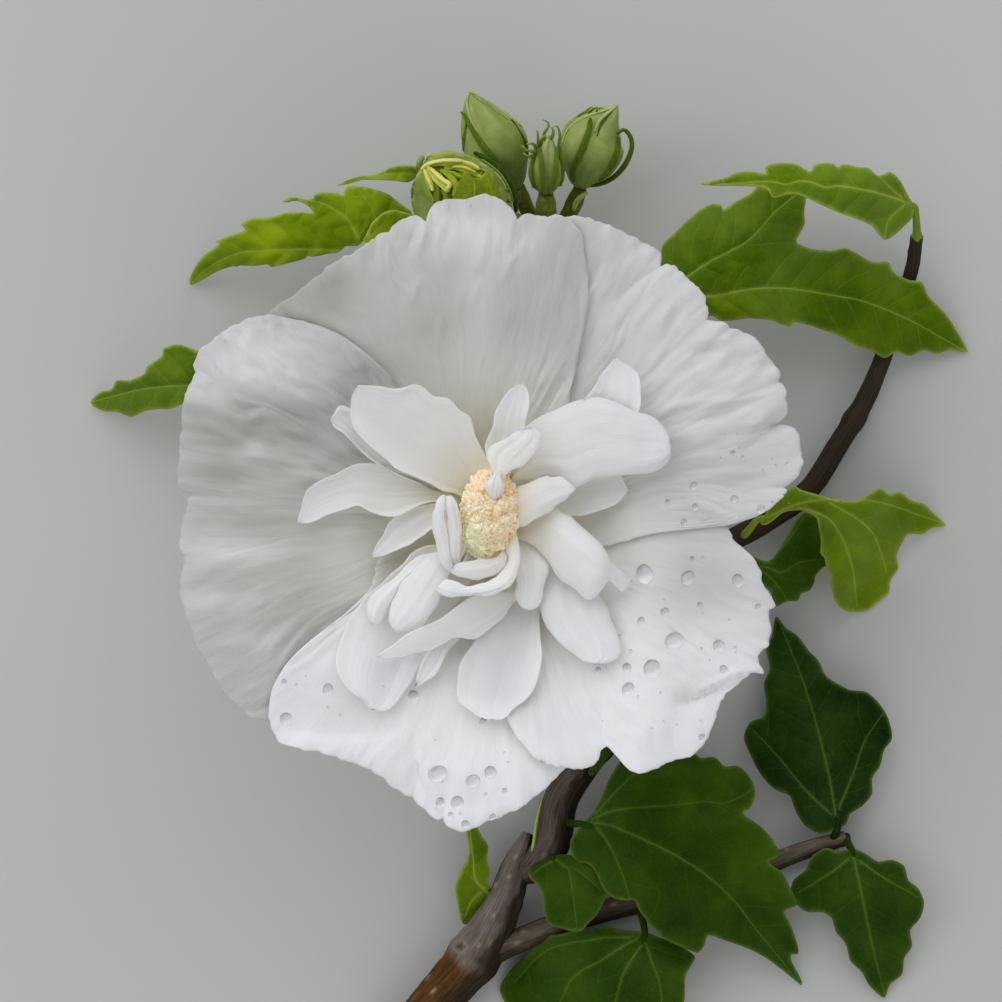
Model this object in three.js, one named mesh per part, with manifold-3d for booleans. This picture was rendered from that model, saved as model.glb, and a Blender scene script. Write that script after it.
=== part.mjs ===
// Cut flowering branch of rose of sharon (Hibiscus syriacus, double white form), lying down.
// Millimetres, +Z up, floor at z = 0. One open bloom, a cluster of buds, zigzag woody
// stem with side shoots, and three-lobed toothed leaves. Every limb, bud, petal and leaf
// is one closed solid with its own name.
import * as THREE from "three";
import { mergeVertices } from "three/addons/utils/BufferGeometryUtils.js";
import Module from "manifold-3d";

const wasm = await Module();
wasm.setup();
const { Manifold, Mesh } = wasm;

// ---------------------------------------------------------------- driving dimensions (mm)
const ORIGIN_SHIFT = [5.1829, -17.6157, 0.167];   // puts the middle of the outline over the origin
const CLEAR = 0.12;                    // clearance cut where two pieces meet
const PETAL_BASE_R = 3.5;              // where the petals leave the calyx
const PETAL_BASE_Z = 26;
const PETAL_RISE = 29.69;              // asymptotic rise of the bowl of the bloom
const PETAL_SPREAD = 18;               // radius over which the bowl flattens
const PETAL_REACH = 55;                // radius taken as the rim
const PETAL_THICK = 0.45;
const PETAL_HALF_ANGLE = 56;           // half the fan of one petal, degrees
const PETAL_PITCH = 72;                // five petals
const LAYER_GAP_BASE = 1.8;            // how far each petal lies above its clockwise neighbour
const LAYER_GAP_RIM = 0.7;
const PETALOID_THICK = 0.5;
const LEAF_THICK = 0.55;
const PETIOLE_R = 0.8;
const CALYX_LOBES = 5;
const CALYX_FOOT_Z = 16.15;
const CALYX_CUP_Z = 26;
const CALYX_LOBE_RISE = 6.4;
const EPICALYX_BRACTS = 7;

// where the bloom's axis stands, x and y
const FLOWER_AXIS = [-2.45, -2.97];
// limbs: [x, y, z, radius] stations from their lower end
const STEMS = {
  main_stem: [[-20.41, -104.31, 4.43, 4.4], [-11.99, -93.45, 4.43, 4.35], [-4.68, -84.78, 4.9, 4.6], [0.37, -75.4, 5.1, 3.5], [2.81, -68.44, 5.4, 2.7], [4.21, -64.51, 5.5, 1.8], [5.05, -62.08, 5.5, 0.9]],
  lower_shoot: [[3.56, -69.67, 4.4, 2.1], [6.35, -68.37, 6.2, 3.0], [9.32, -64.33, 7.4, 3.4], [11.19, -55.77, 7.2, 3.3], [15.3, -49.27, 6.8, 3.1], [19.79, -42.75, 6.6, 3.0], [21.1, -34.17, 6.4, 2.9]],
  upper_shoot: [[21.03, -35.67, 6.4, 2.75], [21.18, -33.43, 6.4, 2.9], [20.73, -25.96, 6.4, 2.85], [19.61, -18.49, 6.4, 2.8], [16.62, -1.68, 6.5, 2.7], [13.44, 15.12, 6.6, 2.5], [11.2, 31.91, 6.8, 2.3], [9.7, 44.02, 7.2, 2.1], [9.13, 49.03, 7.6, 1.9]],
  lower_twig: [[-3.55, -84.34, 5.4, 2.4], [2.06, -82.7, 5.0, 2.3], [11.8, -78.83, 4.5, 2.2], [26.04, -75.11, 4.3, 2.1], [42.9, -71.0, 4.2, 1.9], [56.01, -65.75, 4.2, 1.7], [64.63, -63.13, 4.2, 1.4]],
  right_shoot: [[19.61, -25.96, 6.4, 2.1], [27.86, -16.64, 5.4, 2.15], [37.24, -10.29, 4.9, 2.1], [47.56, -5.06, 4.5, 2.1], [54.12, -0.75, 4.4, 2.05], [55.25, 0.19, 4.4, 1.95]],
  right_shoot_tip: [[53.94, -0.94, 4.4, 2.05], [58.24, 2.81, 4.4, 2.05], [63.11, 10.49, 4.4, 2.0], [68.36, 19.29, 4.4, 1.8], [73.37, 32.01, 4.8, 1.5], [76.57, 43.41, 8.0, 1.3], [77.06, 49.09, 12.0, 1.2]],
  left_twig: [[14.75, 5.79, 6.5, 1.6], [-0.19, 11.78, 5.5, 1.5], [-18.89, 18.89, 5.5, 1.3], [-31.93, 21.85, 6.5, 1.2], [-37.45, 22.36, 8.0, 1.1]],
  flower_stalk: [[16.24, 0.19, 6.5, 1.9], [10.98, -1.3, 8.5, 1.8], [3.53, -2.79, 9.8, 1.7], [-0.93, -3.15, 12.2, 1.8], [-2.3, -3.13, 15.2, 2.2]],
  bud_stalk_1: [[8.21, 48.31, 7.2, 1.4], [3.9, 49.26, 9.5, 1.4], [-0.74, 50.27, 13.5, 1.5], [-2.57, 51.08, 17.6, 1.7]],
  bud_stalk_2: [[8.38, 49.74, 8.0, 1.4], [6.13, 51.86, 9.6, 1.4], [4.26, 55.2, 12.0, 1.5], [3.14, 57.98, 14.2, 1.8]],
  bud_stalk_3: [[9.3, 49.66, 9.2, 1.5], [8.71, 51.12, 12.0, 1.8], [8.27, 53.84, 17.5, 1.9], [8.22, 56.11, 21.2, 1.9]],
  bud_stalk_4: [[10.26, 48.68, 7.2, 1.4], [11.53, 51.53, 9.0, 1.5], [13.35, 54.89, 11.2, 1.6], [14.61, 57.88, 13.2, 1.8]],
};
// central column of stamens: [x, y, z, radius]
const COLUMN = [[-2.55, -3.09, 24.5, 1.5], [-2.5, -3.04, 36.0, 1.7], [-2.48, -2.48, 43.0, 2.2], [-2.63, -2.28, 48.0, 4.2], [-2.78, -3.13, 53.5, 5.0], [-2.94, -4.84, 58.0, 4.2], [-3.09, -6.36, 61.5, 1.6]];
// buds: foot, tip, greatest radius, where along it, how pointed
const BUDS = {
  bud_1: {"base": [-2.75, 51.21, 18.2], "tip": [-10.86, 57.48, 39.0], "r": 9.0, "peak": 0.5, "sharp": 1.0},
  bud_2: {"base": [3.14, 58.11, 14.8], "tip": [-5.84, 74.66, 22.0], "r": 5.9, "peak": 0.4, "sharp": 1.5},
  bud_3: {"base": [8.22, 56.24, 21.8], "tip": [8.71, 66.05, 26.0], "r": 3.3, "peak": 0.42, "sharp": 1.3},
  bud_4: {"base": [14.96, 58.2, 13.8], "tip": [21.27, 72.42, 19.0], "r": 5.8, "peak": 0.44, "sharp": 1.25},
};
// petals: heading of the centre line in degrees, and rim radius by angle from it
const PETALS = {
  petal_top: {"phi": 108, "rim": [[-56, 22.3], [-48, 31.7], [-40, 46.7], [-34, 53.5], [-24, 53.4], [-12, 55.9], [0, 53.7], [12, 52.0], [24, 51.8], [34, 51.3], [40, 47.2], [48, 37.6], [56, 26.2]]},
  petal_right: {"phi": 36, "rim": [[-56, 19.2], [-48, 22.8], [-40, 32.4], [-34, 49.4], [-24, 56.0], [-12, 56.6], [0, 55.2], [12, 54.6], [24, 55.2], [34, 54.1], [40, 50.5], [48, 38.5], [56, 26.2]]},
  petal_lower_right: {"phi": -36, "rim": [[-56, 24.4], [-48, 35.9], [-40, 44.3], [-34, 46.6], [-24, 50.7], [-12, 54.6], [0, 52.2], [12, 53.9], [24, 48.9], [34, 41.7], [40, 38.6], [48, 32.4], [56, 24.4]]},
  petal_lower_left: {"phi": -108, "rim": [[-56, 19.2], [-48, 21.6], [-40, 26.1], [-34, 47.0], [-24, 53.0], [-12, 49.0], [0, 50.1], [12, 54.6], [24, 51.1], [34, 46.4], [40, 43.3], [48, 36.2], [56, 26.2]]},
  petal_left: {"phi": 180, "rim": [[-56, 29.0], [-48, 45.6], [-40, 53.9], [-34, 56.7], [-24, 56.7], [-12, 54.8], [0, 53.0], [12, 54.7], [24, 55.2], [34, 55.0], [40, 53.9], [48, 43.2], [56, 26.2]]},
};
// petaloids, the small inner petals: centre line, width, widest place, tip fullness, cup, twist
const PETALOIDS = {
  upper_left: {"path": [[-4.44, 0.53, 40.5], [-12.06, 10.31, 51.0], [-19.23, 18.88, 56.5]], "w": 19.54, "peak": 0.74, "sq": 2.6, "cup": 1.6, "roll": 8},
  left_long: {"path": [[-6.21, -1.95, 40.5], [-19.73, 1.92, 51.5], [-35.19, -3.48, 53.0]], "w": 8.72, "peak": 0.42, "sq": 1.5, "cup": 1.5, "roll": -6},
  left_small: {"path": [[-6.57, -3.73, 40.5], [-14.6, -5.63, 46.8], [-22.29, -9.65, 48.0]], "w": 6.28, "peak": 0.5, "sq": 1.6, "cup": 1.0, "roll": 0},
  lower_left: {"path": [[-6.21, -6.92, 40.5], [-15.57, -19.42, 50.0], [-23.13, -35.13, 54.0]], "w": 15.0, "peak": 0.62, "sq": 2.1, "cup": 2.2, "roll": 6},
  lower_fold: {"path": [[-1.6, -9.76, 41.0], [-9.24, -22.84, 52.5], [-18.9, -28.96, 56.0]], "w": 9.42, "peak": 0.55, "sq": 2.0, "cup": 1.4, "roll": 28},
  lower: {"path": [[-1.24, -8.35, 40.0], [-0.18, -22.62, 48.8], [-2.09, -37.63, 53.0]], "w": 15.0, "peak": 0.66, "sq": 2.2, "cup": 1.4, "roll": 0},
  lower_right: {"path": [[1.6, -6.93, 40.0], [10.69, -16.65, 49.0], [19.52, -27.72, 52.5]], "w": 10.12, "peak": 0.6, "sq": 1.8, "cup": 1.0, "roll": 0},
  right_low: {"path": [[0.89, -5.13, 42.5], [11.3, -7.65, 54.0], [21.04, -15.13, 54.0]], "w": 11.51, "peak": 0.55, "sq": 1.7, "cup": -1.8, "roll": -12},
  right: {"path": [[0.89, -1.24, 41.0], [15.47, 9.21, 54.5], [29.45, 9.01, 56.5]], "w": 13.26, "peak": 0.66, "sq": 2.3, "cup": -1.4, "roll": 0},
  right_back: {"path": [[0.89, -0.18, 40.0], [13.11, 13.46, 50.5], [21.04, 24.87, 54.0]], "w": 11.86, "peak": 0.66, "sq": 1.7, "cup": 1.0, "roll": 0},
  right_under: {"path": [[0.89, -3.02, 39.5], [12.14, -0.18, 46.5], [22.4, 1.92, 50.0]], "w": 10.47, "peak": 0.7, "sq": 2.2, "cup": 1.0, "roll": 0},
  upper: {"path": [[-1.59, 0.53, 42.5], [0.52, 10.63, 52.5], [3.46, 20.25, 57.0]], "w": 7.68, "peak": 0.68, "sq": 2.0, "cup": 1.4, "roll": 0},
};
// leaves: where the stalk leaves the limb, midrib, half widths of the left (p) and right (n)
// side along it, and the slope of each side
const LEAVES = {
  leaf_upper_left: {"attach": [9.7, 44.21, 7.2], "mid": [[-18.59, 48.4, 16.5], [-26.59, 47.3, 19.0], [-43.92, 46.12, 17.5], [-58.38, 40.65, 1.0]], "p": [[0.1, 0.52], [0.2, 0.52], [0.3, 0.5], [0.4, 1.32], [0.5, 2.07], [0.6, 3.41], [0.7, 2.56], [0.8, 0.9], [0.9, 0.5]], "n": [[0.1, 0.5], [0.2, 0.5], [0.3, 10.47], [0.4, 9.36], [0.5, 8.52], [0.6, 5.83], [0.7, 5.87], [0.8, 4.65], [0.9, 3.54]], "sp": -0.25, "sn": 0.1, "fine": 1},
  leaf_bud: {"attach": [8.56, 50.04, 9.0], "mid": [[-13.47, 59.61, 14.5], [-18.52, 60.14, 19.0], [-24.9, 59.13, 20.0], [-30.21, 58.0, 17.0]], "p": [[0.125, 0.5], [0.25, 1.66], [0.375, 1.51], [0.5, 1.05], [0.625, 0.52], [0.75, 0.5], [0.875, 0.5]], "n": [[0.125, 1.49], [0.25, 1.49], [0.375, 1.26], [0.5, 0.51], [0.625, 0.5], [0.75, 0.55], [0.875, 0.5]], "sp": 0.35, "sn": 0.25},
  leaf_left: {"attach": [-37.08, 22.36, 7.9], "mid": [[-39.97, 22.87, 9.5], [-51.82, 21.58, 15.0], [-64.92, 20.9, 13.0], [-76.97, 18.63, 1.0]], "p": [[0.125, 3.76], [0.25, 6.8], [0.375, 7.1], [0.5, 3.3], [0.625, 4.07], [0.75, 4.44], [0.875, 2.98]], "n": [[0.125, 4.63], [0.25, 8.5], [0.375, 6.86], [0.5, 7.43], [0.625, 4.99], [0.75, 2.2], [0.875, 1.37]], "sp": 0.1, "sn": 0.1},
  leaf_top_right: {"attach": [77.08, 48.73, 11.8], "mid": [[75.5, 53.93, 21.0], [65.12, 56.1, 30.0], [50.25, 57.28, 31.0], [36.13, 57.69, 24.0]], "p": [[0.125, 8.05], [0.25, 6.47], [0.375, 5.55], [0.5, 3.84], [0.625, 2.22], [0.75, 0.96], [0.875, 0.5]], "n": [[0.125, 3.9], [0.25, 3.83], [0.375, 4.48], [0.5, 4.53], [0.625, 4.02], [0.75, 2.02], [0.875, 1.46]], "sp": 0.45, "sn": -0.55},
  leaf_right: {"attach": [11.38, 31.54, 6.8], "mid": [[28.44, 36.57, 14.0], [42.78, 38.39, 21.0], [62.34, 37.7, 17.0], [87.32, 28.04, 1.0]], "p": [[0.1, 11.16], [0.2, 14.34], [0.3, 15.9], [0.4, 17.84], [0.5, 19.53], [0.6, 7.83], [0.7, 7.99], [0.8, 7.2], [0.9, 5.31]], "n": [[0.1, 3.27], [0.2, 4.16], [0.3, 5.41], [0.4, 5.33], [0.5, 6.62], [0.6, 6.6], [0.7, 7.56], [0.8, 7.77], [0.9, 3.74]], "sp": 0.05, "sn": -0.2, "fine": 1},
  leaf_right_mid: {"attach": [45.12, -6.74, 4.6], "mid": [[47.35, -3.51, 13.0], [54.58, 0.0, 22.0], [67.29, 0.55, 19.0], [82.99, -3.95, 1.0]], "p": [[0.125, 0.87], [0.25, 2.04], [0.375, 1.56], [0.5, 0.52], [0.625, 0.52], [0.75, 1.6], [0.875, 1.87]], "n": [[0.125, 1.47], [0.25, 1.33], [0.375, 2.65], [0.5, 21.87], [0.625, 23.37], [0.75, 23.17], [0.875, 5.16]], "sp": -0.25, "sn": -0.5},
  leaf_right_under: {"attach": [38.18, -9.92, 4.9], "mid": [[43.67, -12.13, 6.8], [50.04, -12.09, 9.0], [55.71, -12.11, 8.0], [63.52, -11.06, 4.0]], "p": [[0.125, 1.57], [0.25, 1.1], [0.375, 1.74], [0.5, 5.28], [0.625, 8.36], [0.75, 9.86], [0.875, 8.33]], "n": [[0.125, 2.1], [0.25, 3.42], [0.375, 6.32], [0.5, 6.82], [0.625, 6.52], [0.75, 3.9], [0.875, 0.71]], "sp": 0.0, "sn": -0.1},
  leaf_big: {"attach": [12.11, -59.8, 8.0], "mid": [[15.14, -59.66, 14.0], [27.32, -62.7, 19.0], [41.86, -72.29, 15.0], [56.46, -91.09, 1.0]], "p": [[0.1, 10.67], [0.2, 16.35], [0.3, 17.91], [0.4, 19.34], [0.5, 19.66], [0.6, 13.27], [0.7, 9.43], [0.8, 8.56], [0.9, 3.83]], "n": [[0.1, 8.12], [0.2, 11.4], [0.3, 11.61], [0.4, 11.32], [0.5, 13.26], [0.6, 13.81], [0.7, 12.74], [0.8, 5.16], [0.9, 1.86]], "sp": -0.1, "sn": -0.05, "fine": 1},
  leaf_small: {"attach": [10.25, -63.75, 7.6], "mid": [[9.29, -65.58, 10.0], [10.36, -67.51, 13.0], [12.19, -70.37, 14.0], [14.44, -79.59, 12.5]], "p": [[0.125, 1.45], [0.25, 2.76], [0.375, 3.62], [0.5, 4.48], [0.625, 5.68], [0.75, 6.5], [0.875, 5.03]], "n": [[0.125, 5.31], [0.25, 5.47], [0.375, 5.14], [0.5, 5.18], [0.625, 5.28], [0.75, 5.34], [0.875, 5.5]], "sp": -0.1, "sn": -0.2},
  leaf_bottom: {"attach": [26.04, -75.3, 4.3], "mid": [[26.71, -80.32, 11.0], [24.99, -84.59, 12.5], [21.56, -92.39, 9.5], [17.13, -109.9, 1.0]], "p": [[0.125, 10.2], [0.25, 9.86], [0.375, 10.39], [0.5, 11.65], [0.625, 11.54], [0.75, 9.69], [0.875, 4.65]], "n": [[0.125, 7.95], [0.25, 10.7], [0.375, 13.58], [0.5, 17.26], [0.625, 18.74], [0.75, 21.36], [0.875, 7.39]], "sp": -0.12, "sn": -0.1},
  leaf_stem: {"attach": [0.75, -73.89, 5.2], "mid": [[-2.06, -73.48, 5.5], [-4.66, -70.66, 7.5], [-5.4, -65.95, 8.0], [-6.17, -58.19, 5.0]], "p": [[0.125, 6.73], [0.25, 5.19], [0.375, 3.59], [0.5, 2.29], [0.625, 0.93], [0.75, 0.5], [0.875, 0.62]], "n": [[0.125, 1.3], [0.25, 2.42], [0.375, 2.85], [0.5, 2.98], [0.625, 2.79], [0.75, 2.92], [0.875, 1.49]], "sp": -0.1, "sn": 0.1},
  leaf_shade: {"attach": [62.01, -63.69, 4.2], "mid": [[62.97, -60.72, 6.0], [60.83, -50.42, 9.0], [56.78, -35.19, 8.5], [52.28, -22.67, 4.0]], "p": [[0.125, 7.11], [0.25, 8.05], [0.375, 11.9], [0.5, 13.34], [0.625, 8.69], [0.75, 7.06], [0.875, 4.54]], "n": [[0.125, 6.2], [0.25, 7.88], [0.375, 11.43], [0.5, 13.03], [0.625, 7.46], [0.75, 4.11], [0.875, 2.52]], "sp": -0.05, "sn": -0.1},
  leaf_end: {"attach": [64.44, -63.13, 4.2], "mid": [[65.49, -65.12, 7.0], [66.59, -71.42, 11.0], [68.75, -80.86, 8.0], [72.08, -92.97, 1.0]], "p": [[0.125, 3.78], [0.25, 8.85], [0.375, 9.28], [0.5, 10.91], [0.625, 9.97], [0.75, 7.36], [0.875, 4.77]], "n": [[0.125, 9.62], [0.25, 12.52], [0.375, 12.16], [0.5, 6.41], [0.625, 5.65], [0.75, 4.71], [0.875, 2.76]], "sp": -0.1, "sn": -0.1},
};

// ---------------------------------------------------------------- small helpers
const rad = (d) => (d * Math.PI) / 180;
const clamp = (x, a, b) => Math.min(b, Math.max(a, x));
const smooth = (t) => t * t * (3 - 2 * t);
const V = (a) => new THREE.Vector3(a[0], a[1], a[2]);

function table(knots, t) {
  // smooth-step interpolation through [t, value] knots
  if (t <= knots[0][0]) return knots[0][1];
  for (let i = 1; i < knots.length; i++) {
    if (t <= knots[i][0]) {
      const f = (t - knots[i - 1][0]) / (knots[i][0] - knots[i - 1][0]);
      return knots[i - 1][1] + (knots[i][1] - knots[i - 1][1]) * f;
    }
  }
  return knots[knots.length - 1][1];
}

function solidFrom(positions, triangles) {
  const m = new Manifold(
    new Mesh({
      numProp: 3,
      vertProperties: new Float32Array(positions),
      triVerts: new Uint32Array(triangles),
    })
  );
  return m.volume() < 0 ? solidFromFlipped(positions, triangles) : m;
}
function solidFromFlipped(positions, triangles) {
  const t = [];
  for (let i = 0; i < triangles.length; i += 3) t.push(triangles[i], triangles[i + 2], triangles[i + 1]);
  return new Manifold(
    new Mesh({ numProp: 3, vertProperties: new Float32Array(positions), triVerts: new Uint32Array(t) })
  );
}

// a closed skin through rings of equal count; first and last ring are capped flat
function loft(rings) {
  const n = rings[0].length;
  const pos = [];
  const tri = [];
  for (const ring of rings) for (const p of ring) pos.push(p.x, p.y, p.z);
  for (let i = 0; i + 1 < rings.length; i++)
    for (let j = 0; j < n; j++) {
      const a = i * n + j;
      const b = i * n + ((j + 1) % n);
      const c = (i + 1) * n + j;
      const d = (i + 1) * n + ((j + 1) % n);
      tri.push(a, b, d, a, d, c);
    }
  for (let j = 1; j + 1 < n; j++) {
    tri.push(0, j + 1, j);
    const o = (rings.length - 1) * n;
    tri.push(o, o + j, o + j + 1);
  }
  return solidFrom(pos, tri);
}

// tapered limb through [x, y, z, radius] stations
function limb(stations, sides, steps, extra = 0) {
  const curve = new THREE.CatmullRomCurve3(stations.map(V), false, "centripetal");
  const radii = stations.map((s, i) => [i / (stations.length - 1), s[3]]);
  const rings = [];
  let up = new THREE.Vector3(0, 0, 1);
  for (let i = 0; i <= steps; i++) {
    const t = i / steps;
    const c = curve.getPoint(t);
    const dir = curve.getTangent(t).normalize();
    const side = new THREE.Vector3().crossVectors(dir, up).normalize();
    up = new THREE.Vector3().crossVectors(side, dir).normalize();
    const r = table(radii, t) + extra;
    const ring = [];
    for (let j = 0; j < sides; j++) {
      const a = (2 * Math.PI * (j + 0.5)) / sides;
      ring.push(
        c
          .clone()
          .addScaledVector(side, r * Math.cos(a))
          .addScaledVector(up, r * Math.sin(a))
      );
    }
    rings.push(ring);
  }
  return loft(rings);
}

// thin closed slab around a grid of points: grid[i][j], i along, j across
function slab(grid, thick) {
  const nu = grid.length;
  const nv = grid[0].length;
  const at = (i, j) => grid[clamp(i, 0, nu - 1)][clamp(j, 0, nv - 1)];
  const pos = [];
  const tri = [];
  for (const sgn of [1, -1])
    for (let i = 0; i < nu; i++)
      for (let j = 0; j < nv; j++) {
        const du = new THREE.Vector3().subVectors(at(i + 1, j), at(i - 1, j));
        const dv = new THREE.Vector3().subVectors(at(i, j + 1), at(i, j - 1));
        const nrm = new THREE.Vector3().crossVectors(du, dv).normalize();
        const p = grid[i][j].clone().addScaledVector(nrm, (sgn * thick) / 2);
        pos.push(p.x, p.y, p.z);
      }
  const id = (s, i, j) => s * nu * nv + i * nv + j;
  for (let i = 0; i + 1 < nu; i++)
    for (let j = 0; j + 1 < nv; j++) {
      tri.push(id(0, i, j), id(0, i + 1, j), id(0, i + 1, j + 1));
      tri.push(id(0, i, j), id(0, i + 1, j + 1), id(0, i, j + 1));
      tri.push(id(1, i, j), id(1, i + 1, j + 1), id(1, i + 1, j));
      tri.push(id(1, i, j), id(1, i, j + 1), id(1, i + 1, j + 1));
    }
  const rim = [];
  for (let j = 0; j < nv; j++) rim.push([0, j]);
  for (let i = 1; i < nu; i++) rim.push([i, nv - 1]);
  for (let j = nv - 2; j >= 0; j--) rim.push([nu - 1, j]);
  for (let i = nu - 2; i > 0; i--) rim.push([i, 0]);
  for (let k = 0; k < rim.length; k++) {
    const [i0, j0] = rim[k];
    const [i1, j1] = rim[(k + 1) % rim.length];
    tri.push(id(0, i0, j0), id(0, i1, j1), id(1, i1, j1));
    tri.push(id(0, i0, j0), id(1, i1, j1), id(1, i0, j0));
  }
  return solidFrom(pos, tri);
}

// lathe about the vertical through (cx, cy); radius may depend on the angle
function turned(cx, cy, profile, sides) {
  const rings = profile.map(([z, r]) => {
    const ring = [];
    for (let j = 0; j < sides; j++) {
      const a = (2 * Math.PI * j) / sides;
      const rr = typeof r === "function" ? r(a) : r;
      const zz = typeof z === "function" ? z(a) : z;
      ring.push(new THREE.Vector3(cx + rr * Math.cos(a), cy + rr * Math.sin(a), zz));
    }
    return ring;
  });
  return loft(rings);
}

function biggest(solid) {
  const parts = solid.decompose();
  let best = parts[0];
  for (const p of parts) if (p.volume() > best.volume()) best = p;
  return best;
}

// ---------------------------------------------------------------- the bloom
const [FX, FY] = FLOWER_AXIS;

function bowl(r) {
  return PETAL_BASE_Z + PETAL_RISE * (1 - Math.exp(-(r - PETAL_BASE_R) / PETAL_SPREAD));
}
function rimWave(r, phi) {
  const q = Math.pow(clamp(r / PETAL_REACH, 0, 1.1), 3);
  return q * (0.7 * Math.sin(5 * phi + 0.6) + 0.5 * Math.sin(9 * phi + 2.1));
}
function petalPoint(phi0, a, r) {
  const phi = rad(phi0 + a);
  const gap = LAYER_GAP_BASE + LAYER_GAP_RIM * (r / PETAL_REACH);
  const z = bowl(r) - (gap * a) / PETAL_PITCH + rimWave(r, phi);
  return new THREE.Vector3(FX + r * Math.cos(phi), FY + r * Math.sin(phi), z);
}
function petal(spec, extra = 0) {
  const across = 10;
  const along = 5;
  const grid = [];
  for (let i = 0; i <= along; i++) {
    const row = [];
    for (let j = 0; j <= across; j++) {
      const a = -PETAL_HALF_ANGLE + (2 * PETAL_HALF_ANGLE * j) / across;
      const R = table(spec.rim, a);
      const r = PETAL_BASE_R + (R - PETAL_BASE_R) * Math.pow(i / along, 1.2);
      row.push(petalPoint(spec.phi, a, r));
    }
    grid.push(row);
  }
  return slab(grid, PETAL_THICK + 2 * extra);
}

function bladeGrid(path, widthAt, cup, roll, along, across) {
  const curve = new THREE.CatmullRomCurve3(path.map(V), false, "centripetal");
  const grid = [];
  for (let i = 0; i <= along; i++) {
    const t = i / along;
    const c = curve.getPoint(t);
    const dir = curve.getTangent(t).normalize();
    const flat = new THREE.Vector3(-dir.y, dir.x, 0).normalize();
    const up = new THREE.Vector3().crossVectors(dir, flat).normalize();
    const turn = rad(roll) * smooth(t);
    const side = flat.clone().multiplyScalar(Math.cos(turn)).addScaledVector(up, Math.sin(turn));
    const over = new THREE.Vector3().crossVectors(dir, side).normalize();
    const row = [];
    for (let j = 0; j <= across; j++) {
      const s = (2 * j) / across - 1;
      const w = widthAt(t);
      row.push(
        c
          .clone()
          .addScaledVector(side, s * w)
          .addScaledVector(over, cup * (s * s - 0.5) * clamp(w / 5, 0, 1))
      );
    }
    grid.push(row);
  }
  return grid;
}
function obovate(w, peak, sq) {
  return (t) => {
    const a = t < peak ? t / peak : 1 - Math.pow((t - peak) / (1 - peak), sq);
    const f = t < peak ? 0.28 + 0.72 * Math.pow(Math.sin((Math.PI / 2) * a), 1.2) : Math.sqrt(Math.max(a, 0));
    return Math.max(0.3, (w / 2) * f);
  };
}
function petaloid(p, extra = 0) {
  return slab(
    bladeGrid(p.path, (t) => obovate(p.w, p.peak, p.sq)(t) + extra, p.cup, p.roll, 6, 2),
    PETALOID_THICK + 2 * extra
  );
}
function stamenTube() {
  const outer = turned(FX, FY, [[30, 3.0], [37, 3.3], [40, 5.4], [41.8, 5.6]], 12);
  const bore = turned(FX, FY, [[29, 2.15], [43, 2.15]], 12);
  return outer.subtract(bore);
}
function stamenColumn(extra = 0) {
  return limb(COLUMN, 9, 9, extra);
}

function calyx() {
  const sides = 15;
  const lobe = (a) => Math.pow(Math.abs(Math.cos((CALYX_LOBES * a) / 2)), 1.5);
  const outer = turned(
    FX, FY,
    [
      [CALYX_FOOT_Z, 3.6],
      [CALYX_FOOT_Z + 2.6, 5.0],
      [CALYX_CUP_Z - 3.5, 7.0],
      [(a) => CALYX_CUP_Z - 0.6 + 0.4 * lobe(a), 8.1],
      [(a) => CALYX_CUP_Z + 0.8 + 2.4 * lobe(a), (a) => 8.4 + 1.0 * lobe(a)],
      [(a) => CALYX_CUP_Z + 1.4 + (CALYX_LOBE_RISE - 1.4) * lobe(a), (a) => 8.5 + 2.6 * lobe(a)],
    ],
    sides
  );
  const inner = turned(
    FX, FY,
    [
      [CALYX_CUP_Z - 1.8, 4.6],
      [(a) => CALYX_CUP_Z - 0.6 + 0.4 * lobe(a), 7.3],
      [(a) => CALYX_CUP_Z + 0.8 + 2.4 * lobe(a), (a) => 7.6 + 1.0 * lobe(a)],
      [CALYX_CUP_Z + CALYX_LOBE_RISE + 2, (a) => 8.6 + 2.2 * lobe(a)],
    ],
    sides
  );
  return outer.subtract(inner);
}
function epicalyx() {
  const ringZ = CALYX_FOOT_Z + 1.1;
  let all = turned(FX, FY, [[ringZ - 0.55, 5.3], [ringZ, 6.0], [ringZ + 0.6, 5.9]], 10).subtract(
    turned(FX, FY, [[ringZ - 2, 4.75], [ringZ + 2, 4.75]], 10)
  );
  for (let k = 0; k < EPICALYX_BRACTS; k++) {
    const a = rad(20 + (360 / EPICALYX_BRACTS) * k);
    const at = (r, z) => [FX + r * Math.cos(a), FY + r * Math.sin(a), z];
    const g = bladeGrid(
      [at(5.3, ringZ + 0.05), at(8.6, ringZ + 1.2), at(13.2, ringZ + 6.5 + (k % 3))],
      (t) => 0.95 * (1 - 0.75 * t * t), 0.2, 0, 3, 1
    );
    all = all.add(slab(g, 0.55));
  }
  return all;
}

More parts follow.
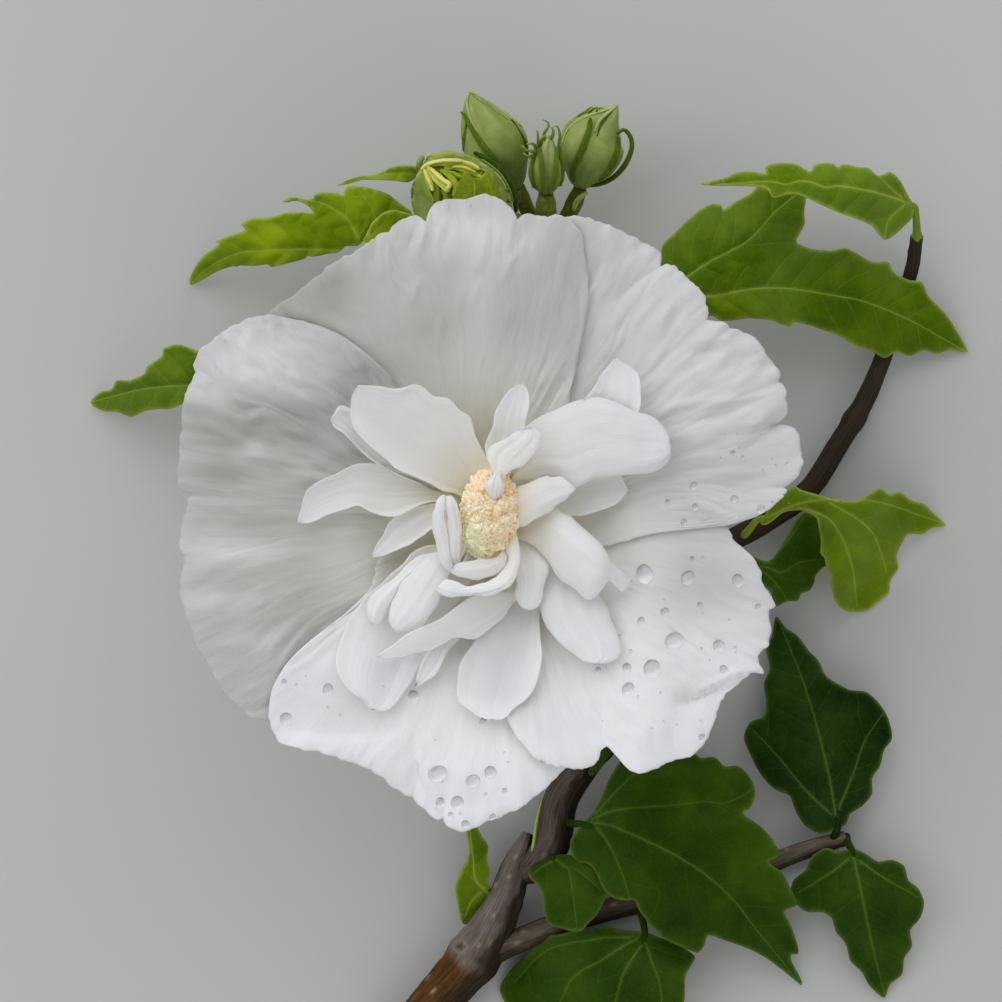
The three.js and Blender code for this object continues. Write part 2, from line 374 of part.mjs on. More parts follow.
// ---------------------------------------------------------------- buds
function bud(b, extra = 0) {
  const base = V(b.base);
  const tip = V(b.tip);
  const dir = tip.clone().sub(base);
  const len = dir.length();
  dir.normalize();
  const side = new THREE.Vector3().crossVectors(dir, new THREE.Vector3(0, 0, 1)).normalize();
  const over = new THREE.Vector3().crossVectors(side, dir).normalize();
  const rings = [];
  const steps = 7;
  const sides = 9;
  for (let i = 0; i <= steps; i++) {
    const t = i / steps;
    const f =
      t < b.peak
        ? Math.pow(Math.sin((Math.PI / 2) * (0.22 + (0.78 * t) / b.peak)), 0.75)
        : Math.pow(Math.max(0, 1 - Math.pow((t - b.peak) / (1 - b.peak), 1.6)), 0.55 * b.sharp);
    const r = Math.max(0.35, b.r * f) + extra;
    const ring = [];
    for (let j = 0; j < sides; j++) {
      const a = (2 * Math.PI * j) / sides;
      const rr = r * (1 + 0.05 * Math.cos(5 * a) * Math.sin(Math.PI * t));
      ring.push(
        base.clone()
          .addScaledVector(dir, len * t + (i === 0 ? -extra : i === steps ? extra : 0))
          .addScaledVector(side, rr * Math.cos(a))
          .addScaledVector(over, rr * Math.sin(a))
      );
    }
    rings.push(ring);
  }
  return loft(rings);
}

// ---------------------------------------------------------------- leaves
function leafGrid(l) {
  const along = l.fine ? 10 : 8;
  const columns = l.fine ? [1, 0.5, 0, -0.5, -1] : [1, 0, -1];
  const curve = new THREE.CatmullRomCurve3(l.mid.map(V), false, "centripetal");
  const left = [[0, 0.9], ...l.p, [1, 0.35]];
  const right = [[0, 0.9], ...l.n, [1, 0.35]];
  const grid = [];
  for (let i = 0; i <= along; i++) {
    const t = i / along;
    const c = curve.getPoint(t);
    const dir = curve.getTangent(t);
    const flat = new THREE.Vector3(-dir.y, dir.x, 0).normalize();
    const row = [];
    for (const s of columns) {
      const w = Math.abs(s) * (s > 0 ? table(left, t) : table(right, t));
      const slope = Math.atan(s > 0 ? l.sp : l.sn);
      const p = c.clone().addScaledVector(flat, Math.sign(s) * w * Math.cos(slope));
      p.z += w * Math.sin(slope) - 0.012 * w * w;
      p.z = p.z > 2 ? p.z : 0.9 + 1.1 * Math.exp((p.z - 2) / 1.1);
      row.push(p);
    }
    grid.push(row);
  }
  return grid;
}
function leaf(l, extra = 0) {
  const blade = slab(leafGrid(l), LEAF_THICK + 2 * extra);
  const a = V(l.attach);
  const m0 = V(l.mid[0]);
  const m1 = new THREE.CatmullRomCurve3(l.mid.map(V), false, "centripetal").getPoint(0.1);
  const bend = a.clone().lerp(m0, 0.5);
  bend.z += 0.12 * a.distanceTo(m0);
  const stalk = limb(
    [[...a.toArray(), PETIOLE_R * 1.25], [...bend.toArray(), PETIOLE_R], [...m0.toArray(), PETIOLE_R * 0.9],
      [m1.x, m1.y, m1.z - 0.1, PETIOLE_R * 0.5]],
    5, 4, extra
  );
  return blade.add(stalk);
}

// ---------------------------------------------------------------- assembly
const root = new THREE.Group();
root.name = "rose_of_sharon";

const SIDES = { main_stem: 12, lower_shoot: 9, upper_shoot: 9, lower_twig: 7, right_shoot: 7, right_shoot_tip: 7, left_twig: 6, flower_stalk: 7 };
const STEPS = { main_stem: 8, lower_shoot: 8, upper_shoot: 8, lower_twig: 7, right_shoot: 5, right_shoot_tip: 6, left_twig: 6, flower_stalk: 5 };

// name -> function of extra clearance, in the order in which pieces keep their full shape
const makers = [];
for (const [name, st] of Object.entries(STEMS))
  makers.push([name, (e) => limb(st, SIDES[name] ?? 6, STEPS[name] ?? 4, e), 1]);
makers.push(["calyx", (e) => calyx(), 0]);
makers.push(["epicalyx", (e) => epicalyx(), 0]);
for (const [name, b] of Object.entries(BUDS)) makers.push([name, (e) => bud(b, e), 1]);
makers.push(["stamen_column", (e) => stamenColumn(e), 1]);
for (const [name, p] of Object.entries(PETALS)) makers.push([name, (e) => petal(p, e), 1]);
makers.push(["petaloids", (e) => {
  let all = stamenTube();
  for (const p of Object.values(PETALOIDS)) all = all.add(petaloid(p, e));
  return all;
}, 1]);
for (const [name, l] of Object.entries(LEAVES)) makers.push([name, (e) => leaf(l, e), 1]);

function boxesMeet(a, b) {
  const A = a.boundingBox();
  const B = b.boundingBox();
  for (let k = 0; k < 3; k++) if (A.max[k] < B.min[k] || B.max[k] < A.min[k]) return false;
  return true;
}

const placed = [];
for (const [name, make] of makers) {
  let body = make(0);
  for (const done of placed) {
    if (!boxesMeet(body, done.wide)) continue;
    if (body.intersect(done.wide).volume() > 1e-6) body = biggest(body.subtract(done.wide));
  }
  placed.push({ name, body, wide: make(CLEAR) });
}

const paint = { stem: "#6a5648", leaf: "#6f8f45", petal: "#f4f3ee", bud: "#9aa878", stamen: "#efe6c2" };
function slotOf(name) {
  if (name.startsWith("leaf")) return "leaf";
  if (name.startsWith("petal")) return "petal";
  if (name === "stamen_column") return "stamen";
  if (name.startsWith("bud_stalk") || name === "flower_stalk") return "bud";
  if (name.startsWith("bud") || name.endsWith("calyx")) return "bud";
  return "stem";
}

for (const { name, body } of placed) {
  const m = body.getMesh();
  let g = new THREE.BufferGeometry();
  const np = m.numProp;
  const count = m.vertProperties.length / np;
  const pos = new Float32Array(count * 3);
  for (let i = 0; i < count; i++)
    for (let k = 0; k < 3; k++) pos[3 * i + k] = m.vertProperties[np * i + k] - ORIGIN_SHIFT[k];
  g.setAttribute("position", new THREE.BufferAttribute(pos, 3));
  g.setIndex(new THREE.BufferAttribute(new Uint32Array(m.triVerts), 1));
  g = mergeVertices(g, 1e-3);
  g.computeVertexNormals();
  const mesh = new THREE.Mesh(g, new THREE.MeshStandardMaterial({ color: paint[slotOf(name)], side: THREE.DoubleSide }));
  mesh.name = name;
  root.add(mesh);
}

export default root;
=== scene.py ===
"""Cut flowering branch of rose of sharon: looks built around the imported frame."""
import bpy
import math
import numpy as np
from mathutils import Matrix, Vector
from mathutils.bvhtree import BVHTree
from mathutils.geometry import delaunay_2d_cdt


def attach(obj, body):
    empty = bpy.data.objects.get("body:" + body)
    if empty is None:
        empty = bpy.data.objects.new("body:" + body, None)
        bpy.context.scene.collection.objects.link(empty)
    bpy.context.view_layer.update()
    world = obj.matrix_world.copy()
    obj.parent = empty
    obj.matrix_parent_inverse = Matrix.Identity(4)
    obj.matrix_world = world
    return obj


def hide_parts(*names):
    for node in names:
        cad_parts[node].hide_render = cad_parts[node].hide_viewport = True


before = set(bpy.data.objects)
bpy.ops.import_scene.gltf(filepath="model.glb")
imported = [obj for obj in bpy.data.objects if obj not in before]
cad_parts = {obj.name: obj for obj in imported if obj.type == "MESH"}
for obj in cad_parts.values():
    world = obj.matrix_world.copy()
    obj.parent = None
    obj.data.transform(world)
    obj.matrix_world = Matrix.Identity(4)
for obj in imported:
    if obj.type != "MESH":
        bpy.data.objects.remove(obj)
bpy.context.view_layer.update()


# ------------------------------------------------------------------ layout
# Places are given as (across, down) in units of 0.175 mm on a plane 50 mm up,
# seen from a viewpoint 700 mm above the ground, with a height in millimetres.
UNIT, EYE, LEVEL = 0.175, 700.0, 50.0
SHIFT = np.array([5.1829, -17.6157, 0.167])
AXIS = np.array([-2.45, -2.97])          # the bloom's axis, mm


def kz(z):
    return UNIT * (EYE - np.asarray(z, float)) / (EYE - LEVEL)


def P(u, v, z):
    """layout units and a height -> millimetres"""
    u, v, z = np.broadcast_arrays(np.asarray(u, float), np.asarray(v, float), np.asarray(z, float))
    k = kz(z)
    return np.stack([(u - 501) * k, (501 - v) * k, z], -1)


def metres(p):
    return (np.asarray(p, float) - SHIFT) * 0.001


def smooth01(t):
    t = np.clip(t, 0, 1)
    return t * t * (3 - 2 * t)


def unit(v):
    return v / np.maximum(np.linalg.norm(v, axis=-1, keepdims=True), 1e-12)


# ------------------------------------------------------------------ noise
def vnoise(x, y, z=0.0, seed=0):
    x, y, z = np.broadcast_arrays(np.asarray(x, float), np.asarray(y, float), np.asarray(z, float))
    xi, yi, zi = (np.floor(a).astype(np.int64) for a in (x, y, z))
    fx, fy, fz = x - xi, y - yi, z - zi
    u, v, w = (f * f * f * (f * (f * 6 - 15) + 10) for f in (fx, fy, fz))

    def h(a, b, c):
        n = (a * 374761393 + b * 668265263 + c * 1442695041 + seed * 974634777) & 0xffffffff
        n = ((n ^ (n >> 13)) * 1274126177) & 0xffffffff
        n = n ^ (n >> 16)
        return n / 2147483648.0 - 1.0

    def mix(a, b, t):
        return a + (b - a) * t
    lo = mix(mix(h(xi, yi, zi), h(xi + 1, yi, zi), u), mix(h(xi, yi + 1, zi), h(xi + 1, yi + 1, zi), u), v)
    hi = mix(mix(h(xi, yi, zi + 1), h(xi + 1, yi, zi + 1), u), mix(h(xi, yi + 1, zi + 1), h(xi + 1, yi + 1, zi + 1), u), v)
    return mix(lo, hi, w)


def fbm(x, y, z=0.0, seed=0, octaves=3, gain=0.5):
    total, amp, f = 0.0, 1.0, 1.0
    for i in range(octaves):
        total = total + amp * vnoise(np.asarray(x) * f, np.asarray(y) * f, np.asarray(z) * f, seed + 17 * i)
        amp *= gain
        f *= 2.03
    return total


# ------------------------------------------------------------------ curves
def catmull(pts, n, centripetal=0.5):
    """n points evenly spaced by length on a smooth curve through pts"""
    p = np.asarray(pts, float)
    if len(p) == 2:
        t = np.linspace(0, 1, n)[:, None]
        return p[0] * (1 - t) + p[1] * t
    p = np.vstack([2 * p[0] - p[1], p, 2 * p[-1] - p[-2]])
    out = []
    for i in range(1, len(p) - 2):
        p0, p1, p2, p3 = p[i - 1:i + 3]
        d = [max(np.linalg.norm(b - a), 1e-6) ** centripetal for a, b in ((p0, p1), (p1, p2), (p2, p3))]
        t0, t1 = 0.0, d[0]
        t2, t3 = t1 + d[1], t1 + d[1] + d[2]
        t = np.linspace(t1, t2, 13)[:-1, None]
        a1 = (t1 - t) / (t1 - t0) * p0 + (t - t0) / (t1 - t0) * p1
        a2 = (t2 - t) / (t2 - t1) * p1 + (t - t1) / (t2 - t1) * p2
        a3 = (t3 - t) / (t3 - t2) * p2 + (t - t2) / (t3 - t2) * p3
        b1 = (t2 - t) / (t2 - t0) * a1 + (t - t0) / (t2 - t0) * a2
        b2 = (t3 - t) / (t3 - t1) * a2 + (t - t1) / (t3 - t1) * a3
        out.append((t2 - t) / (t2 - t1) * b1 + (t - t1) / (t2 - t1) * b2)
    c = np.vstack(out + [p[-2][None]])
    return resample(c, n)


def resample(c, n, closed=False):
    c = np.asarray(c, float)
    if closed:
        c = np.vstack([c, c[:1]])
    s = np.concatenate([[0], np.cumsum(np.linalg.norm(np.diff(c, axis=0), axis=1))])
    t = np.linspace(0, s[-1], n + 1)[:-1] if closed else np.linspace(0, s[-1], n)
    return np.stack([np.interp(t, s, c[:, k]) for k in range(c.shape[1])], -1)


def length(c):
    return float(np.linalg.norm(np.diff(np.asarray(c, float), axis=0), axis=1).sum())


def near_line(pts, line):
    """for each 2-D point: distance, signed distance (left +) and position along (length units)"""
    line = np.asarray(line, float)
    a, b = line[:-1], line[1:]
    ab = b - a
    ll = np.maximum((ab ** 2).sum(1), 1e-12)
    s0 = np.concatenate([[0], np.cumsum(np.sqrt(ll))])
    best = np.full(len(pts), 1e18)
    sd = np.zeros(len(pts))
    al = np.zeros(len(pts))
    for i in range(len(a)):
        w = pts - a[i]
        t = np.clip((w @ ab[i]) / ll[i], 0, 1)
        q = w - t[:, None] * ab[i]
        d = (q ** 2).sum(1)
        m = d < best
        cr = ab[i][0] * w[:, 1] - ab[i][1] * w[:, 0]
        best = np.where(m, d, best)
        sd = np.where(m, np.sign(cr) * np.sqrt(d), sd)
        al = np.where(m, s0[i] + t * math.sqrt(ll[i]), al)
    return np.sqrt(best), sd, al


def inside(pts, poly):
    poly = np.asarray(poly, float)
    x, y = pts[:, 0], pts[:, 1]
    c = np.zeros(len(pts), bool)
    j = len(poly) - 1
    for i in range(len(poly)):
        xi, yi = poly[i]
        xj, yj = poly[j]
        if yi != yj:
            c ^= ((yi > y) != (yj > y)) & (x < (xj - xi) * (y - yi) / (yj - yi) + xi)
        j = i
    return c


# ------------------------------------------------------------------ meshes
class Bits:
    """gathers vertices, faces and per-vertex numbers of one piece, in millimetres"""

    def __init__(self):
        self.v, self.f, self.a, self.n = [], [], {}, 0

    def add(self, v, faces, **attrs):
        v = np.asarray(v, float).reshape(-1, 3)
        base = self.n
        for f in faces:
            f = np.asarray(f, np.int64)
            if len(f):
                self.f.append(f + base)
        self.v.append(v)
        for k in set(self.a) | set(attrs):
            if k not in self.a:
                self.a[k] = [np.zeros(base)]
            x = attrs.get(k, 0.0)
            self.a[k].append(np.broadcast_to(np.asarray(x, float).reshape(-1), (len(v),)) if np.size(x) in (1, len(v)) else np.zeros(len(v)))
        self.n += len(v)
        return base

    def object(self, name, material, slot, replaces=()):
        v = metres(np.vstack(self.v))
        v[:, 2] = np.maximum(v[:, 2], 0.00005)          # nothing below the ground
        me = bpy.data.meshes.new(name)
        tris = [f for f in self.f if f.shape[1] == 3]
        quads = [f for f in self.f if f.shape[1] == 4]
        idx = np.concatenate([f.reshape(-1) for f in tris + quads]).astype(np.int32)
        sizes = np.concatenate([np.full(len(f), f.shape[1]) for f in tris + quads]).astype(np.int32)
        me.vertices.add(len(v))
        me.vertices.foreach_set("co", v.astype(np.float32).reshape(-1))
        me.loops.add(len(idx))
        me.loops.foreach_set("vertex_index", idx)
        me.polygons.add(len(sizes))
        me.polygons.foreach_set("loop_start", np.concatenate([[0], np.cumsum(sizes)[:-1]]).astype(np.int32))
        me.polygons.foreach_set("use_smooth", np.ones(len(sizes), bool))
        for k, parts in self.a.items():
            at = me.attributes.new(k, "FLOAT", "POINT")
            at.data.foreach_set("value", np.concatenate(parts).astype(np.float32))
        me.update(calc_edges=True)
        me.validate()
        o = bpy.data.objects.new(name, me)
        bpy.context.scene.collection.objects.link(o)
        me.materials.append(material)
        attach(o, "root")
        if replaces:
            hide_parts(*replaces)
        return o


def grid_normals(g):
    du = np.gradient(g, axis=0)
    dv = np.gradient(g, axis=1)
    return unit(np.cross(du, dv))


def quads_of(nu, nv, base=0):
    i, j = np.meshgrid(np.arange(nu - 1), np.arange(nv - 1), indexing="ij")
    a = (i * nv + j).reshape(-1) + base
    return np.stack([a, a + nv, a + nv + 1, a + 1], -1)


def slab(bits, g, thick, **attrs):
    """closed thin skin round a grid of points; thick may vary over the grid"""
    nu, nv = g.shape[:2]
    nrm = grid_normals(g)
    t = np.broadcast_to(np.asarray(thick, float), (nu, nv))[..., None]
    top = g + nrm * t / 2
    low = g - nrm * t / 2
    n = nu * nv
    f = [quads_of(nu, nv), quads_of(nu, nv, n)[:, ::-1]]
    rim = [(0, j) for j in range(nv)] + [(i, nv - 1) for i in range(1, nu)] + \
          [(nu - 1, j) for j in range(nv - 2, -1, -1)] + [(i, 0) for i in range(nu - 2, 0, -1)]
    r = np.array([i * nv + j for i, j in rim])
    r2 = np.roll(r, -1)
    f.append(np.stack([r, r2, r2 + n, r + n], -1))
    at = {k: np.concatenate([np.broadcast_to(x, (nu, nv)).reshape(-1)] * 2) for k, x in attrs.items()}
    at["under"] = np.concatenate([np.zeros(n), np.ones(n)])
    bits.add(np.concatenate([top.reshape(-1, 3), low.reshape(-1, 3)]), f, **at)


def frames(c):
    """tangent and two side vectors carried along a line of points"""
    t = unit(np.gradient(c, axis=0))
    up = np.array([0, 0, 1.0])
    side, over = np.zeros_like(c), np.zeros_like(c)
    s = np.cross(t[0], up)
    if np.linalg.norm(s) < 0.2:
        s = np.cross(t[0], [1.0, 0, 0])
    s = unit(s)
    for i in range(len(c)):
        s = unit(s - t[i] * np.dot(s, t[i]))
        side[i] = s
        over[i] = np.cross(s, t[i])
    return t, side, over


def tube(bits, c, r, sides=16, relief=None, cap0=3, cap1=3, **attrs):
    """closed tube along c (mm) with radii r; relief(i_frac, angle, s) adds to the radius"""
    c = np.asarray(c, float)
    n = len(c)
    r = np.broadcast_to(np.asarray(r, float), (n,))
    t, side, over = frames(c)
    th = np.arange(sides) * 2 * math.pi / sides
    s = np.concatenate([[0], np.cumsum(np.linalg.norm(np.diff(c, axis=0), axis=1))])
    R = np.repeat(r[:, None], sides, 1)
    if relief is not None:
        R = R + relief(np.repeat(s[:, None], sides, 1), np.repeat(th[None], n, 0), R)
    ring = c[:, None] + R[..., None] * (np.cos(th)[None, :, None] * side[:, None] + np.sin(th)[None, :, None] * over[:, None])
    v = [ring.reshape(-1, 3)]
    i, j = np.meshgrid(np.arange(n - 1), np.arange(sides), indexing="ij")
    j2 = (j + 1) % sides
    a, b, d, e = i * sides + j, i * sides + j2, (i + 1) * sides + j2, (i + 1) * sides + j
    f = [np.stack([a, b, d, e], -1).reshape(-1, 4)[:, ::-1]]
    count = n * sides
    at = {k: [np.broadcast_to(np.asarray(x, float), (n, sides)).reshape(-1) if np.ndim(x) != 1 else np.repeat(np.asarray(x, float), sides)] for k, x in attrs.items()}
    at["cut"] = [np.zeros(count)]
    for end, rings in ((0, cap0), (n - 1, cap1)):
        prev = np.arange(sides) + end * sides
        mid = ring[end].mean(0)
        for q in range(1, rings):
            k = 1 - q / rings
            v.append(mid + (ring[end] - mid) * k)
            cur = np.arange(sides) + count
            w = np.stack([prev, np.roll(prev, -1), np.roll(cur, -1), cur], -1)
            f.append(w if end == 0 else w[:, ::-1])
            for kk, x in attrs.items():
                x = np.asarray(x, float)
                val = x if x.ndim == 0 else (x[end] if x.ndim == 1 else x[end].mean())
                at[kk].append(np.full(sides, float(val)))
            at["cut"].append(np.full(sides, 1.0 + k))
            prev = cur
            count += sides
        v.append(mid[None])
        cc = np.full(sides, count)
        w = np.stack([prev, np.roll(prev, -1), cc], -1)
        f.append(w if end == 0 else w[:, ::-1])
        for kk, x in attrs.items():
            x = np.asarray(x, float)
            val = x if x.ndim == 0 else (x[end] if x.ndim == 1 else x[end].mean())
            at[kk].append(np.array([float(val)]))
        at["cut"].append(np.array([1.0]))
        count += 1
    bits.add(np.vstack(v), f, **{k: np.concatenate(x) for k, x in at.items()})
    return ring


def tree_of(objs):
    """ray-casting tree over finished pieces, in metres"""
    vs, fs, n = [], [], 0
    for o in objs:
        me = o.data
        co = np.zeros(len(me.vertices) * 3, np.float32)
        me.vertices.foreach_get("co", co)
        vs.append(co.reshape(-1, 3))
        fs += [[v + n for v in p.vertices] for p in me.polygons]
        n += len(me.vertices)
    return BVHTree.FromPolygons(np.vstack(vs).tolist(), fs)


def strike(tree, u, v):
    """where the line of sight at layout place (u, v) meets the tree: point and normal in mm, or None"""
    o = np.array([0, 0, EYE])
    d = P(u, v, 0) - o
    hit = tree.ray_cast(Vector(metres(o)), Vector(unit(d)))
    if hit[0] is None:
        return None
    p = np.array(hit[0]) * 1000 + SHIFT
    n = np.array(hit[1])
    if n[2] < 0:
        n = -n
    return p, n


# ------------------------------------------------------------------ materials
def lin(h):
    h = h.lstrip("#")
    c = [int(h[i:i + 2], 16) / 255 for i in (0, 2, 4)]
    return tuple((x / 12.92 if x <= 0.04045 else ((x + 0.055) / 1.055) ** 2.4) for x in c) + (1.0,)


class Mat:
    """a Principled material with a few procedural helpers"""

    def __init__(self, name, rough=0.5, **sockets):
        self.m = bpy.data.materials.new(name)
        self.m.use_nodes = True
        self.nt = self.m.node_tree
        self.b = self.nt.nodes["Principled BSDF"]
        self.b.inputs["Roughness"].default_value = rough
        for k, x in sockets.items():
            self.b.inputs[k.replace("_", " ")].default_value = x

    def node(self, kind, **props):
        n = self.nt.nodes.new(kind)
        for k, x in props.items():
            setattr(n, k, x)
        return n

    def link(self, a, b):
        self.nt.links.new(a, b)

    def attr(self, name):
        return self.node("ShaderNodeAttribute", attribute_name=name).outputs["Fac"]

    def place(self):
        return self.node("ShaderNodeTexCoord").outputs["Object"]

    def math(self, op, a, b=0.0, clamp=False):
        n = self.node("ShaderNodeMath", operation=op, use_clamp=clamp)
        for s, x in zip(n.inputs, (a, b)):
            if isinstance(x, (int, float)):
                s.default_value = x
            else:
                self.link(x, s)
        return n.outputs[0]

    def noise(self, scale, detail=3.0, rough=0.55, vector=None, distortion=0.0):
        n = self.node("ShaderNodeTexNoise")
        n.inputs["Scale"].default_value = scale
        n.inputs["Detail"].default_value = detail
        n.inputs["Roughness"].default_value = rough
        n.inputs["Distortion"].default_value = distortion
        self.link(vector if vector is not None else self.place(), n.inputs["Vector"])
        return n.outputs["Fac"]

    def voronoi(self, scale, feature="F1", vector=None):
        n = self.node("ShaderNodeTexVoronoi", feature=feature)
        n.inputs["Scale"].default_value = scale
        self.link(vector if vector is not None else self.place(), n.inputs["Vector"])
        return n.outputs["Distance"]

    def vec(self, x, y, z=0.0):
        n = self.node("ShaderNodeCombineXYZ")
        for s, q in zip(n.inputs, (x, y, z)):
            if isinstance(q, (int, float)):
                s.default_value = q
            else:
                self.link(q, s)
        return n.outputs[0]

    def scaled(self, vector, s):
        n = self.node("ShaderNodeVectorMath", operation="MULTIPLY")
        self.link(vector, n.inputs[0])
        n.inputs[1].default_value = s
        return n.outputs[0]

    def ramp(self, fac, stops):
        n = self.node("ShaderNodeValToRGB")
        e = n.color_ramp.elements
        e[0].position, e[0].color = stops[0][0], lin(stops[0][1]) if isinstance(stops[0][1], str) else (stops[0][1],) * 3 + (1,)
        e[1].position, e[1].color = stops[-1][0], lin(stops[-1][1]) if isinstance(stops[-1][1], str) else (stops[-1][1],) * 3 + (1,)
        for p, c in stops[1:-1]:
            x = e.new(p)
            x.color = lin(c) if isinstance(c, str) else (c,) * 3 + (1,)
        self.link(fac, n.inputs[0])
        return n.outputs[0]

    def mix(self, fac, a, b, kind="MIX"):
        n = self.node("ShaderNodeMix", data_type="RGBA", blend_type=kind)
        for s, x in ((n.inputs[0], fac), (n.inputs[6], a), (n.inputs[7], b)):
            if isinstance(x, (int, float)):
                s.default_value = x
            elif isinstance(x, str):
                s.default_value = lin(x)
            else:
                self.link(x, s)
        return n.outputs[2]

    def color(self, x):
        if isinstance(x, str):
            self.b.inputs["Base Color"].default_value = lin(x)
        else:
            self.link(x, self.b.inputs["Base Color"])

    def rough(self, x):
        self.link(x, self.b.inputs["Roughness"])

    def bump(self, height, strength=0.5, distance=0.0002):
        n = self.node("ShaderNodeBump")
        n.inputs["Strength"].default_value = strength
        n.inputs["Distance"].default_value = distance
        self.link(height, n.inputs["Height"])
        self.link(n.outputs[0], self.b.inputs["Normal"])


def soft(m, weight, radius, scale):
    m.b.inputs["Subsurface Weight"].default_value = weight
    m.b.inputs["Subsurface Radius"].default_value = radius
    m.b.inputs["Subsurface Scale"].default_value = scale


def petal_material():
    m = Mat("petal_white", 0.62, Specular_IOR_Level=0.22, Sheen_Weight=0.12, Sheen_Roughness=0.5)
    reach = m.attr("reach")           # 0 at the throat, 1 at the rim
    fan = m.attr("fan")               # degrees round the petal
    broad = m.noise(90, 2, 0.5)
    streak = m.noise(1.0, 4, 0.62, m.vec(m.math("MULTIPLY", fan, 0.9), m.math("MULTIPLY", reach, 5.0), 3.1), 0.4)
    tone = m.math("ADD", reach, m.math("MULTIPLY", m.math("SUBTRACT", broad, 0.5), 0.12))
    base = m.ramp(tone, [(0.0, "#e6e6b4"), (0.14, "#f2f1d0"), (0.30, "#f8f7e8"), (0.56, "#fafaf8"), (1.0, "#f9fafc")])
    col = m.mix(m.math("MULTIPLY", m.math("SUBTRACT", streak, 0.45, True), 0.35), base, "#eceded")
    # painted shade: the grey number mixes the white towards grey
    col = m.mix(m.attr("grey"), col, "#a8a8a4")
    m.color(col)
    cells = m.noise(2600, 2, 0.6)
    fine = m.noise(1.0, 3, 0.6, m.vec(m.math("MULTIPLY", fan, 2.6), m.math("MULTIPLY", reach, 7.0), 0.7), 0.3)
    h = m.math("ADD", m.math("MULTIPLY", streak, 0.7), m.math("ADD", m.math("MULTIPLY", fine, 0.45), m.math("MULTIPLY", cells, 0.10)))
    m.bump(h, 0.6, 0.00022)
    soft(m, 0.55, (0.95, 1.0, 0.85), 0.0010)
    return m.m


def petaloid_material():
    m = Mat("petaloid_white", 0.58, Specular_IOR_Level=0.22, Sheen_Weight=0.1, Sheen_Roughness=0.5)
    t = m.attr("reach")
    across = m.attr("fan")
    spots = m.noise(260, 2, 0.5)
    base = m.ramp(m.math("ADD", t, m.math("MULTIPLY", m.math("SUBTRACT", spots, 0.5), 0.10)),
                  [(0.0, "#f2d9b0"), (0.13, "#f8ecd0"), (0.34, "#fdfaf0"), (0.75, "#fdfdfd"), (1.0, "#fcfcfe")])
    # painted shade: the grey number mixes the petaloid towards grey
    m.color(m.mix(m.attr("grey"), base, "#b4b2a8"))
    streak = m.noise(1.0, 4, 0.6, m.vec(m.math("MULTIPLY", across, 7.0), m.math("MULTIPLY", t, 2.2), m.attr("shoot")), 0.35)
    cells = m.noise(2800, 2, 0.6)
    m.bump(m.math("ADD", m.math("MULTIPLY", streak, 0.8), m.math("MULTIPLY", cells, 0.08)), 0.6, 0.00034)
    soft(m, 0.80, (1.0, 0.97, 0.82), 0.0016)
    return m.m


def pollen_material(name, a, b, rough=0.75):
    m = Mat(name, rough, Specular_IOR_Level=0.10)
    n = m.noise(900, 3, 0.6)
    c = m.ramp(n, [(0.3, a), (0.7, b)])
    m.color(c)
    m.link(c, m.b.inputs["Emission Color"])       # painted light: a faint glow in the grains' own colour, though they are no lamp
    m.b.inputs["Emission Strength"].default_value = 0.045
    m.bump(m.voronoi(2600), 0.12, 0.0001)
    soft(m, 0.45, (1.0, 0.88, 0.6), 0.0008)
    return m.m


def water_material():
    m = Mat("water", 0.06, Specular_IOR_Level=0.5, IOR=1.33, Alpha=0.54, Coat_Weight=0.3, Coat_Roughness=0.03)
    # painted light and shade: the base colour runs from a painted dark crescent on the side towards the light to white
    # on the far side
    m.color(m.ramp(m.math("ADD", m.attr("glow"), m.math("MULTIPLY", m.noise(300, 1), 0.02)),
                   [(0.0, "#8f919b"), (0.25, "#bcbec5"), (0.5, "#f2f3f6"), (0.7, "#ffffff"), (1.0, "#ffffff")]))
    soft(m, 0.85, (1.0, 1.0, 1.0), 0.003)
    # painted light: an emission glow on the side away from the sky, standing in for light focused through the drop
    e = m.ramp(m.attr("glow"), [(0.0, "#000000"), (0.62, "#000000"), (1.0, "#b4b6bc")])
    m.link(e, m.b.inputs["Emission Color"])
    m.b.inputs["Emission Strength"].default_value = 0.55
    return m.m


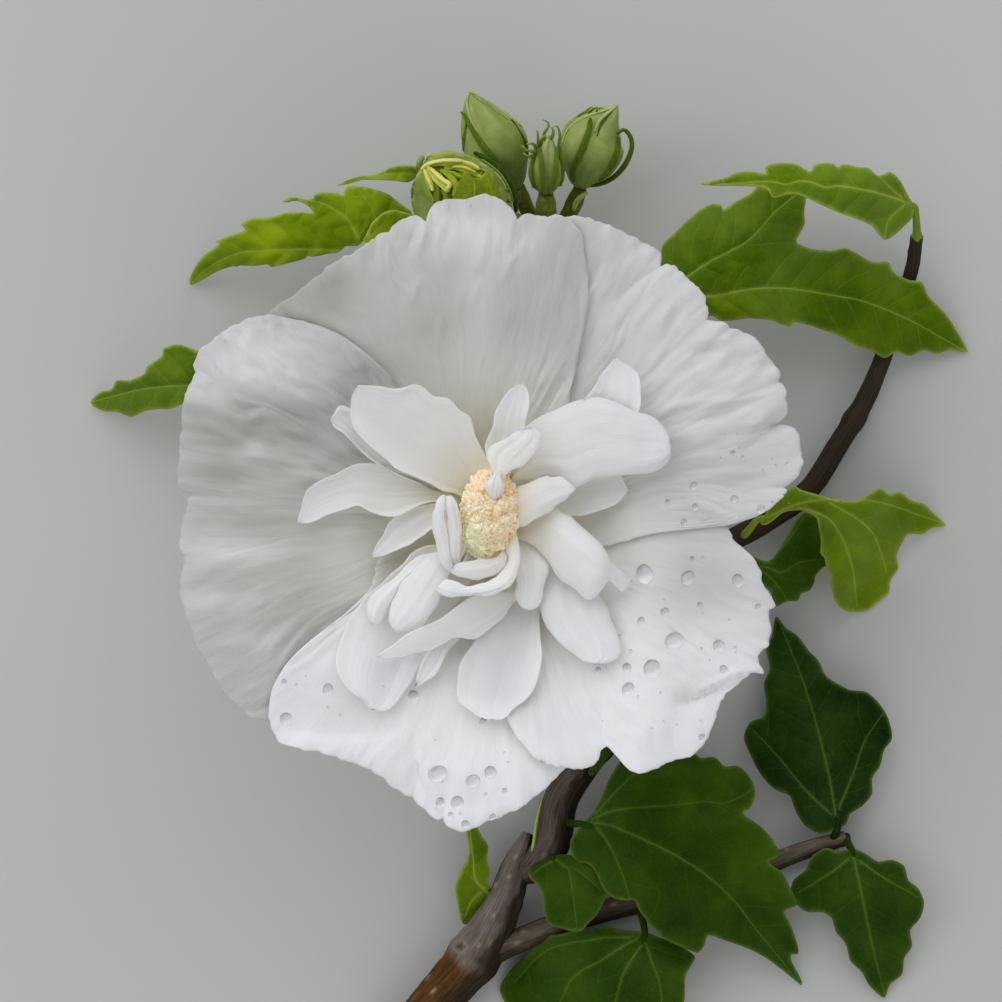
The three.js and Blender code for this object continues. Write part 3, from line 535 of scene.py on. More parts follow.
def leaf_material(name, hue):
    """hue 0 dark green .. 1 bright yellow green; the dark end is partly the leaves' own colour and partly painted shade
    for leaves that lie in shadow
    """
    m = Mat(name, 0.5, Specular_IOR_Level=0.045)
    dark = ["#061801", "#1f3c02", "#456202", "#607806"]
    mid = ["#0b2301", "#3a5902", "#637d02", "#82990a"]
    pale = ["#163203", "#5c7606", "#869c08", "#a6b51c"]

    def pick(row):
        x = min(max(hue, 0), 0.999) * 3
        i = int(x)
        f = x - i
        a, b = lin(row[i]), lin(row[i + 1])
        return tuple(a[k] * (1 - f) + b[k] * f for k in range(4))
    vein, tone, under = m.attr("vein"), m.attr("tone"), m.attr("under")
    blotch = m.noise(140, 4, 0.6)
    n = m.node("ShaderNodeValToRGB")
    e = n.color_ramp.elements
    e[0].position, e[0].color = 0.18, pick(dark)
    e[1].position, e[1].color = 0.82, pick(pale)
    x = e.new(0.5)
    x.color = pick(mid)
    m.link(m.math("ADD", m.math("MULTIPLY", tone, 0.70), m.math("MULTIPLY", m.math("SUBTRACT", blotch, 0.15), 0.48)), n.inputs[0])
    # painted sheen: soft bluish patches standing in for reflections of the sky
    painted_sheen = m.ramp(m.noise(52, 3, 0.55), [(0.46, 0.0), (0.72, 1.0)])
    painted_sheen_colour = lin("#74903a") if hue > 0.3 else lin("#3c5c1c")
    w = m.node("ShaderNodeMix", data_type="RGBA", blend_type="MIX")
    m.link(m.math("MULTIPLY", painted_sheen, 0.38), w.inputs[0])
    m.link(n.outputs[0], w.inputs[6])
    w.inputs[7].default_value = painted_sheen_colour
    net = m.voronoi(620, "DISTANCE_TO_EDGE")
    netline = m.math("SUBTRACT", 1.0, m.math("MULTIPLY", net, 9.0), True)
    light = "#a9bd4d" if hue > 0.3 else "#7f9d3e"
    c = m.mix(m.math("MULTIPLY", netline, 0.035 if hue > 0.3 else 0.022), w.outputs[2], light)
    side = m.attr("side")             # side-vein coordinate, one vein per unit
    tri = m.math("ABSOLUTE", m.math("SUBTRACT", m.math("FRACT", side), 0.5))
    line = m.math("SUBTRACT", 1.0, m.math("MULTIPLY", m.math("SUBTRACT", 0.5, tri), 24.0), True)
    line = m.math("MULTIPLY", line, m.attr("sidew"))
    c = m.mix(m.math("MULTIPLY", line, 0.15 if hue > 0.3 else 0.09), c, light)
    c = m.mix(m.math("MULTIPLY", vein, 0.72 if hue > 0.3 else 0.42), c, light)
    c = m.mix(m.math("MULTIPLY", m.attr("edge"), 0.55 if hue > 0.3 else 0.40), c, "#b3c25a" if hue > 0.3 else "#86a048")
    c = m.mix(m.math("MULTIPLY", under, 0.40), c, "#8ea765")
    m.color(c)
    h = m.math("ADD", m.math("MULTIPLY", netline, -0.35), m.math("MULTIPLY", line, -0.7))
    h = m.math("ADD", h, m.math("MULTIPLY", m.noise(1500, 2, 0.6), 0.4))
    m.bump(h, 0.5, 0.00013)
    m.rough(m.ramp(m.noise(420, 3, 0.6), [(0.3, 0.42), (0.7, 0.6)]))
    soft(m, 0.10, (0.5, 1.0, 0.2), 0.0008)
    return m.m


def green_material(name, stops, bumpy=0.5, scale=1800, rough=0.6):
    """felted green of buds, stalks and bracts; tone picks along the stops"""
    m = Mat(name, rough, Specular_IOR_Level=0.07, Sheen_Weight=0.05, Sheen_Roughness=0.45)
    n = m.noise(700, 3, 0.6)
    t = m.math("ADD", m.attr("tone"), m.math("MULTIPLY", m.math("SUBTRACT", n, 0.5), 0.22))
    c = m.ramp(t, stops)
    felt = m.noise(scale, 3, 0.7)
    c = m.mix(m.math("MULTIPLY", m.math("SUBTRACT", felt, 0.50, True), 0.60), c, "#bcc58c")
    m.color(c)
    m.bump(m.math("ADD", m.math("MULTIPLY", felt, 0.7), m.math("MULTIPLY", n, 0.5)), bumpy, 0.0002)
    soft(m, 0.2, (0.6, 1.0, 0.3), 0.0008)
    return m.m


def bark_material():
    m = Mat("bark", 0.72, Specular_IOR_Level=0.14)
    tone, spot, cut = m.attr("tone"), m.attr("spot"), m.attr("cut")
    grain = m.noise(1.0, 5, 0.65, m.vec(m.math("MULTIPLY", m.attr("around"), 3.2), m.math("MULTIPLY", m.attr("along"), 0.16), 2.0), 0.5)
    fleck = m.noise(900, 3, 0.6)
    young = m.ramp(grain, [(0.25, "#4a403d"), (0.5, "#71665f"), (0.75, "#958a86")])
    old = m.ramp(grain, [(0.25, "#2a1804"), (0.5, "#533406"), (0.75, "#734c10")])
    c = m.mix(tone, old, young)
    c = m.mix(m.math("MULTIPLY", m.attr("green"), 0.85), c, m.ramp(fleck, [(0.3, "#57652f"), (0.7, "#7f8c46")]))
    c = m.mix(spot, c, "#b9a28c")
    c = m.mix(m.attr("dark"), c, "#2b1d19")
    # painted shade: the shaded number mixes the bark towards a dark colour
    c = m.mix(m.attr("shaded"), c, m.ramp(grain, [(0.25, "#191209"), (0.5, "#2b2216"), (0.75, "#433828")]))
    wood = m.ramp(m.math("FRACT", m.math("MULTIPLY", cut, 5.0)), [(0.0, "#b79a6b"), (0.55, "#e0cb9c"), (1.0, "#d2b783")])
    isc = m.math("GREATER_THAN", cut, 0.5)
    c = m.mix(isc, c, m.mix(m.math("MULTIPLY", tone, 0.85), wood, "#6f655c"))
    m.color(c)
    m.bump(m.math("ADD", m.math("MULTIPLY", grain, 0.5), m.math("MULTIPLY", fleck, 0.6)), 0.6, 0.00028)
    return m.m


def floor_material():
    m = Mat("floor_paper", 0.9, Specular_IOR_Level=0.1)
    m.color(m.ramp(m.noise(6, 2, 0.5), [(0.3, "#bcbdba"), (0.7, "#c0c1be")]))
    return m.m

# ------------------------------------------------------------------ bloom: outer petals
PETAL_BASE = 3.5


def bowl(r):
    return 26 + 29.69 * (1 - np.exp(-(r - PETAL_BASE) / 18))


def rim_wave(r, phi):
    return np.clip(r / 55, 0, 1.1) ** 3 * (0.7 * np.sin(5 * phi + 0.6) + 0.5 * np.sin(9 * phi + 2.1))


def soft_line(tab, a):
    """smooth interpolation through a table of [angle, value] without overshoot"""
    t = np.array(tab, float)
    x, y = t[:, 0], t[:, 1]
    h = np.diff(x)
    d = np.diff(y) / h
    m = np.zeros(len(x))
    for i in range(1, len(x) - 1):
        if d[i - 1] * d[i] > 0:
            w1, w2 = 2 * h[i] + h[i - 1], h[i] + 2 * h[i - 1]
            m[i] = (w1 + w2) / (w1 / d[i - 1] + w2 / d[i])
    m[0], m[-1] = d[0], d[-1]
    a = np.clip(a, x[0], x[-1])
    i = np.clip(np.searchsorted(x, a) - 1, 0, len(h) - 1)
    s = (a - x[i]) / h[i]
    return (1 + 2 * s) * (1 - s) ** 2 * y[i] + s * (1 - s) ** 2 * h[i] * m[i] + s * s * (3 - 2 * s) * y[i + 1] + s * s * (s - 1) * h[i] * m[i + 1]


def petal_mesh(bits, spec, seed):
    """rim and notch angles in the tables run clockwise from the petal's centre line"""
    na, nr = ((240, 72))
    a = np.linspace(-56, 56, na)
    rim = [(-t, x) for t, x in spec["rim"][::-1]]
    notches = [(-t, x, w) for t, x, w in spec["notch"]]
    # crowd the columns towards the notches
    w = np.ones(na)
    for at, _, wd in notches:
        w += 2.2 * np.exp(-((a - at) / (wd * 2.2)) ** 2)
    cw = np.cumsum(w)
    a = np.interp(np.linspace(cw[0], cw[-1], na), cw, a)
    R = soft_line(rim, a)
    R = R + 1.2 * fbm(a * 0.55, 0.0, seed=seed, octaves=2) + 0.5 * vnoise(a * 2.1, 3.0, seed=seed)
    # small teeth: a nick wherever a wandering line crosses nought
    nick = np.exp(-np.abs(vnoise(a * 0.62, 7.0, seed=seed + 31)) / 0.10) + 0.6 * np.exp(-np.abs(vnoise(a * 1.3, 9.0, seed=seed + 32)) / 0.16)
    R = R + 0.35 * spec.get("teeth", 2.0) * vnoise(a * 1.05, 11.0, seed=seed + 34)
    R = R - spec.get("teeth", 2.0) * nick * np.clip(0.55 + 0.9 * vnoise(a * 0.11, 2.0, seed=seed + 33), 0.1, 1.3)
    notch_fold = np.zeros(na)
    for at, depth, wd in notches:
        g = np.exp(-(np.abs(a - at) / (wd * 0.75)) ** 1.3)
        R = R - depth * g
        notch_fold += np.minimum(1.0, depth / 12) * np.exp(-((a - at) / (wd * 1.5)) ** 2)
    R = R * float(kz(53.6))
    q = np.linspace(0, 1, nr) ** 0.92
    q[-3:] = [1 - 0.014, 1 - 0.005, 1]
    rho = np.repeat(q[None], na, 0)                     # (na, nr)
    r = PETAL_BASE + (R[:, None] - PETAL_BASE) * rho
    aa = np.repeat(a[:, None], nr, 1)
    phi = np.radians(spec["phi"] + aa)
    x, y = AXIS[0] + r * np.cos(phi), AXIS[1] + r * np.sin(phi)
    ro = np.clip(r / 55, 0, 1.15)
    gap = 1.35 + 0.6 * ro
    z = bowl(r) - gap * aa / 72 + rim_wave(r, phi)
    # broad rolls, the same for neighbours so that they keep their distance
    z = z + 0.85 * ro ** 2 * fbm(x / 13, y / 13, seed=5, octaves=2)
    # crinkles that run with the veins and branch towards the rim, stronger in patches
    dens = spec.get("crinkle", 1.0) * np.clip(0.8 + 0.8 * fbm(aa * 0.045, r / 17, seed=seed + 21, octaves=2), 0.25, 1.7)
    for (u0, v0), (ru, rv), f0 in spec.get("calm", []):
        kk = kz(bowl(r))
        dd = ((501 + x / kk - u0) / ru) ** 2 + ((501 - y / kk - v0) / rv) ** 2
        dens = dens * (1 - (1 - f0) * np.exp(-dd))
    arc = aa + 2.8 * fbm(aa * 0.06, r / 12, seed=seed + 3, octaves=2)
    c1 = fbm(arc * 0.15, r / 24, seed=seed + 1, octaves=2)
    c2 = fbm(arc * 0.36, r / 9.5, seed=seed + 2, octaves=2)
    c3 = fbm(arc * 0.85, r / 5.0, seed=seed + 7, octaves=2)
    c4 = 0.5 - np.abs(vnoise(arc * 0.30, r / 8.0, seed=seed + 8))
    z = z + dens * (0.42 * c1 * ro ** 1.2 + 0.30 * c2 * np.clip(ro * 1.25, 0, 1) ** 1.4 + 0.13 * c3 * np.clip(ro * 1.2 - 0.1, 0, 1) + 0.22 * c4 * np.clip(ro * 1.3 - 0.2, 0, 1))
    # tissue puffed between the veins
    z = z + dens * 0.10 * fbm(x / 1.9, y / 1.9, seed=seed + 9, octaves=2) * np.clip(ro * 1.4 - 0.3, 0, 1)
    # edge: a fine ruffle, and a slight turn down at the very rim
    edge = np.exp(-(1 - rho) * (R[:, None]) / 3.2)
    z = z + edge * (0.42 * vnoise(aa * 0.33, 1.0, seed=seed + 11) + 0.22 * vnoise(aa * 0.9, 1.0, seed=seed + 12))
    z = z - 0.30 * np.exp(-(1 - rho) * R[:, None] / 0.7)
    z = z - 0.75 * notch_fold[:, None] * np.exp(-(1 - rho) * R[:, None] / 6.5)
    # folds and bulges drawn on this petal
    k = kz(bowl(r))
    uv = np.stack([501 + x / k, 501 - y / k], -1).reshape(-1, 2)
    for kind, line, amp, wid in spec.get("folds", []):
        if kind == "bump":
            (u0, v0), (ru, rv) = line
            d2 = ((uv[:, 0] - u0) / ru) ** 2 + ((uv[:, 1] - v0) / rv) ** 2
            z = z + (amp * np.exp(-d2)).reshape(na, nr)
            continue
        ln = catmull(line, 40)
        d, sd, al = near_line(uv, ln)
        d, sd = d * UNIT, sd * UNIT
        L = length(ln)
        fade = np.clip(np.sin(math.pi * np.clip(al / L, 0.001, 0.999)), 0, 1) ** 0.6
        if kind == "ridge":
            h = amp * np.exp(-(d / wid) ** 2)
        elif kind == "crease":
            h = amp * np.exp(-d / wid)
        else:                                            # one side higher, dying away over 10 mm
            h = amp * np.tanh(sd / wid) * np.exp(-(d / 10.0) ** 2)
        z = z + (h * fade).reshape(na, nr)
    g = np.stack([x, y, z], -1)
    thick = 0.34 - 0.16 * rho - 0.10 * np.exp(-(1 - rho) * R[:, None] / 0.7)
    # painted shade: a grey set per petal plus blobs where it is darker (negative blobs paint light), faded out towards
    # the throat
    grey = np.full((na, nr), float(spec.get("grey", 0.0)))
    for (u0, v0), (ru, rv), amt in spec.get("shade", []):
        d2 = ((uv[:, 0] - u0) / ru) ** 2 + ((uv[:, 1] - v0) / rv) ** 2
        grey = grey + (amt * np.exp(-d2)).reshape(na, nr)
    grey = grey * (0.02 + 0.98 * smooth01((r - 15.5) / 21))
    slab(bits, g, thick, reach=np.clip((r - 3.5) / 48, 0, 1), fan=aa + spec["phi"] * 3.1, grey=np.clip(grey, 0, 1))


# grey and the shade blobs are painted shade on petals that face away from the light; negative blobs paint light
PETALS = {
    "petal_top": dict(phi=108, seed=21, crinkle=1.75, grey=0.74,
        shade=[((470, 232), (70, 28), -0.34), ((300, 292), (60, 40), 0.40), ((480, 300), (16, 50), -0.12), ((430, 330), (26, 40), 0.12)],
        rim=[(-56, 150), (-50, 200), (-43, 255), (-36, 292), (-28.8, 300), (-21, 295), (-12.7, 298), (-7, 300), (1, 309), (5, 313), (9.5, 321), (13, 320), (17.3, 323), (20.5, 318), (24, 306), (28, 306), (32.3, 310), (35.5, 303), (39, 276), (42.8, 243), (46.5, 195), (51, 156), (56, 128)],
        notch=[(6.4, 14, 1.3), (23.9, 7, 0.9), (-1.0, 4, 1.2)],
        calm=[((560, 330), (60, 60), 0.45), ((330, 300), (45, 40), 0.6)], teeth=1.7,
        folds=[("ridge", [(486, 222), (484, 240), (479, 262), (476, 276)], 0.55, 0.85),
               ("ridge", [(501, 222), (500, 236), (497, 252)], 0.40, 0.7),
               ("ridge", [(522, 246), (514, 258), (506, 272), (501, 284)], 0.50, 0.8),
               ("ridge", [(479, 282), (475, 294), (472, 308)], 0.42, 0.7),
               ("ridge", [(462, 286), (459, 304), (456, 324)], 0.36, 0.8),
               ("ridge", [(443, 316), (439, 332), (437, 352)], 0.36, 0.75),
               ("ridge", [(421, 276), (415, 290), (411, 308)], 0.45, 0.8),
               ("ridge", [(388, 232), (388, 252), (390, 274)], 0.42, 0.8),
               ("ridge", [(512, 302), (508, 314), (506, 326)], 0.30, 0.8),
               ("bump", ((414, 254), (20, 26)), -0.9, 0),
               ("bump", ((523, 232), (11, 13)), -0.8, 0),
               ("ridge", [(455, 215), (452, 240), (449, 262)], 0.28, 1.0),
               ("crease", [(400, 290), (398, 318), (408, 345)], -0.30, 1.1),
               ("ridge", [(560, 270), (552, 305), (545, 340)], 0.25, 1.6)]),
    "petal_right": dict(phi=36, seed=22, crinkle=1.25, grey=0.52,
        shade=[((730, 470), (70, 50), 0.16), ((600, 260), (30, 30), 0.12)],
        rim=[(-56, 150), (-50, 205), (-44, 276), (-38, 315), (-32.8, 317), (-25, 318), (-20.8, 320), (-15.9, 313), (-11, 313), (-5.5, 303), (-0.6, 315), (3, 323), (9.5, 327), (14, 322), (18, 320), (22, 322), (26.5, 320), (29.7, 310), (32.5, 294), (35.4, 273), (37.9, 236), (39.0, 205), (40.4, 178), (44, 150), (49, 126), (56, 110)],
        notch=[(-19.4, 13, 1.0), (-6.0, 7, 1.3), (18.1, 15, 1.0), (30.1, 9, 1.0), (10.8, 5, 0.7)],
        teeth=3.6, calm=[((640, 500), (45, 40), 0.45)],
        folds=[("crease", [(780, 421), (768, 432), (755, 443), (738, 452)], -0.95, 1.3),
               ("ridge", [(771, 414), (756, 424), (742, 432)], 0.60, 1.0),
               ("bump", ((776, 424), (9, 7)), -1.1, 0),
               ("bump", ((707, 350), (14, 7)), -0.7, 0),
               ("ridge", [(700, 344), (716, 340), (734, 338)], 0.35, 0.8),
               ("ridge", [(652, 417), (672, 408), (690, 403.5), (716, 401), (742, 402)], 0.70, 0.85),
               ("crease", [(672, 424), (700, 420), (736, 415)], -0.45, 1.1),
               ("ridge", [(684, 442), (704, 440), (727, 439)], 0.35, 0.8),
               ("ridge", [(684, 458), (702, 456), (724, 455)], 0.32, 0.8),
               ("ridge", [(696, 476), (724, 474), (756, 473)], 0.38, 0.9),
               ("crease", [(661, 264), (646, 274), (629, 288), (612, 306)], -0.95, 1.1),
               ("ridge", [(657, 276), (640, 292), (622, 312), (606, 336)], 0.50, 1.0),
               ("ridge", [(672, 300), (664, 320), (656, 342)], 0.50, 0.8),
               ("crease", [(684, 306), (672, 324), (664, 342)], -0.50, 0.8),
               ("crease", [(716, 340), (704, 350), (690, 356)], -0.50, 1.0),
               ("crease", [(756, 350), (744, 360), (733, 372)], -0.45, 0.9),
               ("ridge", [(740, 366), (724, 378), (706, 386)], 0.40, 0.9),
               ("ridge", [(620, 256), (604, 282), (592, 312)], 0.35, 1.2)]),
    "petal_lower_right": dict(phi=-36, seed=23, crinkle=0.95, grey=0.10,
        shade=[((705, 575), (90, 64), 0.62), ((690, 700), (34, 16), 0.25), ((668, 748), (20, 20), 0.22), ((600, 700), (50, 60), -0.1)],
        rim=[(-56, 140), (-50, 175), (-44, 208), (-38, 228), (-34, 239), (-31.4, 248), (-27.1, 270.5), (-25.2, 278), (-22.3, 284), (-21.1, 292), (-19.1, 301.5), (-17.5, 299), (-15.7, 303), (-12.2, 309.5), (-9.9, 305.5), (-7.9, 309), (-6.7, 318), (-6.0, 309), (-5.2, 305), (-3.5, 303), (-0.2, 299), (3.9, 301), (6.4, 308), (9.5, 313), (13.3, 313), (16.3, 307), (20.7, 300), (22.4, 298), (24.6, 288), (25.5, 270), (26.2, 260), (27.6, 258.5), (28.6, 263), (29.6, 267), (31.4, 270), (35.7, 265), (40.1, 254), (43.7, 240), (47, 216), (50.5, 180), (56, 140)],
        notch=[(26.6, 0, 1.7), (-6.5, 0, 1.0), (-18, 3, 0.6)],
        teeth=2.3, calm=[((560, 720), (60, 40), 0.6)],
        folds=[("crease", [(746, 676), (728, 684), (708, 694), (684, 704), (672, 704)], -2.1, 1.7),
               ("ridge", [(766, 670), (742, 673), (722, 681), (704, 691), (688, 701)], 1.0, 0.8),
               ("bump", ((686, 700), (12, 8)), -0.8, 0),
               ("ridge", [(646, 716), (645, 736), (648, 756)], 0.35, 0.8),
               ("crease", [(670, 718), (672, 738), (676, 756)], -0.55, 1.2),
               ("ridge", [(602, 636), (640, 652), (676, 668)], 0.22, 1.2),
               ("bump", ((716, 606), (30, 18)), -0.5, 0),
               ("ridge", [(640, 722), (638, 738), (634, 756)], 0.28, 1.1),
               ("ridge", [(656, 716), (658, 734), (660, 752)], 0.25, 1.1),
               ("crease", [(600, 700), (600, 724), (604, 744)], -0.40, 1.5),
               ("ridge", [(700, 620), (724, 632), (748, 640)], 0.25, 1.4)]),
    "petal_lower_left": dict(phi=-108, seed=24, crinkle=0.70, grey=0.05,
        shade=[((320, 700), (70, 50), 0.14)],
        rim=[(-56, 150), (-50, 195), (-44, 232), (-39, 252), (-35, 263), (-31.3, 274), (-24.5, 292), (-16.7, 308), (-14, 314), (-10.6, 312), (-7, 302), (-2.7, 292), (2, 284), (6, 278), (10, 279), (15.5, 284), (21, 296), (24.9, 306), (28, 299), (31, 288), (33, 277), (34.5, 266), (36, 247), (37, 224), (38, 172), (41, 138), (50, 120), (56, 110)],
        notch=[(-9.6, 7, 0.8), (-3, 3, 0.8), (37, 0, 1.5)],
        teeth=0.9,
        folds=[("step", [(272, 742), (300, 741), (330, 743), (357, 741), (384, 738), (410, 735)], 1.0, 1.0),
               ("ridge", [(276, 735), (316, 739), (357, 740), (406, 735)], 0.65, 0.8),
               ("crease", [(412, 732), (415, 750), (417, 766), (424, 790), (436, 822)], -1.1, 1.0),
               ("ridge", [(421, 748), (422, 764), (432, 792), (444, 818)], 0.55, 0.9),
               ("bump", ((470, 772), (38, 26)), 1.1, 0),
               ("bump", ((340, 700), (40, 22)), 0.5, 0),
               ("ridge", [(300, 690), (330, 700), (364, 716)], 0.25, 1.3)]),
    "petal_left": dict(phi=180, seed=25, crinkle=2.5, grey=0.82,
        shade=[((262, 356), (75, 40), -0.46), ((240, 425), (60, 20), 0.18), ((225, 474), (26, 14), 0.22), ((320, 430), (50, 25), 0.12), ((345, 600), (80, 60), 0.08), ((232, 550), (50, 12), -0.34), ((212, 600), (36, 9), -0.22), ((255, 640), (44, 10), -0.16), ((250, 520), (60, 8), 0.12), ((205, 396), (20, 10), -0.2), ((252, 450), (16, 8), -0.25), ((215, 640), (50, 30), 0.05)],
        rim=[(-56, 150), (-51, 205), (-47, 262), (-43, 298), (-40, 309), (-34, 315), (-26.7, 316), (-19, 317), (-13, 315), (-7.9, 307), (-4.5, 309), (2.5, 301), (6.4, 311), (12.5, 314), (19, 321), (24.1, 325), (29.5, 330), (34, 325), (38, 316), (42.8, 299), (46.6, 272), (50.1, 245), (53, 215), (56, 166)],
        notch=[(4.6, 8, 1.0), (-7, 3, 0.8), (26.6, 3, 0.7)],
        teeth=1.6, calm=[((300, 350), (60, 40), 0.35)],
        folds=[("ridge", [(288, 358), (300, 380), (314, 399)], 0.55, 0.9),
               ("ridge", [(190, 386), (240, 382), (286, 390), (327, 411)], 0.9, 3.0),
               ("ridge", [(278, 386), (302, 395), (327, 410)], 0.55, 0.8),
               ("crease", [(240, 404), (272, 414), (300, 424)], -0.45, 1.1),
               ("bump", ((258, 451), (13, 9)), 0.65, 0),
               ("ridge", [(229, 460), (242, 465), (256, 471)], 0.35, 0.6),
               ("crease", [(268, 474), (284, 478), (298, 481)], -0.40, 0.9),
               ("ridge", [(205, 500), (240, 505), (285, 508)], 0.35, 1.0),
               ("bump", ((198, 350), (12, 14)), 0.6, 0),
               ("ridge", [(196, 426), (230, 430), (264, 436)], 0.38, 0.8),
               ("ridge", [(262, 425), (288, 431), (315, 437)], 0.60, 0.8),
               ("crease", [(200, 440), (236, 448), (268, 456)], -0.36, 0.9),
               ("ridge", [(232, 466), (250, 468), (270, 470)], 0.34, 0.8),
               ("ridge", [(190, 486), (224, 488), (262, 492)], 0.28, 1.0),
               ("crease", [(196, 560), (250, 548), (300, 535)], -0.40, 1.4),
               ("ridge", [(206, 586), (250, 570), (310, 552)], 0.35, 1.2),
               ("ridge", [(230, 636), (275, 606), (320, 576)], 0.40, 1.2),
               ("crease", [(250, 670), (290, 636), (330, 604)], -0.35, 1.3)]),
}

petal_mat = petal_material()
petals = []
for name, spec in PETALS.items():
    b = Bits()
    petal_mesh(b, spec, spec["seed"])
    petals.append(b.object(name + "_soft", petal_mat, "petal", [name]))
PETAL_TREE = tree_of(petals)

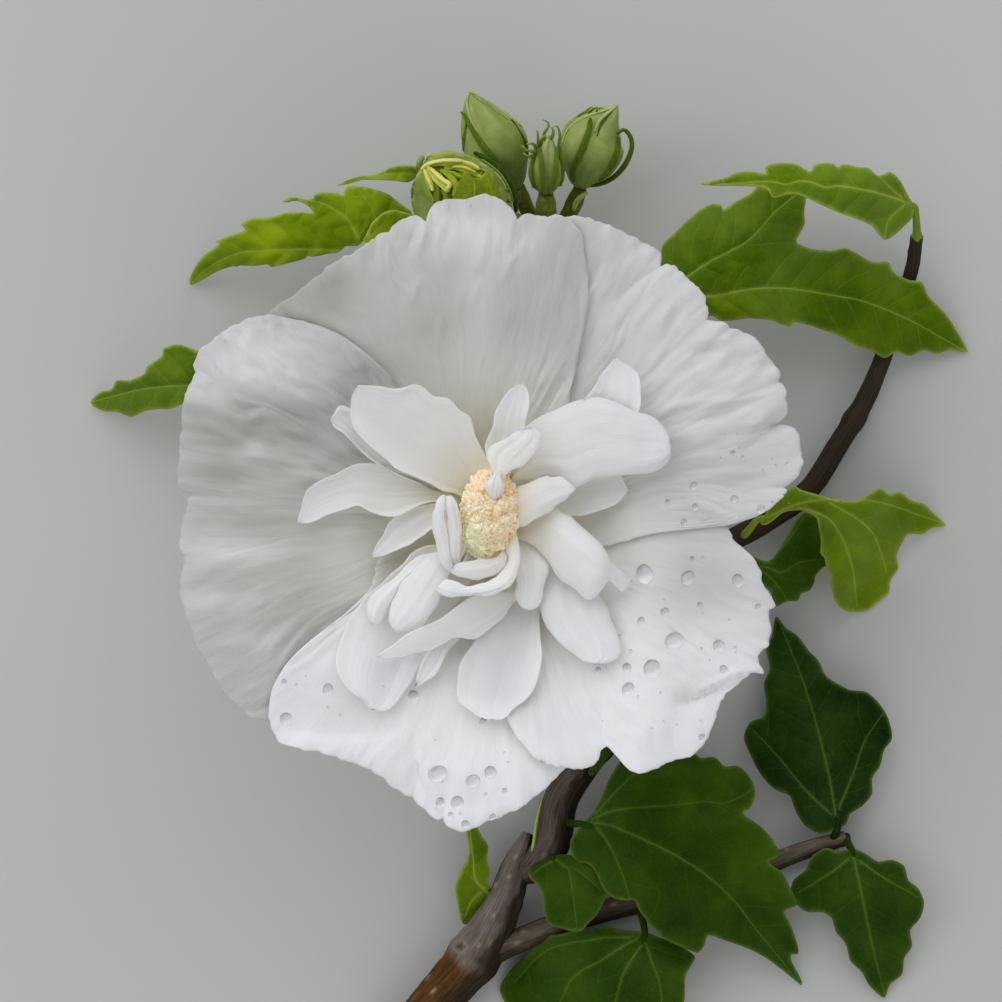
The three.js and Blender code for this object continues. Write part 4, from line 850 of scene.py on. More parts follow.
# ------------------------------------------------------------------ bloom: inner petaloids
CENTRE = (487.0, 518.0)
# painted shade: how much grey each petaloid is given
PETALOID_PAINTED_SHADE = dict(left_long=0.38, right=0.20, upper_front=0.28, top_tongue=0.18, upper_left=0.20, upper_left_back=0.15, upper=0.15, ring_inner=0.18)
PETALOIDS = {
    "upper_left_back": {'L': [(456, 494), (424, 486), (396, 474), (372, 460), (356, 446), (343, 433), (335, 428), (331, 418)], 'R': [(462, 484), (430, 466), (400, 450), (380, 436), (362, 420), (352, 410), (341, 407), (331, 418)], 'z': [(0, 44), (0.4, 49), (0.75, 51.8), (1, 54.2)], 'cup': 0.5, 'tilt': 0, 'e': 1.6},
    "upper_left": {'L': [(474, 506), (458, 493), (444, 490), (424, 482), (404, 472.6), (383.7, 459), (367.7, 444.5), (357, 434), (350, 420), (350, 407), (351.5, 396), (357, 386)], 'R': [(491, 496), (491, 474), (488, 463), (481.5, 447), (473, 428), (470, 416), (461, 411.5), (449.4, 399.5), (434, 396), (424, 386.5), (414.5, 383), (406.5, 386), (397, 388), (376, 387), (357, 386)], 'z': [(0, 46), (0.3, 50.5), (0.6, 53.5), (0.85, 55.5), (1, 56.3)], 'cup': 1.5, 'tilt': 0.6, 'e': 1.0},
    "left_long": {'L': [(468, 516), (434.6, 502), (424, 504.7), (408, 510), (397, 514.8), (383.7, 515.4), (370, 511.6), (359.6, 506.4), (346, 508.7), (327.5, 515.4), (307, 523), (298.5, 524)], 'R': [(470, 500), (437, 484), (410.5, 474), (391.8, 468), (377, 465), (365, 463.8), (353, 465.5), (337, 474), (320.8, 480.4), (307.4, 488.5), (300.7, 507), (298.5, 524)], 'z': [(0, 43), (0.35, 49.3), (0.7, 51.8), (1, 53)], 'cup': 1.1, 'tilt': -0.4, 'e': 1.0},
    "left_small": {'L': [(468, 530), (448, 532), (433.3, 527.7), (419.5, 538.4), (405.7, 546), (388.9, 554.4), (371.8, 557)], 'R': [(466, 514), (447, 502), (432, 503), (410.5, 508.5), (391.8, 519), (386.4, 527.5), (382.4, 535.5), (377, 543.6), (371.8, 557)], 'z': [(0, 43), (0.4, 47.8), (0.8, 49.8), (1, 50)], 'cup': 0.8, 'tilt': -0.3, 'e': 0.9},
    "curl_left": {'L': [(451, 573), (441, 560), (436, 546), (434, 528), (433.6, 512.8), (435.5, 502), (439, 497), (443, 495)], 'R': [(457, 573), (453.5, 560), (450.5, 545), (447, 530), (444.6, 520), (444.4, 511), (447, 503), (447.4, 498), (443.8, 494.8)], 'z': [(0, 54.6), (0.15, 55.8), (0.3, 56.6), (0.5, 57.6), (0.8, 58.4), (1, 57.4)], 'cup': -1.4, 'tilt': -0.5, 'e': -0.6},
    "curl_right": {'L': [(452, 573), (447, 560), (446.4, 545), (447.6, 530), (447.6, 520), (446, 511), (443.6, 503.5), (445.2, 498), (450.5, 496.4)], 'R': [(462, 570), (460.5, 560), (460.6, 548), (461, 534), (460, 519), (457.5, 507), (454.5, 500), (450.5, 496.4)], 'z': [(0, 54.2), (0.15, 55.2), (0.3, 56.2), (0.5, 57.2), (0.8, 58.2), (1, 57.6)], 'cup': -1.4, 'tilt': 0.5, 'e': -0.6},
    "lower_left": {'L': [(452, 548), (432, 544), (411.8, 552), (402.7, 564.4), (384.3, 581), (366, 595), (356.7, 608.8), (350.6, 615), (343, 633), (338.4, 650), (336.8, 667), (343, 682), (353.7, 693), (362.9, 699.5), (371, 710)], 'R': [(478, 560), (466, 590), (450, 612), (442, 630), (436, 643), (430, 652), (424, 660), (418, 668), (408.8, 685), (396.5, 702), (385.8, 710), (371, 710)], 'z': [(0, 45), (0.3, 49.2), (0.6, 52), (0.85, 54), (1, 54)], 'cup': 0.9, 'tilt': -1.8, 'e': 0.5, 'fold': (0.42, 1.0, 1.3)},
    "lower_left_back": {'L': [(474, 590), (446, 625), (428, 652), (420, 668), (415, 686)], 'R': [(484, 600), (462, 635), (450, 648), (445, 656), (434, 676), (415, 686)], 'z': [(0, 45), (0.4, 49.5), (1, 53.2)], 'cup': 0.4, 'tilt': 0, 'e': 0.4},
    "tongue_a": {'L': [(440, 552), (420, 556), (410, 563), (396, 578), (384, 586), (372, 596), (366.5, 606), (367, 616), (372, 624)], 'R': [(452, 566), (430, 572), (411.8, 577), (398, 594), (388, 611), (380, 623), (372, 624)], 'z': [(0, 50), (0.35, 53.2), (0.7, 55), (1, 55.3)], 'cup': -0.8, 'tilt': 0, 'e': -0.6},
    "tongue_b": {'L': [(448, 550), (428, 556), (411.8, 573), (396.5, 592), (390, 610), (388.5, 622), (394, 631)], 'R': [(466, 560), (452, 564), (447, 581), (436, 606), (424, 624), (408, 632), (394, 631)], 'z': [(0, 51), (0.35, 55), (0.7, 56.8), (1, 56.6)], 'cup': -0.9, 'tilt': 0.2, 'e': -0.7},
    "lower_fold": {'L': [(508, 592), (488, 592), (467, 600), (454.7, 608.8), (439.4, 619.5), (418, 628.7), (396.5, 642), (384, 651), (377, 657)], 'R': [(522, 596), (509.8, 607), (503.7, 618), (488.4, 630), (473, 638), (454.7, 638.6), (439.4, 644.5), (424, 652), (405.7, 655), (388, 657), (377, 657)], 'z': [(0, 47), (0.3, 52.8), (0.65, 56.2), (1, 57)], 'cup': -0.5, 'tilt': -2.6, 'e': 0.4},
    "lower": {'L': [(498, 590), (490, 610), (479, 634), (470, 650), (460.8, 665.4), (458.3, 682), (459.3, 700.6), (467, 707.2), (480.7, 716.5), (492, 719.5)], 'R': [(536, 586), (539.5, 608.8), (540, 627), (542.5, 651.6), (539, 673), (529.7, 696), (516, 707.2), (505, 718.5), (492, 719.5)], 'z': [(0, 44), (0.35, 48.6), (0.7, 51.8), (1, 53.6)], 'cup': 1.0, 'tilt': 0.4, 'e': 0.7},
    "lower_small": {'L': [(510, 540), (506, 556), (510, 570), (517, 581), (516, 599.6), (523.6, 609.5)], 'R': [(530, 540), (542, 552), (550, 566), (544, 584), (541, 602.7), (534.3, 609.3), (523.6, 609.5)], 'z': [(0, 46), (0.4, 51.4), (1, 52.5)], 'cup': -0.9, 'tilt': 0, 'e': -0.5},
    "lower_right": {'L': [(536, 560), (541, 578), (541, 608), (546, 624), (556, 638), (571, 651), (584, 661), (594, 665)], 'R': [(562, 560), (584, 572), (598, 594), (610, 616), (618, 636), (619, 654), (607, 662), (594, 665)], 'z': [(0, 46), (0.35, 50.6), (0.7, 53), (1, 53.8)], 'cup': -0.9, 'tilt': -0.3, 'e': -0.5},
    "right_low": {'L': [(518, 540), (535.7, 546), (548.4, 563), (561, 579), (574, 587), (591, 599), (601, 591), (609, 581), (616.5, 587), (623, 592.5), (631.5, 581)], 'R': [(528, 522), (538.9, 519), (554.8, 508.4), (567.6, 516), (583.5, 528), (600, 543), (608, 554), (612.4, 563.7), (621, 572), (631.5, 581)], 'z': [(0, 48), (0.35, 54), (0.65, 55.2), (0.9, 52.2), (1, 50.2)], 'cup': -1.7, 'tilt': 0.6, 'e': -0.6},
    "right_under": {'L': [(524, 520), (556, 520), (586, 514), (612, 506), (628, 492)], 'R': [(524, 492), (556, 484), (590, 476), (618, 474), (628, 492)], 'z': [(0, 44), (0.5, 48), (0.85, 50), (1, 51.8)], 'cup': 0.7, 'tilt': 0, 'e': 1.2},
    "right_back": {'L': [(540, 446), (560, 424), (586.7, 397.4), (599.4, 376.7), (609, 365.5), (615, 356)], 'R': [(575, 450), (616, 430), (637.7, 413), (641.5, 392.6), (639.5, 378), (631, 368.7), (620, 362), (615, 356)], 'z': [(0, 48), (0.5, 52.8), (0.85, 54.5), (1, 55.5)], 'cup': 0.8, 'tilt': 0, 'e': 0.8},
    "right": {'L': [(510, 470), (505, 452), (526, 426), (538.9, 416.5), (558, 408.3), (586.7, 398.6), (599, 397.2), (615, 401.3), (634.5, 410), (650, 416), (663, 427.7), (670, 440)], 'R': [(508, 482), (529, 480), (545, 476), (558, 478), (575.5, 486.4), (596, 477.5), (615, 476), (639, 474.4), (660, 468), (669.8, 458), (670, 440)], 'z': [(0, 50), (0.3, 54.2), (0.65, 56.6), (1, 55.8)], 'cup': -1.3, 'tilt': 0.6, 'e': -0.9},
    "right_small": {'L': [(508, 500), (516, 489), (527.7, 484), (548.4, 476.5), (561, 478), (575.8, 487)], 'R': [(510, 520), (521, 527), (535.7, 519), (554.8, 506.2), (572, 493.6), (575.8, 487)], 'z': [(0, 52), (0.4, 56), (1, 56.6)], 'cup': -0.8, 'tilt': -0.3, 'e': -0.4},
    "upper": {'L': [(494, 486), (490, 466), (484.4, 445), (490.5, 429.3), (495.6, 411.7), (502, 399), (510, 389), (521.3, 383.4)], 'R': [(512, 478), (524, 456), (527, 440), (526.5, 419.7), (529.6, 403.8), (528, 391), (521.3, 383.4)], 'z': [(0, 50), (0.35, 54.8), (0.7, 57.2), (1, 58.4)], 'cup': 0.8, 'tilt': -0.3, 'e': 0.6},
    "upper_front": {'L': [(496, 480), (491, 468), (486.5, 457), (488.5, 448), (497, 442), (508, 437.5), (517, 431), (528, 427.6)], 'R': [(501, 480), (511, 471), (520, 466), (533, 457), (540, 446), (543, 437), (539, 430), (528, 427.6)], 'z': [(0, 58.6), (0.25, 58.6), (0.6, 58.9), (1, 59.4)], 'cup': -0.5, 'tilt': 0, 'e': -0.2},
    "top_tongue": {'L': [(495, 471), (492, 477), (487, 481.5), (485.5, 486), (488, 493), (494, 500.8)], 'R': [(501, 471), (500, 478), (503, 485), (501.5, 491.5), (498.5, 496.5), (494, 500.8)], 'z': [(0, 59.2), (0.5, 60.4), (1, 59.6)], 'cup': -0.5, 'tilt': 0, 'e': -0.2},
    "ring_outer": {'L': [(506, 528), (501, 543), (503.7, 558), (499, 572), (488.4, 581), (473, 585.8), (464, 585.8), (445.5, 581), (436.5, 587)], 'R': [(514, 526), (519.5, 550.6), (519.5, 564.4), (511.5, 584), (496, 592.5), (473, 596), (454.7, 597), (442.5, 594), (436.5, 587)], 'z': [(0, 52), (0.25, 56), (0.6, 58.2), (1, 58.6)], 'cup': -0.7, 'tilt': 0.6, 'e': -0.5},
    "ring_inner": {'L': [(500, 536), (502, 548), (497.6, 556), (479, 560.4), (457.8, 562.7), (452, 568)], 'R': [(510, 540), (511, 556), (502.6, 569), (488.4, 577), (467, 578.4), (453, 574), (452, 568)], 'z': [(0, 51), (0.3, 56.6), (0.6, 57.4), (1, 57.6)], 'cup': -0.6, 'tilt': 0.3, 'e': -0.4},
}


def petaloid_grid(spec, nu, nv, seed):
    L, R = np.array(spec["L"], float), np.array(spec["R"], float)
    z0 = spec["z"][0][1]
    a, b = L[0], R[0]
    m = (a + b) / 2
    d = m - np.array(CENTRE)
    dist = np.linalg.norm(d)
    zk = [(t, z) for t, z in spec["z"]]
    L, R = catmull(L, 90), catmull(R, 90)
    claw = 0.0
    if dist > 12:
        dirn = d / dist
        side = np.array([-dirn[1], dirn[0]])
        if np.dot(side, a - b) < 0:
            side = -side
        c = np.array(CENTRE) + dirn * 12
        hw = 5.0
        steps = max(3, int(dist / 9))
        extraL, extraR = [], []
        for i in range(steps):
            t = i / steps
            s = smooth01(t) * 0.85 + 0.15 * t
            extraL.append((c + side * hw) * (1 - s) + a * s)
            extraR.append((c - side * hw) * (1 - s) + b * s)
        claw = dist
        full = length((L + R) / 2)
        share = claw / (claw + full)
        nE = max(4, int(90 * share / (1 - share)))
        L = np.vstack([resample(np.array(extraL + [a]), nE)[:-1], L])
        R = np.vstack([resample(np.array(extraR + [b]), nE)[:-1], R])
        z_base = max(37.0, z0 - 5.5 - 0.05 * dist)
        zk = [(0.0, z_base)] + [(share + t * (1 - share), z) for t, z in zk]
    n = len(L)
    par = np.linspace(0, 1, n)
    u = np.linspace(0, 1, nu)
    u = 1 - (1 - u) ** 1.15
    u = np.clip(u, 0, 0.9985)
    Lu = np.stack([np.interp(u, par, L[:, i]) for i in (0, 1)], -1)
    Ru = np.stack([np.interp(u, par, R[:, i]) for i in (0, 1)], -1)
    v = np.linspace(-1, 1, nv)
    s = np.sin(v * math.pi / 2 * 0.92) / math.sin(math.pi / 2 * 0.92)      # crowd the edges
    f = (1 + s) / 2
    uv = Lu[:, None] * (1 - f)[None, :, None] + Ru[:, None] * f[None, :, None]
    width = np.linalg.norm(Lu - Ru, axis=1) * UNIT
    zt = np.array(zk, float)
    z = soft_line(zt, u)[:, None] + np.zeros((nu, nv))
    U = np.repeat(u[:, None], nv, 1)
    S = np.repeat(s[None], nu, 0)
    env = np.clip(width / max(width.max(), 1e-6), 0, 1)[:, None]
    z = z + spec["cup"] * (S ** 2 - 0.35) * env ** 1.1
    z = z + spec["tilt"] * S * env
    z = z + spec["e"] * np.clip((np.abs(S) - 0.72) / 0.28, 0, 1) ** 2 * env * 0.8
    if "fold" in spec:
        f0, _, amp = spec["fold"]
        z = z + amp * np.exp(-((S - f0 + 0.5) / 0.35) ** 2) * env * U
    for at, wd, amp in spec.get("pleats", []):
        z = z + amp * np.exp(-((S - at) / wd) ** 2) * env
    wv = fbm(S * 2.4 + 7 * seed, U * 1.6, seed=seed, octaves=2)
    st = fbm(S * 6.5 + 3 * seed, U * 2.2, seed=seed + 1, octaves=2)
    big = fbm(uv[..., 0] / 26, uv[..., 1] / 26, seed=seed + 5, octaves=2)
    z = z + env * (0.22 * wv + 0.085 * st + 0.38 * big * U)
    # wavy free edge, turned down at the very rim
    z = z + env * 0.38 * (np.abs(S) ** 5) * vnoise(U * 7, np.sign(S) * 4.0, seed=seed + 2)
    z = z - 0.28 * np.clip((np.abs(S) - 0.93) / 0.07, 0, 1) ** 2 * env
    jig = 1.4 * (np.abs(S) ** 6)[..., None] * np.stack([vnoise(U * 12, S * 2, seed=seed + 3), vnoise(U * 12, S * 2, seed=seed + 4)], -1)
    uv = uv + jig
    g = P(uv[..., 0], uv[..., 1], z)
    return g, U, S


petaloid_mat = petaloid_material()
bits = Bits()
for i, (name, spec) in enumerate(PETALOIDS.items()):
    nu, nv = ((54, 32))
    g, U, S = petaloid_grid(spec, nu, nv, 60 + 7 * i)
    th = 0.36 - 0.12 * U - 0.10 * np.abs(S) ** 4
    slab(bits, g, th, reach=U, fan=S, shoot=float(i), grey=PETALOID_PAINTED_SHADE.get(name, 0.0))
petaloids = bits.object("petaloids_soft", petaloid_mat, "petal", ["petaloids"])
FLOWER_TREE = tree_of(petals + [petaloids])

# ------------------------------------------------------------------ stamens
rng = np.random.default_rng(11)
COLUMN = [(487, 518, 24.5, 1.5), (487, 518, 36, 1.7), (487, 515, 43, 2.2), (486, 514, 48, 3.9), (486, 516, 52.5, 4.2), (486, 520, 55.8, 3.6), (486, 522, 57.6, 1.6)]
col = np.array(COLUMN, float)
cl = catmull(np.hstack([P(col[:, 0], col[:, 1], col[:, 2]), col[:, 3:]]), 60)
cream = pollen_material("column_cream", "#e8dcae", "#f4edca", 0.6)
b = Bits()
tube(b, cl[:, :3], cl[:, 3] * 0.93, 40, lambda s, th, R: 0.14 * fbm(s / 1.1, np.cos(th) * R / 1.1, np.sin(th) * R / 1.1, seed=4, octaves=2), tone=0.5)
column = b.object("stamen_column_core", cream, "stamen", ["stamen_column"])


def blob(nlat=6, nlon=8):
    """a small kidney-shaped lobe, closed, about 1 across"""
    v = [(0, 0, 0.5)]
    for i in range(1, nlat):
        t = math.pi * i / nlat
        for j in range(nlon):
            p = 2 * math.pi * j / nlon
            x, y, z = math.sin(t) * math.cos(p), math.sin(t) * math.sin(p), math.cos(t)
            v.append((0.62 * x, 0.42 * y + 0.16 * (x * x) - 0.05, 0.5 * z * (1 - 0.18 * math.exp(-(x / 0.3) ** 2))))
    v.append((0, 0, -0.5))
    tri, quad = [], []
    for j in range(nlon):
        tri.append((0, 1 + j, 1 + (j + 1) % nlon))
    for i in range(nlat - 2):
        for j in range(nlon):
            a, c = 1 + i * nlon + j, 1 + i * nlon + (j + 1) % nlon
            quad.append((a, a + nlon, c + nlon, c))
    last = len(v) - 1
    o = 1 + (nlat - 2) * nlon
    for j in range(nlon):
        tri.append((last, o + (j + 1) % nlon, o + j))
    return np.array(v), np.array(tri), np.array(quad)


BV, BT, BQ = blob()


def scatter(bits, centres, normals, sizes, squash=1.0):
    for c, n, s in zip(centres, normals, sizes):
        n = n / np.linalg.norm(n)
        t = np.cross(n, rng.normal(size=3))
        t /= np.linalg.norm(t)
        w = np.cross(n, t)
        jit = 1 + 0.14 * rng.normal(size=(len(BV), 1))
        v = BV * jit * s
        bits.add(c + v[:, :1] * t + v[:, 1:2] * w * 1.0 + v[:, 2:] * n * squash, [BT, BQ], tone=rng.random())


def on_column(n, lo, hi, seed, spread=0.2):
    """points evenly spread round the column between two shares of its length"""
    r = np.random.default_rng(seed)
    pts, nr = [], []
    ga = math.pi * (3 - math.sqrt(5))
    _, side, over = frames(cl[:, :3])
    for i in range(n):
        f = lo + (hi - lo) * ((i + 0.5) / n) ** 0.9
        k = f * (len(cl) - 1)
        i0 = int(min(k, len(cl) - 2))
        w = k - i0
        c = cl[i0] * (1 - w) + cl[i0 + 1] * w
        th = i * ga + r.normal() * 0.2
        d = math.cos(th) * side[i0] + math.sin(th) * over[i0]
        tang = unit(cl[i0 + 1, :3] - cl[i0, :3])
        slope = (cl[i0 + 1, 3] - cl[i0, 3]) / max(np.linalg.norm(cl[i0 + 1, :3] - cl[i0, :3]), 1e-6)
        nn = unit(d - tang * slope * 0.9)
        pts.append(c[:3] + d * c[3] + nn * r.uniform(0.05, spread))
        nr.append(nn)
    return np.array(pts), np.array(nr)


def dome(u, v, rho):
    z = 51.0 + 8.6 * np.maximum(0.0, 1 - np.asarray(rho) ** 2.6) ** 0.62 + 1.0 * fbm(np.asarray(u) / 9, np.asarray(v) / 9, seed=77, octaves=2)
    return z - 1.6 * smooth01((490 - np.asarray(v)) / 26)


def mound(n, seed, lift=0.0, size=1.0):
    """points over the uneven dome of anthers, with the way each faces, its place and its height"""
    r = np.random.default_rng(seed)
    pts, nr, at = [], [], []
    ga = math.pi * (3 - math.sqrt(5))
    for i in range(n):
        rho = math.sqrt((i + 0.5) / n)
        th = i * ga + 0.3 * r.normal()
        du, dv = rho * math.cos(th), rho * math.sin(th)
        u, v = 489.5 + 29.5 * size * du - 3 * dv, 514 + 45 * size * dv
        p = P(u, v, float(dome(u, v, rho)) + lift + r.uniform(-0.22, 0.22))
        n3 = unit(np.array([du * 1.1, -dv * 1.1, 0.25 + 1.15 * (1 - rho ** 2)]) + 0.28 * r.normal(size=3))
        pts.append(p)
        nr.append(n3)
        at.append((u, v, rho))
    return np.array(pts), np.array(nr), at


# the soft bed that the anthers are packed in
bed = Bits()
br, bt = ((54, 128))
ro = np.linspace(0.03, 1.04, br)[:, None] + np.zeros((1, bt))
ta = np.linspace(0, 2 * math.pi, bt)[None] + np.zeros((br, 1))
bu, bv = 489.5 + 27.0 * ro * np.cos(ta) - 3 * ro * np.sin(ta), 514 + 42.0 * ro * np.sin(ta)
lump = fbm(bu / 2.6, bv / 2.6, seed=91, octaves=2)
bz = dome(bu, bv, np.minimum(ro, 1)) - 0.22 + 0.30 * lump - 0.55 * ro ** 4 - 5.0 * np.clip(ro - 1, 0, 1)
green_part = smooth01((480 - bu + (bv - 520) * 0.55) / 22 + 0.25) * smooth01((bv - 505) / 22)
slab(bed, P(bu, bv, bz), 0.8, tone=np.clip(0.72 + 0.25 * lump - 0.50 * green_part, 0, 1))
kinds = {k: Bits() for k in ("cream", "amber", "lime", "peach")}
stalks = Bits()
N = 900
pc, pn, at = mound(N, 3)
for i in range(N):
    c, n = pc[i], pn[i]
    u, v, rho = at[i]
    low_left = smooth01((480 - u + (v - 520) * 0.55) / 22 + 0.25) * smooth01((v - 505) / 22)
    right = smooth01((u - 500) / 12) * 0.55 + 0.45 * math.exp(-((u - 487) ** 2 + (v - 552) ** 2) / 90)
    spot = 0.65 * math.exp(-((u - 487) ** 2 + (v - 514) ** 2) / 30) + 0.75 * math.exp(-((u - 494) ** 2 + (v - 528) ** 2) / 50) + 0.5 * math.exp(-((u - 470) ** 2 + (v - 517) ** 2) / 40)
    q = rng.random()
    kind = "lime" if q < 0.85 * low_left else ("amber" if q < 0.85 * low_left + 0.10 + 0.55 * right + 0.5 * spot else ("peach" if rng.random() < (0.45 if v < 492 else 0.22) else "cream"))
    s_ = rng.uniform(0.70, 1.16) * (0.85 if kind == "amber" else 1.0)
    scatter(kinds[kind], [c], [n], [s_], rng.uniform(0.85, 1.35))
    if i % 4 == 0:
        root = c - n * rng.uniform(1.6, 2.6)
        mid = (root + c) / 2 + rng.normal(size=3) * 0.15
        tube(stalks, catmull([root, mid, c], 5), 0.12, 5, cap0=1, cap1=1, tone=0.5)
GV, GT, GQ = blob(4, 6)
gr = Bits()
gc, gn, gat = mound(2 * N, 8, 0.45, 0.98)
for i in range(2 * N):
    c = gc[i] + rng.normal(size=3) * 0.25
    sz = rng.uniform(0.14, 0.30)
    gr.add(c + GV * sz * (1 + 0.15 * rng.normal(size=(len(GV), 1))), [GT, GQ], tone=rng.random())
def bed_material():
    m = Mat("anther_bed", 0.75, Specular_IOR_Level=0.12)
    t = m.math("ADD", m.attr("tone"), m.math("MULTIPLY", m.math("SUBTRACT", m.noise(900, 3, 0.6), 0.5), 0.5))
    c = m.ramp(t, [(0.1, "#e2e4ac"), (0.4, "#f6e6b4"), (0.65, "#fde2aa"), (0.95, "#fff0ca")])
    m.color(c)
    # painted light: the bed glows faintly in its own colour, though it is no lamp
    m.link(c, m.b.inputs["Emission Color"])
    m.b.inputs["Emission Strength"].default_value = 0.045
    m.bump(m.voronoi(2200), 0.2, 0.00012)
    soft(m, 0.45, (1.0, 0.88, 0.6), 0.0010)
    return m.m


bed.object("anther_bed", bed_material(), "stamen")
kinds["cream"].object("anthers_cream", pollen_material("anther_cream", "#ffeabf", "#fff6de"), "stamen")
kinds["amber"].object("anthers_amber", pollen_material("anther_amber", "#efc274", "#f8d89c"), "stamen")
kinds["lime"].object("anthers_green", pollen_material("anther_green", "#e8eab8", "#f5f4d0"), "stamen")
kinds["peach"].object("anthers_peach", pollen_material("anther_peach", "#fdd0a2", "#fee4c4"), "stamen")
gr.object("pollen_grains", pollen_material("pollen_grain", "#fbe3b0", "#fff3d2", 0.8), "stamen")
stalks.object("filaments", pollen_material("filament", "#f8f0d0", "#fcf8e6", 0.5), "stamen")

# ------------------------------------------------------------------ water drops on the petals
DROPS = [(645, 574, 9.6), (688, 578, 7.3), (738, 581, 6.4), (665, 612, 4.6), (641, 621, 4), (674, 641, 9.2), (719, 646, 6.2), (652, 669, 9.2), (627, 668, 5), (628, 689, 6.5), (758, 607, 3.5), (700, 605, 3), (724, 670, 4.6), (609, 618, 3), (702, 738, 4), (598, 670, 3), (693, 559, 3), (703, 559, 2.5), (620, 637, 2.5),
         (739, 523.7, 4), (694, 486, 4), (695.4, 507, 3.6), (734.5, 499, 4), (761, 509, 4.5), (668, 502, 3), (684, 522.6, 3.5), (733, 453, 3), (743, 458, 2.6), (788, 464.5, 2.6),
         (286, 719, 6.4), (328, 690, 6), (284, 682, 3), (296, 685, 2), (414, 696, 5.7), (437.4, 774, 9), (473, 781, 6.8), (490.4, 772.5, 6.4), (457.4, 803, 7), (440.4, 803, 5.3), (465.7, 824.6, 4.4), (412, 800, 2), (504.8, 791, 3), (450.7, 815, 3), (492.4, 817, 3.5), (483, 722, 4), (486, 795, 2.5)]
drng = np.random.default_rng(5)
SMALL = []
for box, n in (((700, 430, 790, 520), 16), ((600, 600, 760, 730), 16), ((430, 740, 520, 820), 8), ((280, 660, 400, 740), 5)):
    for _ in range(n):
        SMALL.append((drng.uniform(box[0], box[2]), drng.uniform(box[1], box[3]), drng.uniform(0.9, 2.0)))
b = Bits()


def drop(bits, u, v, rad):
    hit = strike(FLOWER_TREE, u, v)
    if hit is None:
        return
    c, n = hit
    r = rad * float(kz(c[2]))
    near = strike(FLOWER_TREE, u + rad * 0.9, v)
    far = strike(FLOWER_TREE, u - rad * 0.9, v)
    for q in (near, far):
        if q is None or abs(q[0][2] - c[2]) > 2.2:
            return
    n = unit(n * 0.6 + np.array([0, 0, 0.4]))
    t = unit(np.cross(n, [0.0, 1.0, 0.0]))
    w = np.cross(n, t)
    rings, sides = (5, 14) if r < 0.6 else (9, 26)
    if r < 0.25:
        rings, sides = 3, 9
    h = r * drng.uniform(0.34, 0.44)
    lob = math.pi / 2 + drng.normal() * 0.5
    st = drng.uniform(0.02, 0.12) if r > 0.5 else 0.04
    vs, fs, painted_tones = [], [], []
    low = 0.06
    prof = [(1 - (i / rings) ** 1.0, math.sqrt(max(0.0, 1 - (1 - i / rings) ** 2))) for i in range(rings)]
    ring_list = [(0.93, -low)] + [(math.cos(i / rings * math.pi / 2) ** 0.85, math.sin(i / rings * math.pi / 2)) for i in range(rings)]
    for rr, hh in ring_list:
        for j in range(sides):
            a = 2 * math.pi * j / sides
            q = 1 + st * math.cos(2 * (a - lob))
            off = (t * math.cos(a) + w * math.sin(a)) * r * rr * q
            vs.append(c + off + n * (hh * h if hh > 0 else hh))
            lean = (off[1] * 0.93 - off[0] * 0.37) / r          # towards the light, for the painted light and shade
            # painted shade on the side towards the light, painted light on the far side, a painted dark rim at the far
            # edge, and small drops painted lighter
            g = 0.60 - 0.62 * lean * (0.35 + 0.65 * rr) + 0.30 * max(-lean, 0) * smooth01((rr - 0.3) / 0.4)
            g = g - 0.20 * smooth01((rr - 0.90) / 0.08) * max(-lean, 0) + (0.34 if r < 0.5 else 0.0)
            painted_tones.append(g)
    vs.append(c + n * h)
    vs.append(c - n * low)
    painted_tones += [0.55, 0.3]
    m = len(ring_list)
    quads = []
    for i in range(m - 1):
        for j in range(sides):
            quads.append((i * sides + j, i * sides + (j + 1) % sides, (i + 1) * sides + (j + 1) % sides, (i + 1) * sides + j))
    tris = [((m - 1) * sides + j, (m - 1) * sides + (j + 1) % sides, m * sides) for j in range(sides)]
    tris += [((j + 1) % sides, j, m * sides + 1) for j in range(sides)]
    bits.add(vs, [np.array(tris), np.array(quads)], glow=np.array(painted_tones))


for d in DROPS + SMALL:
    drop(b, *d)
b.object("water_drops", water_material(), "petal")

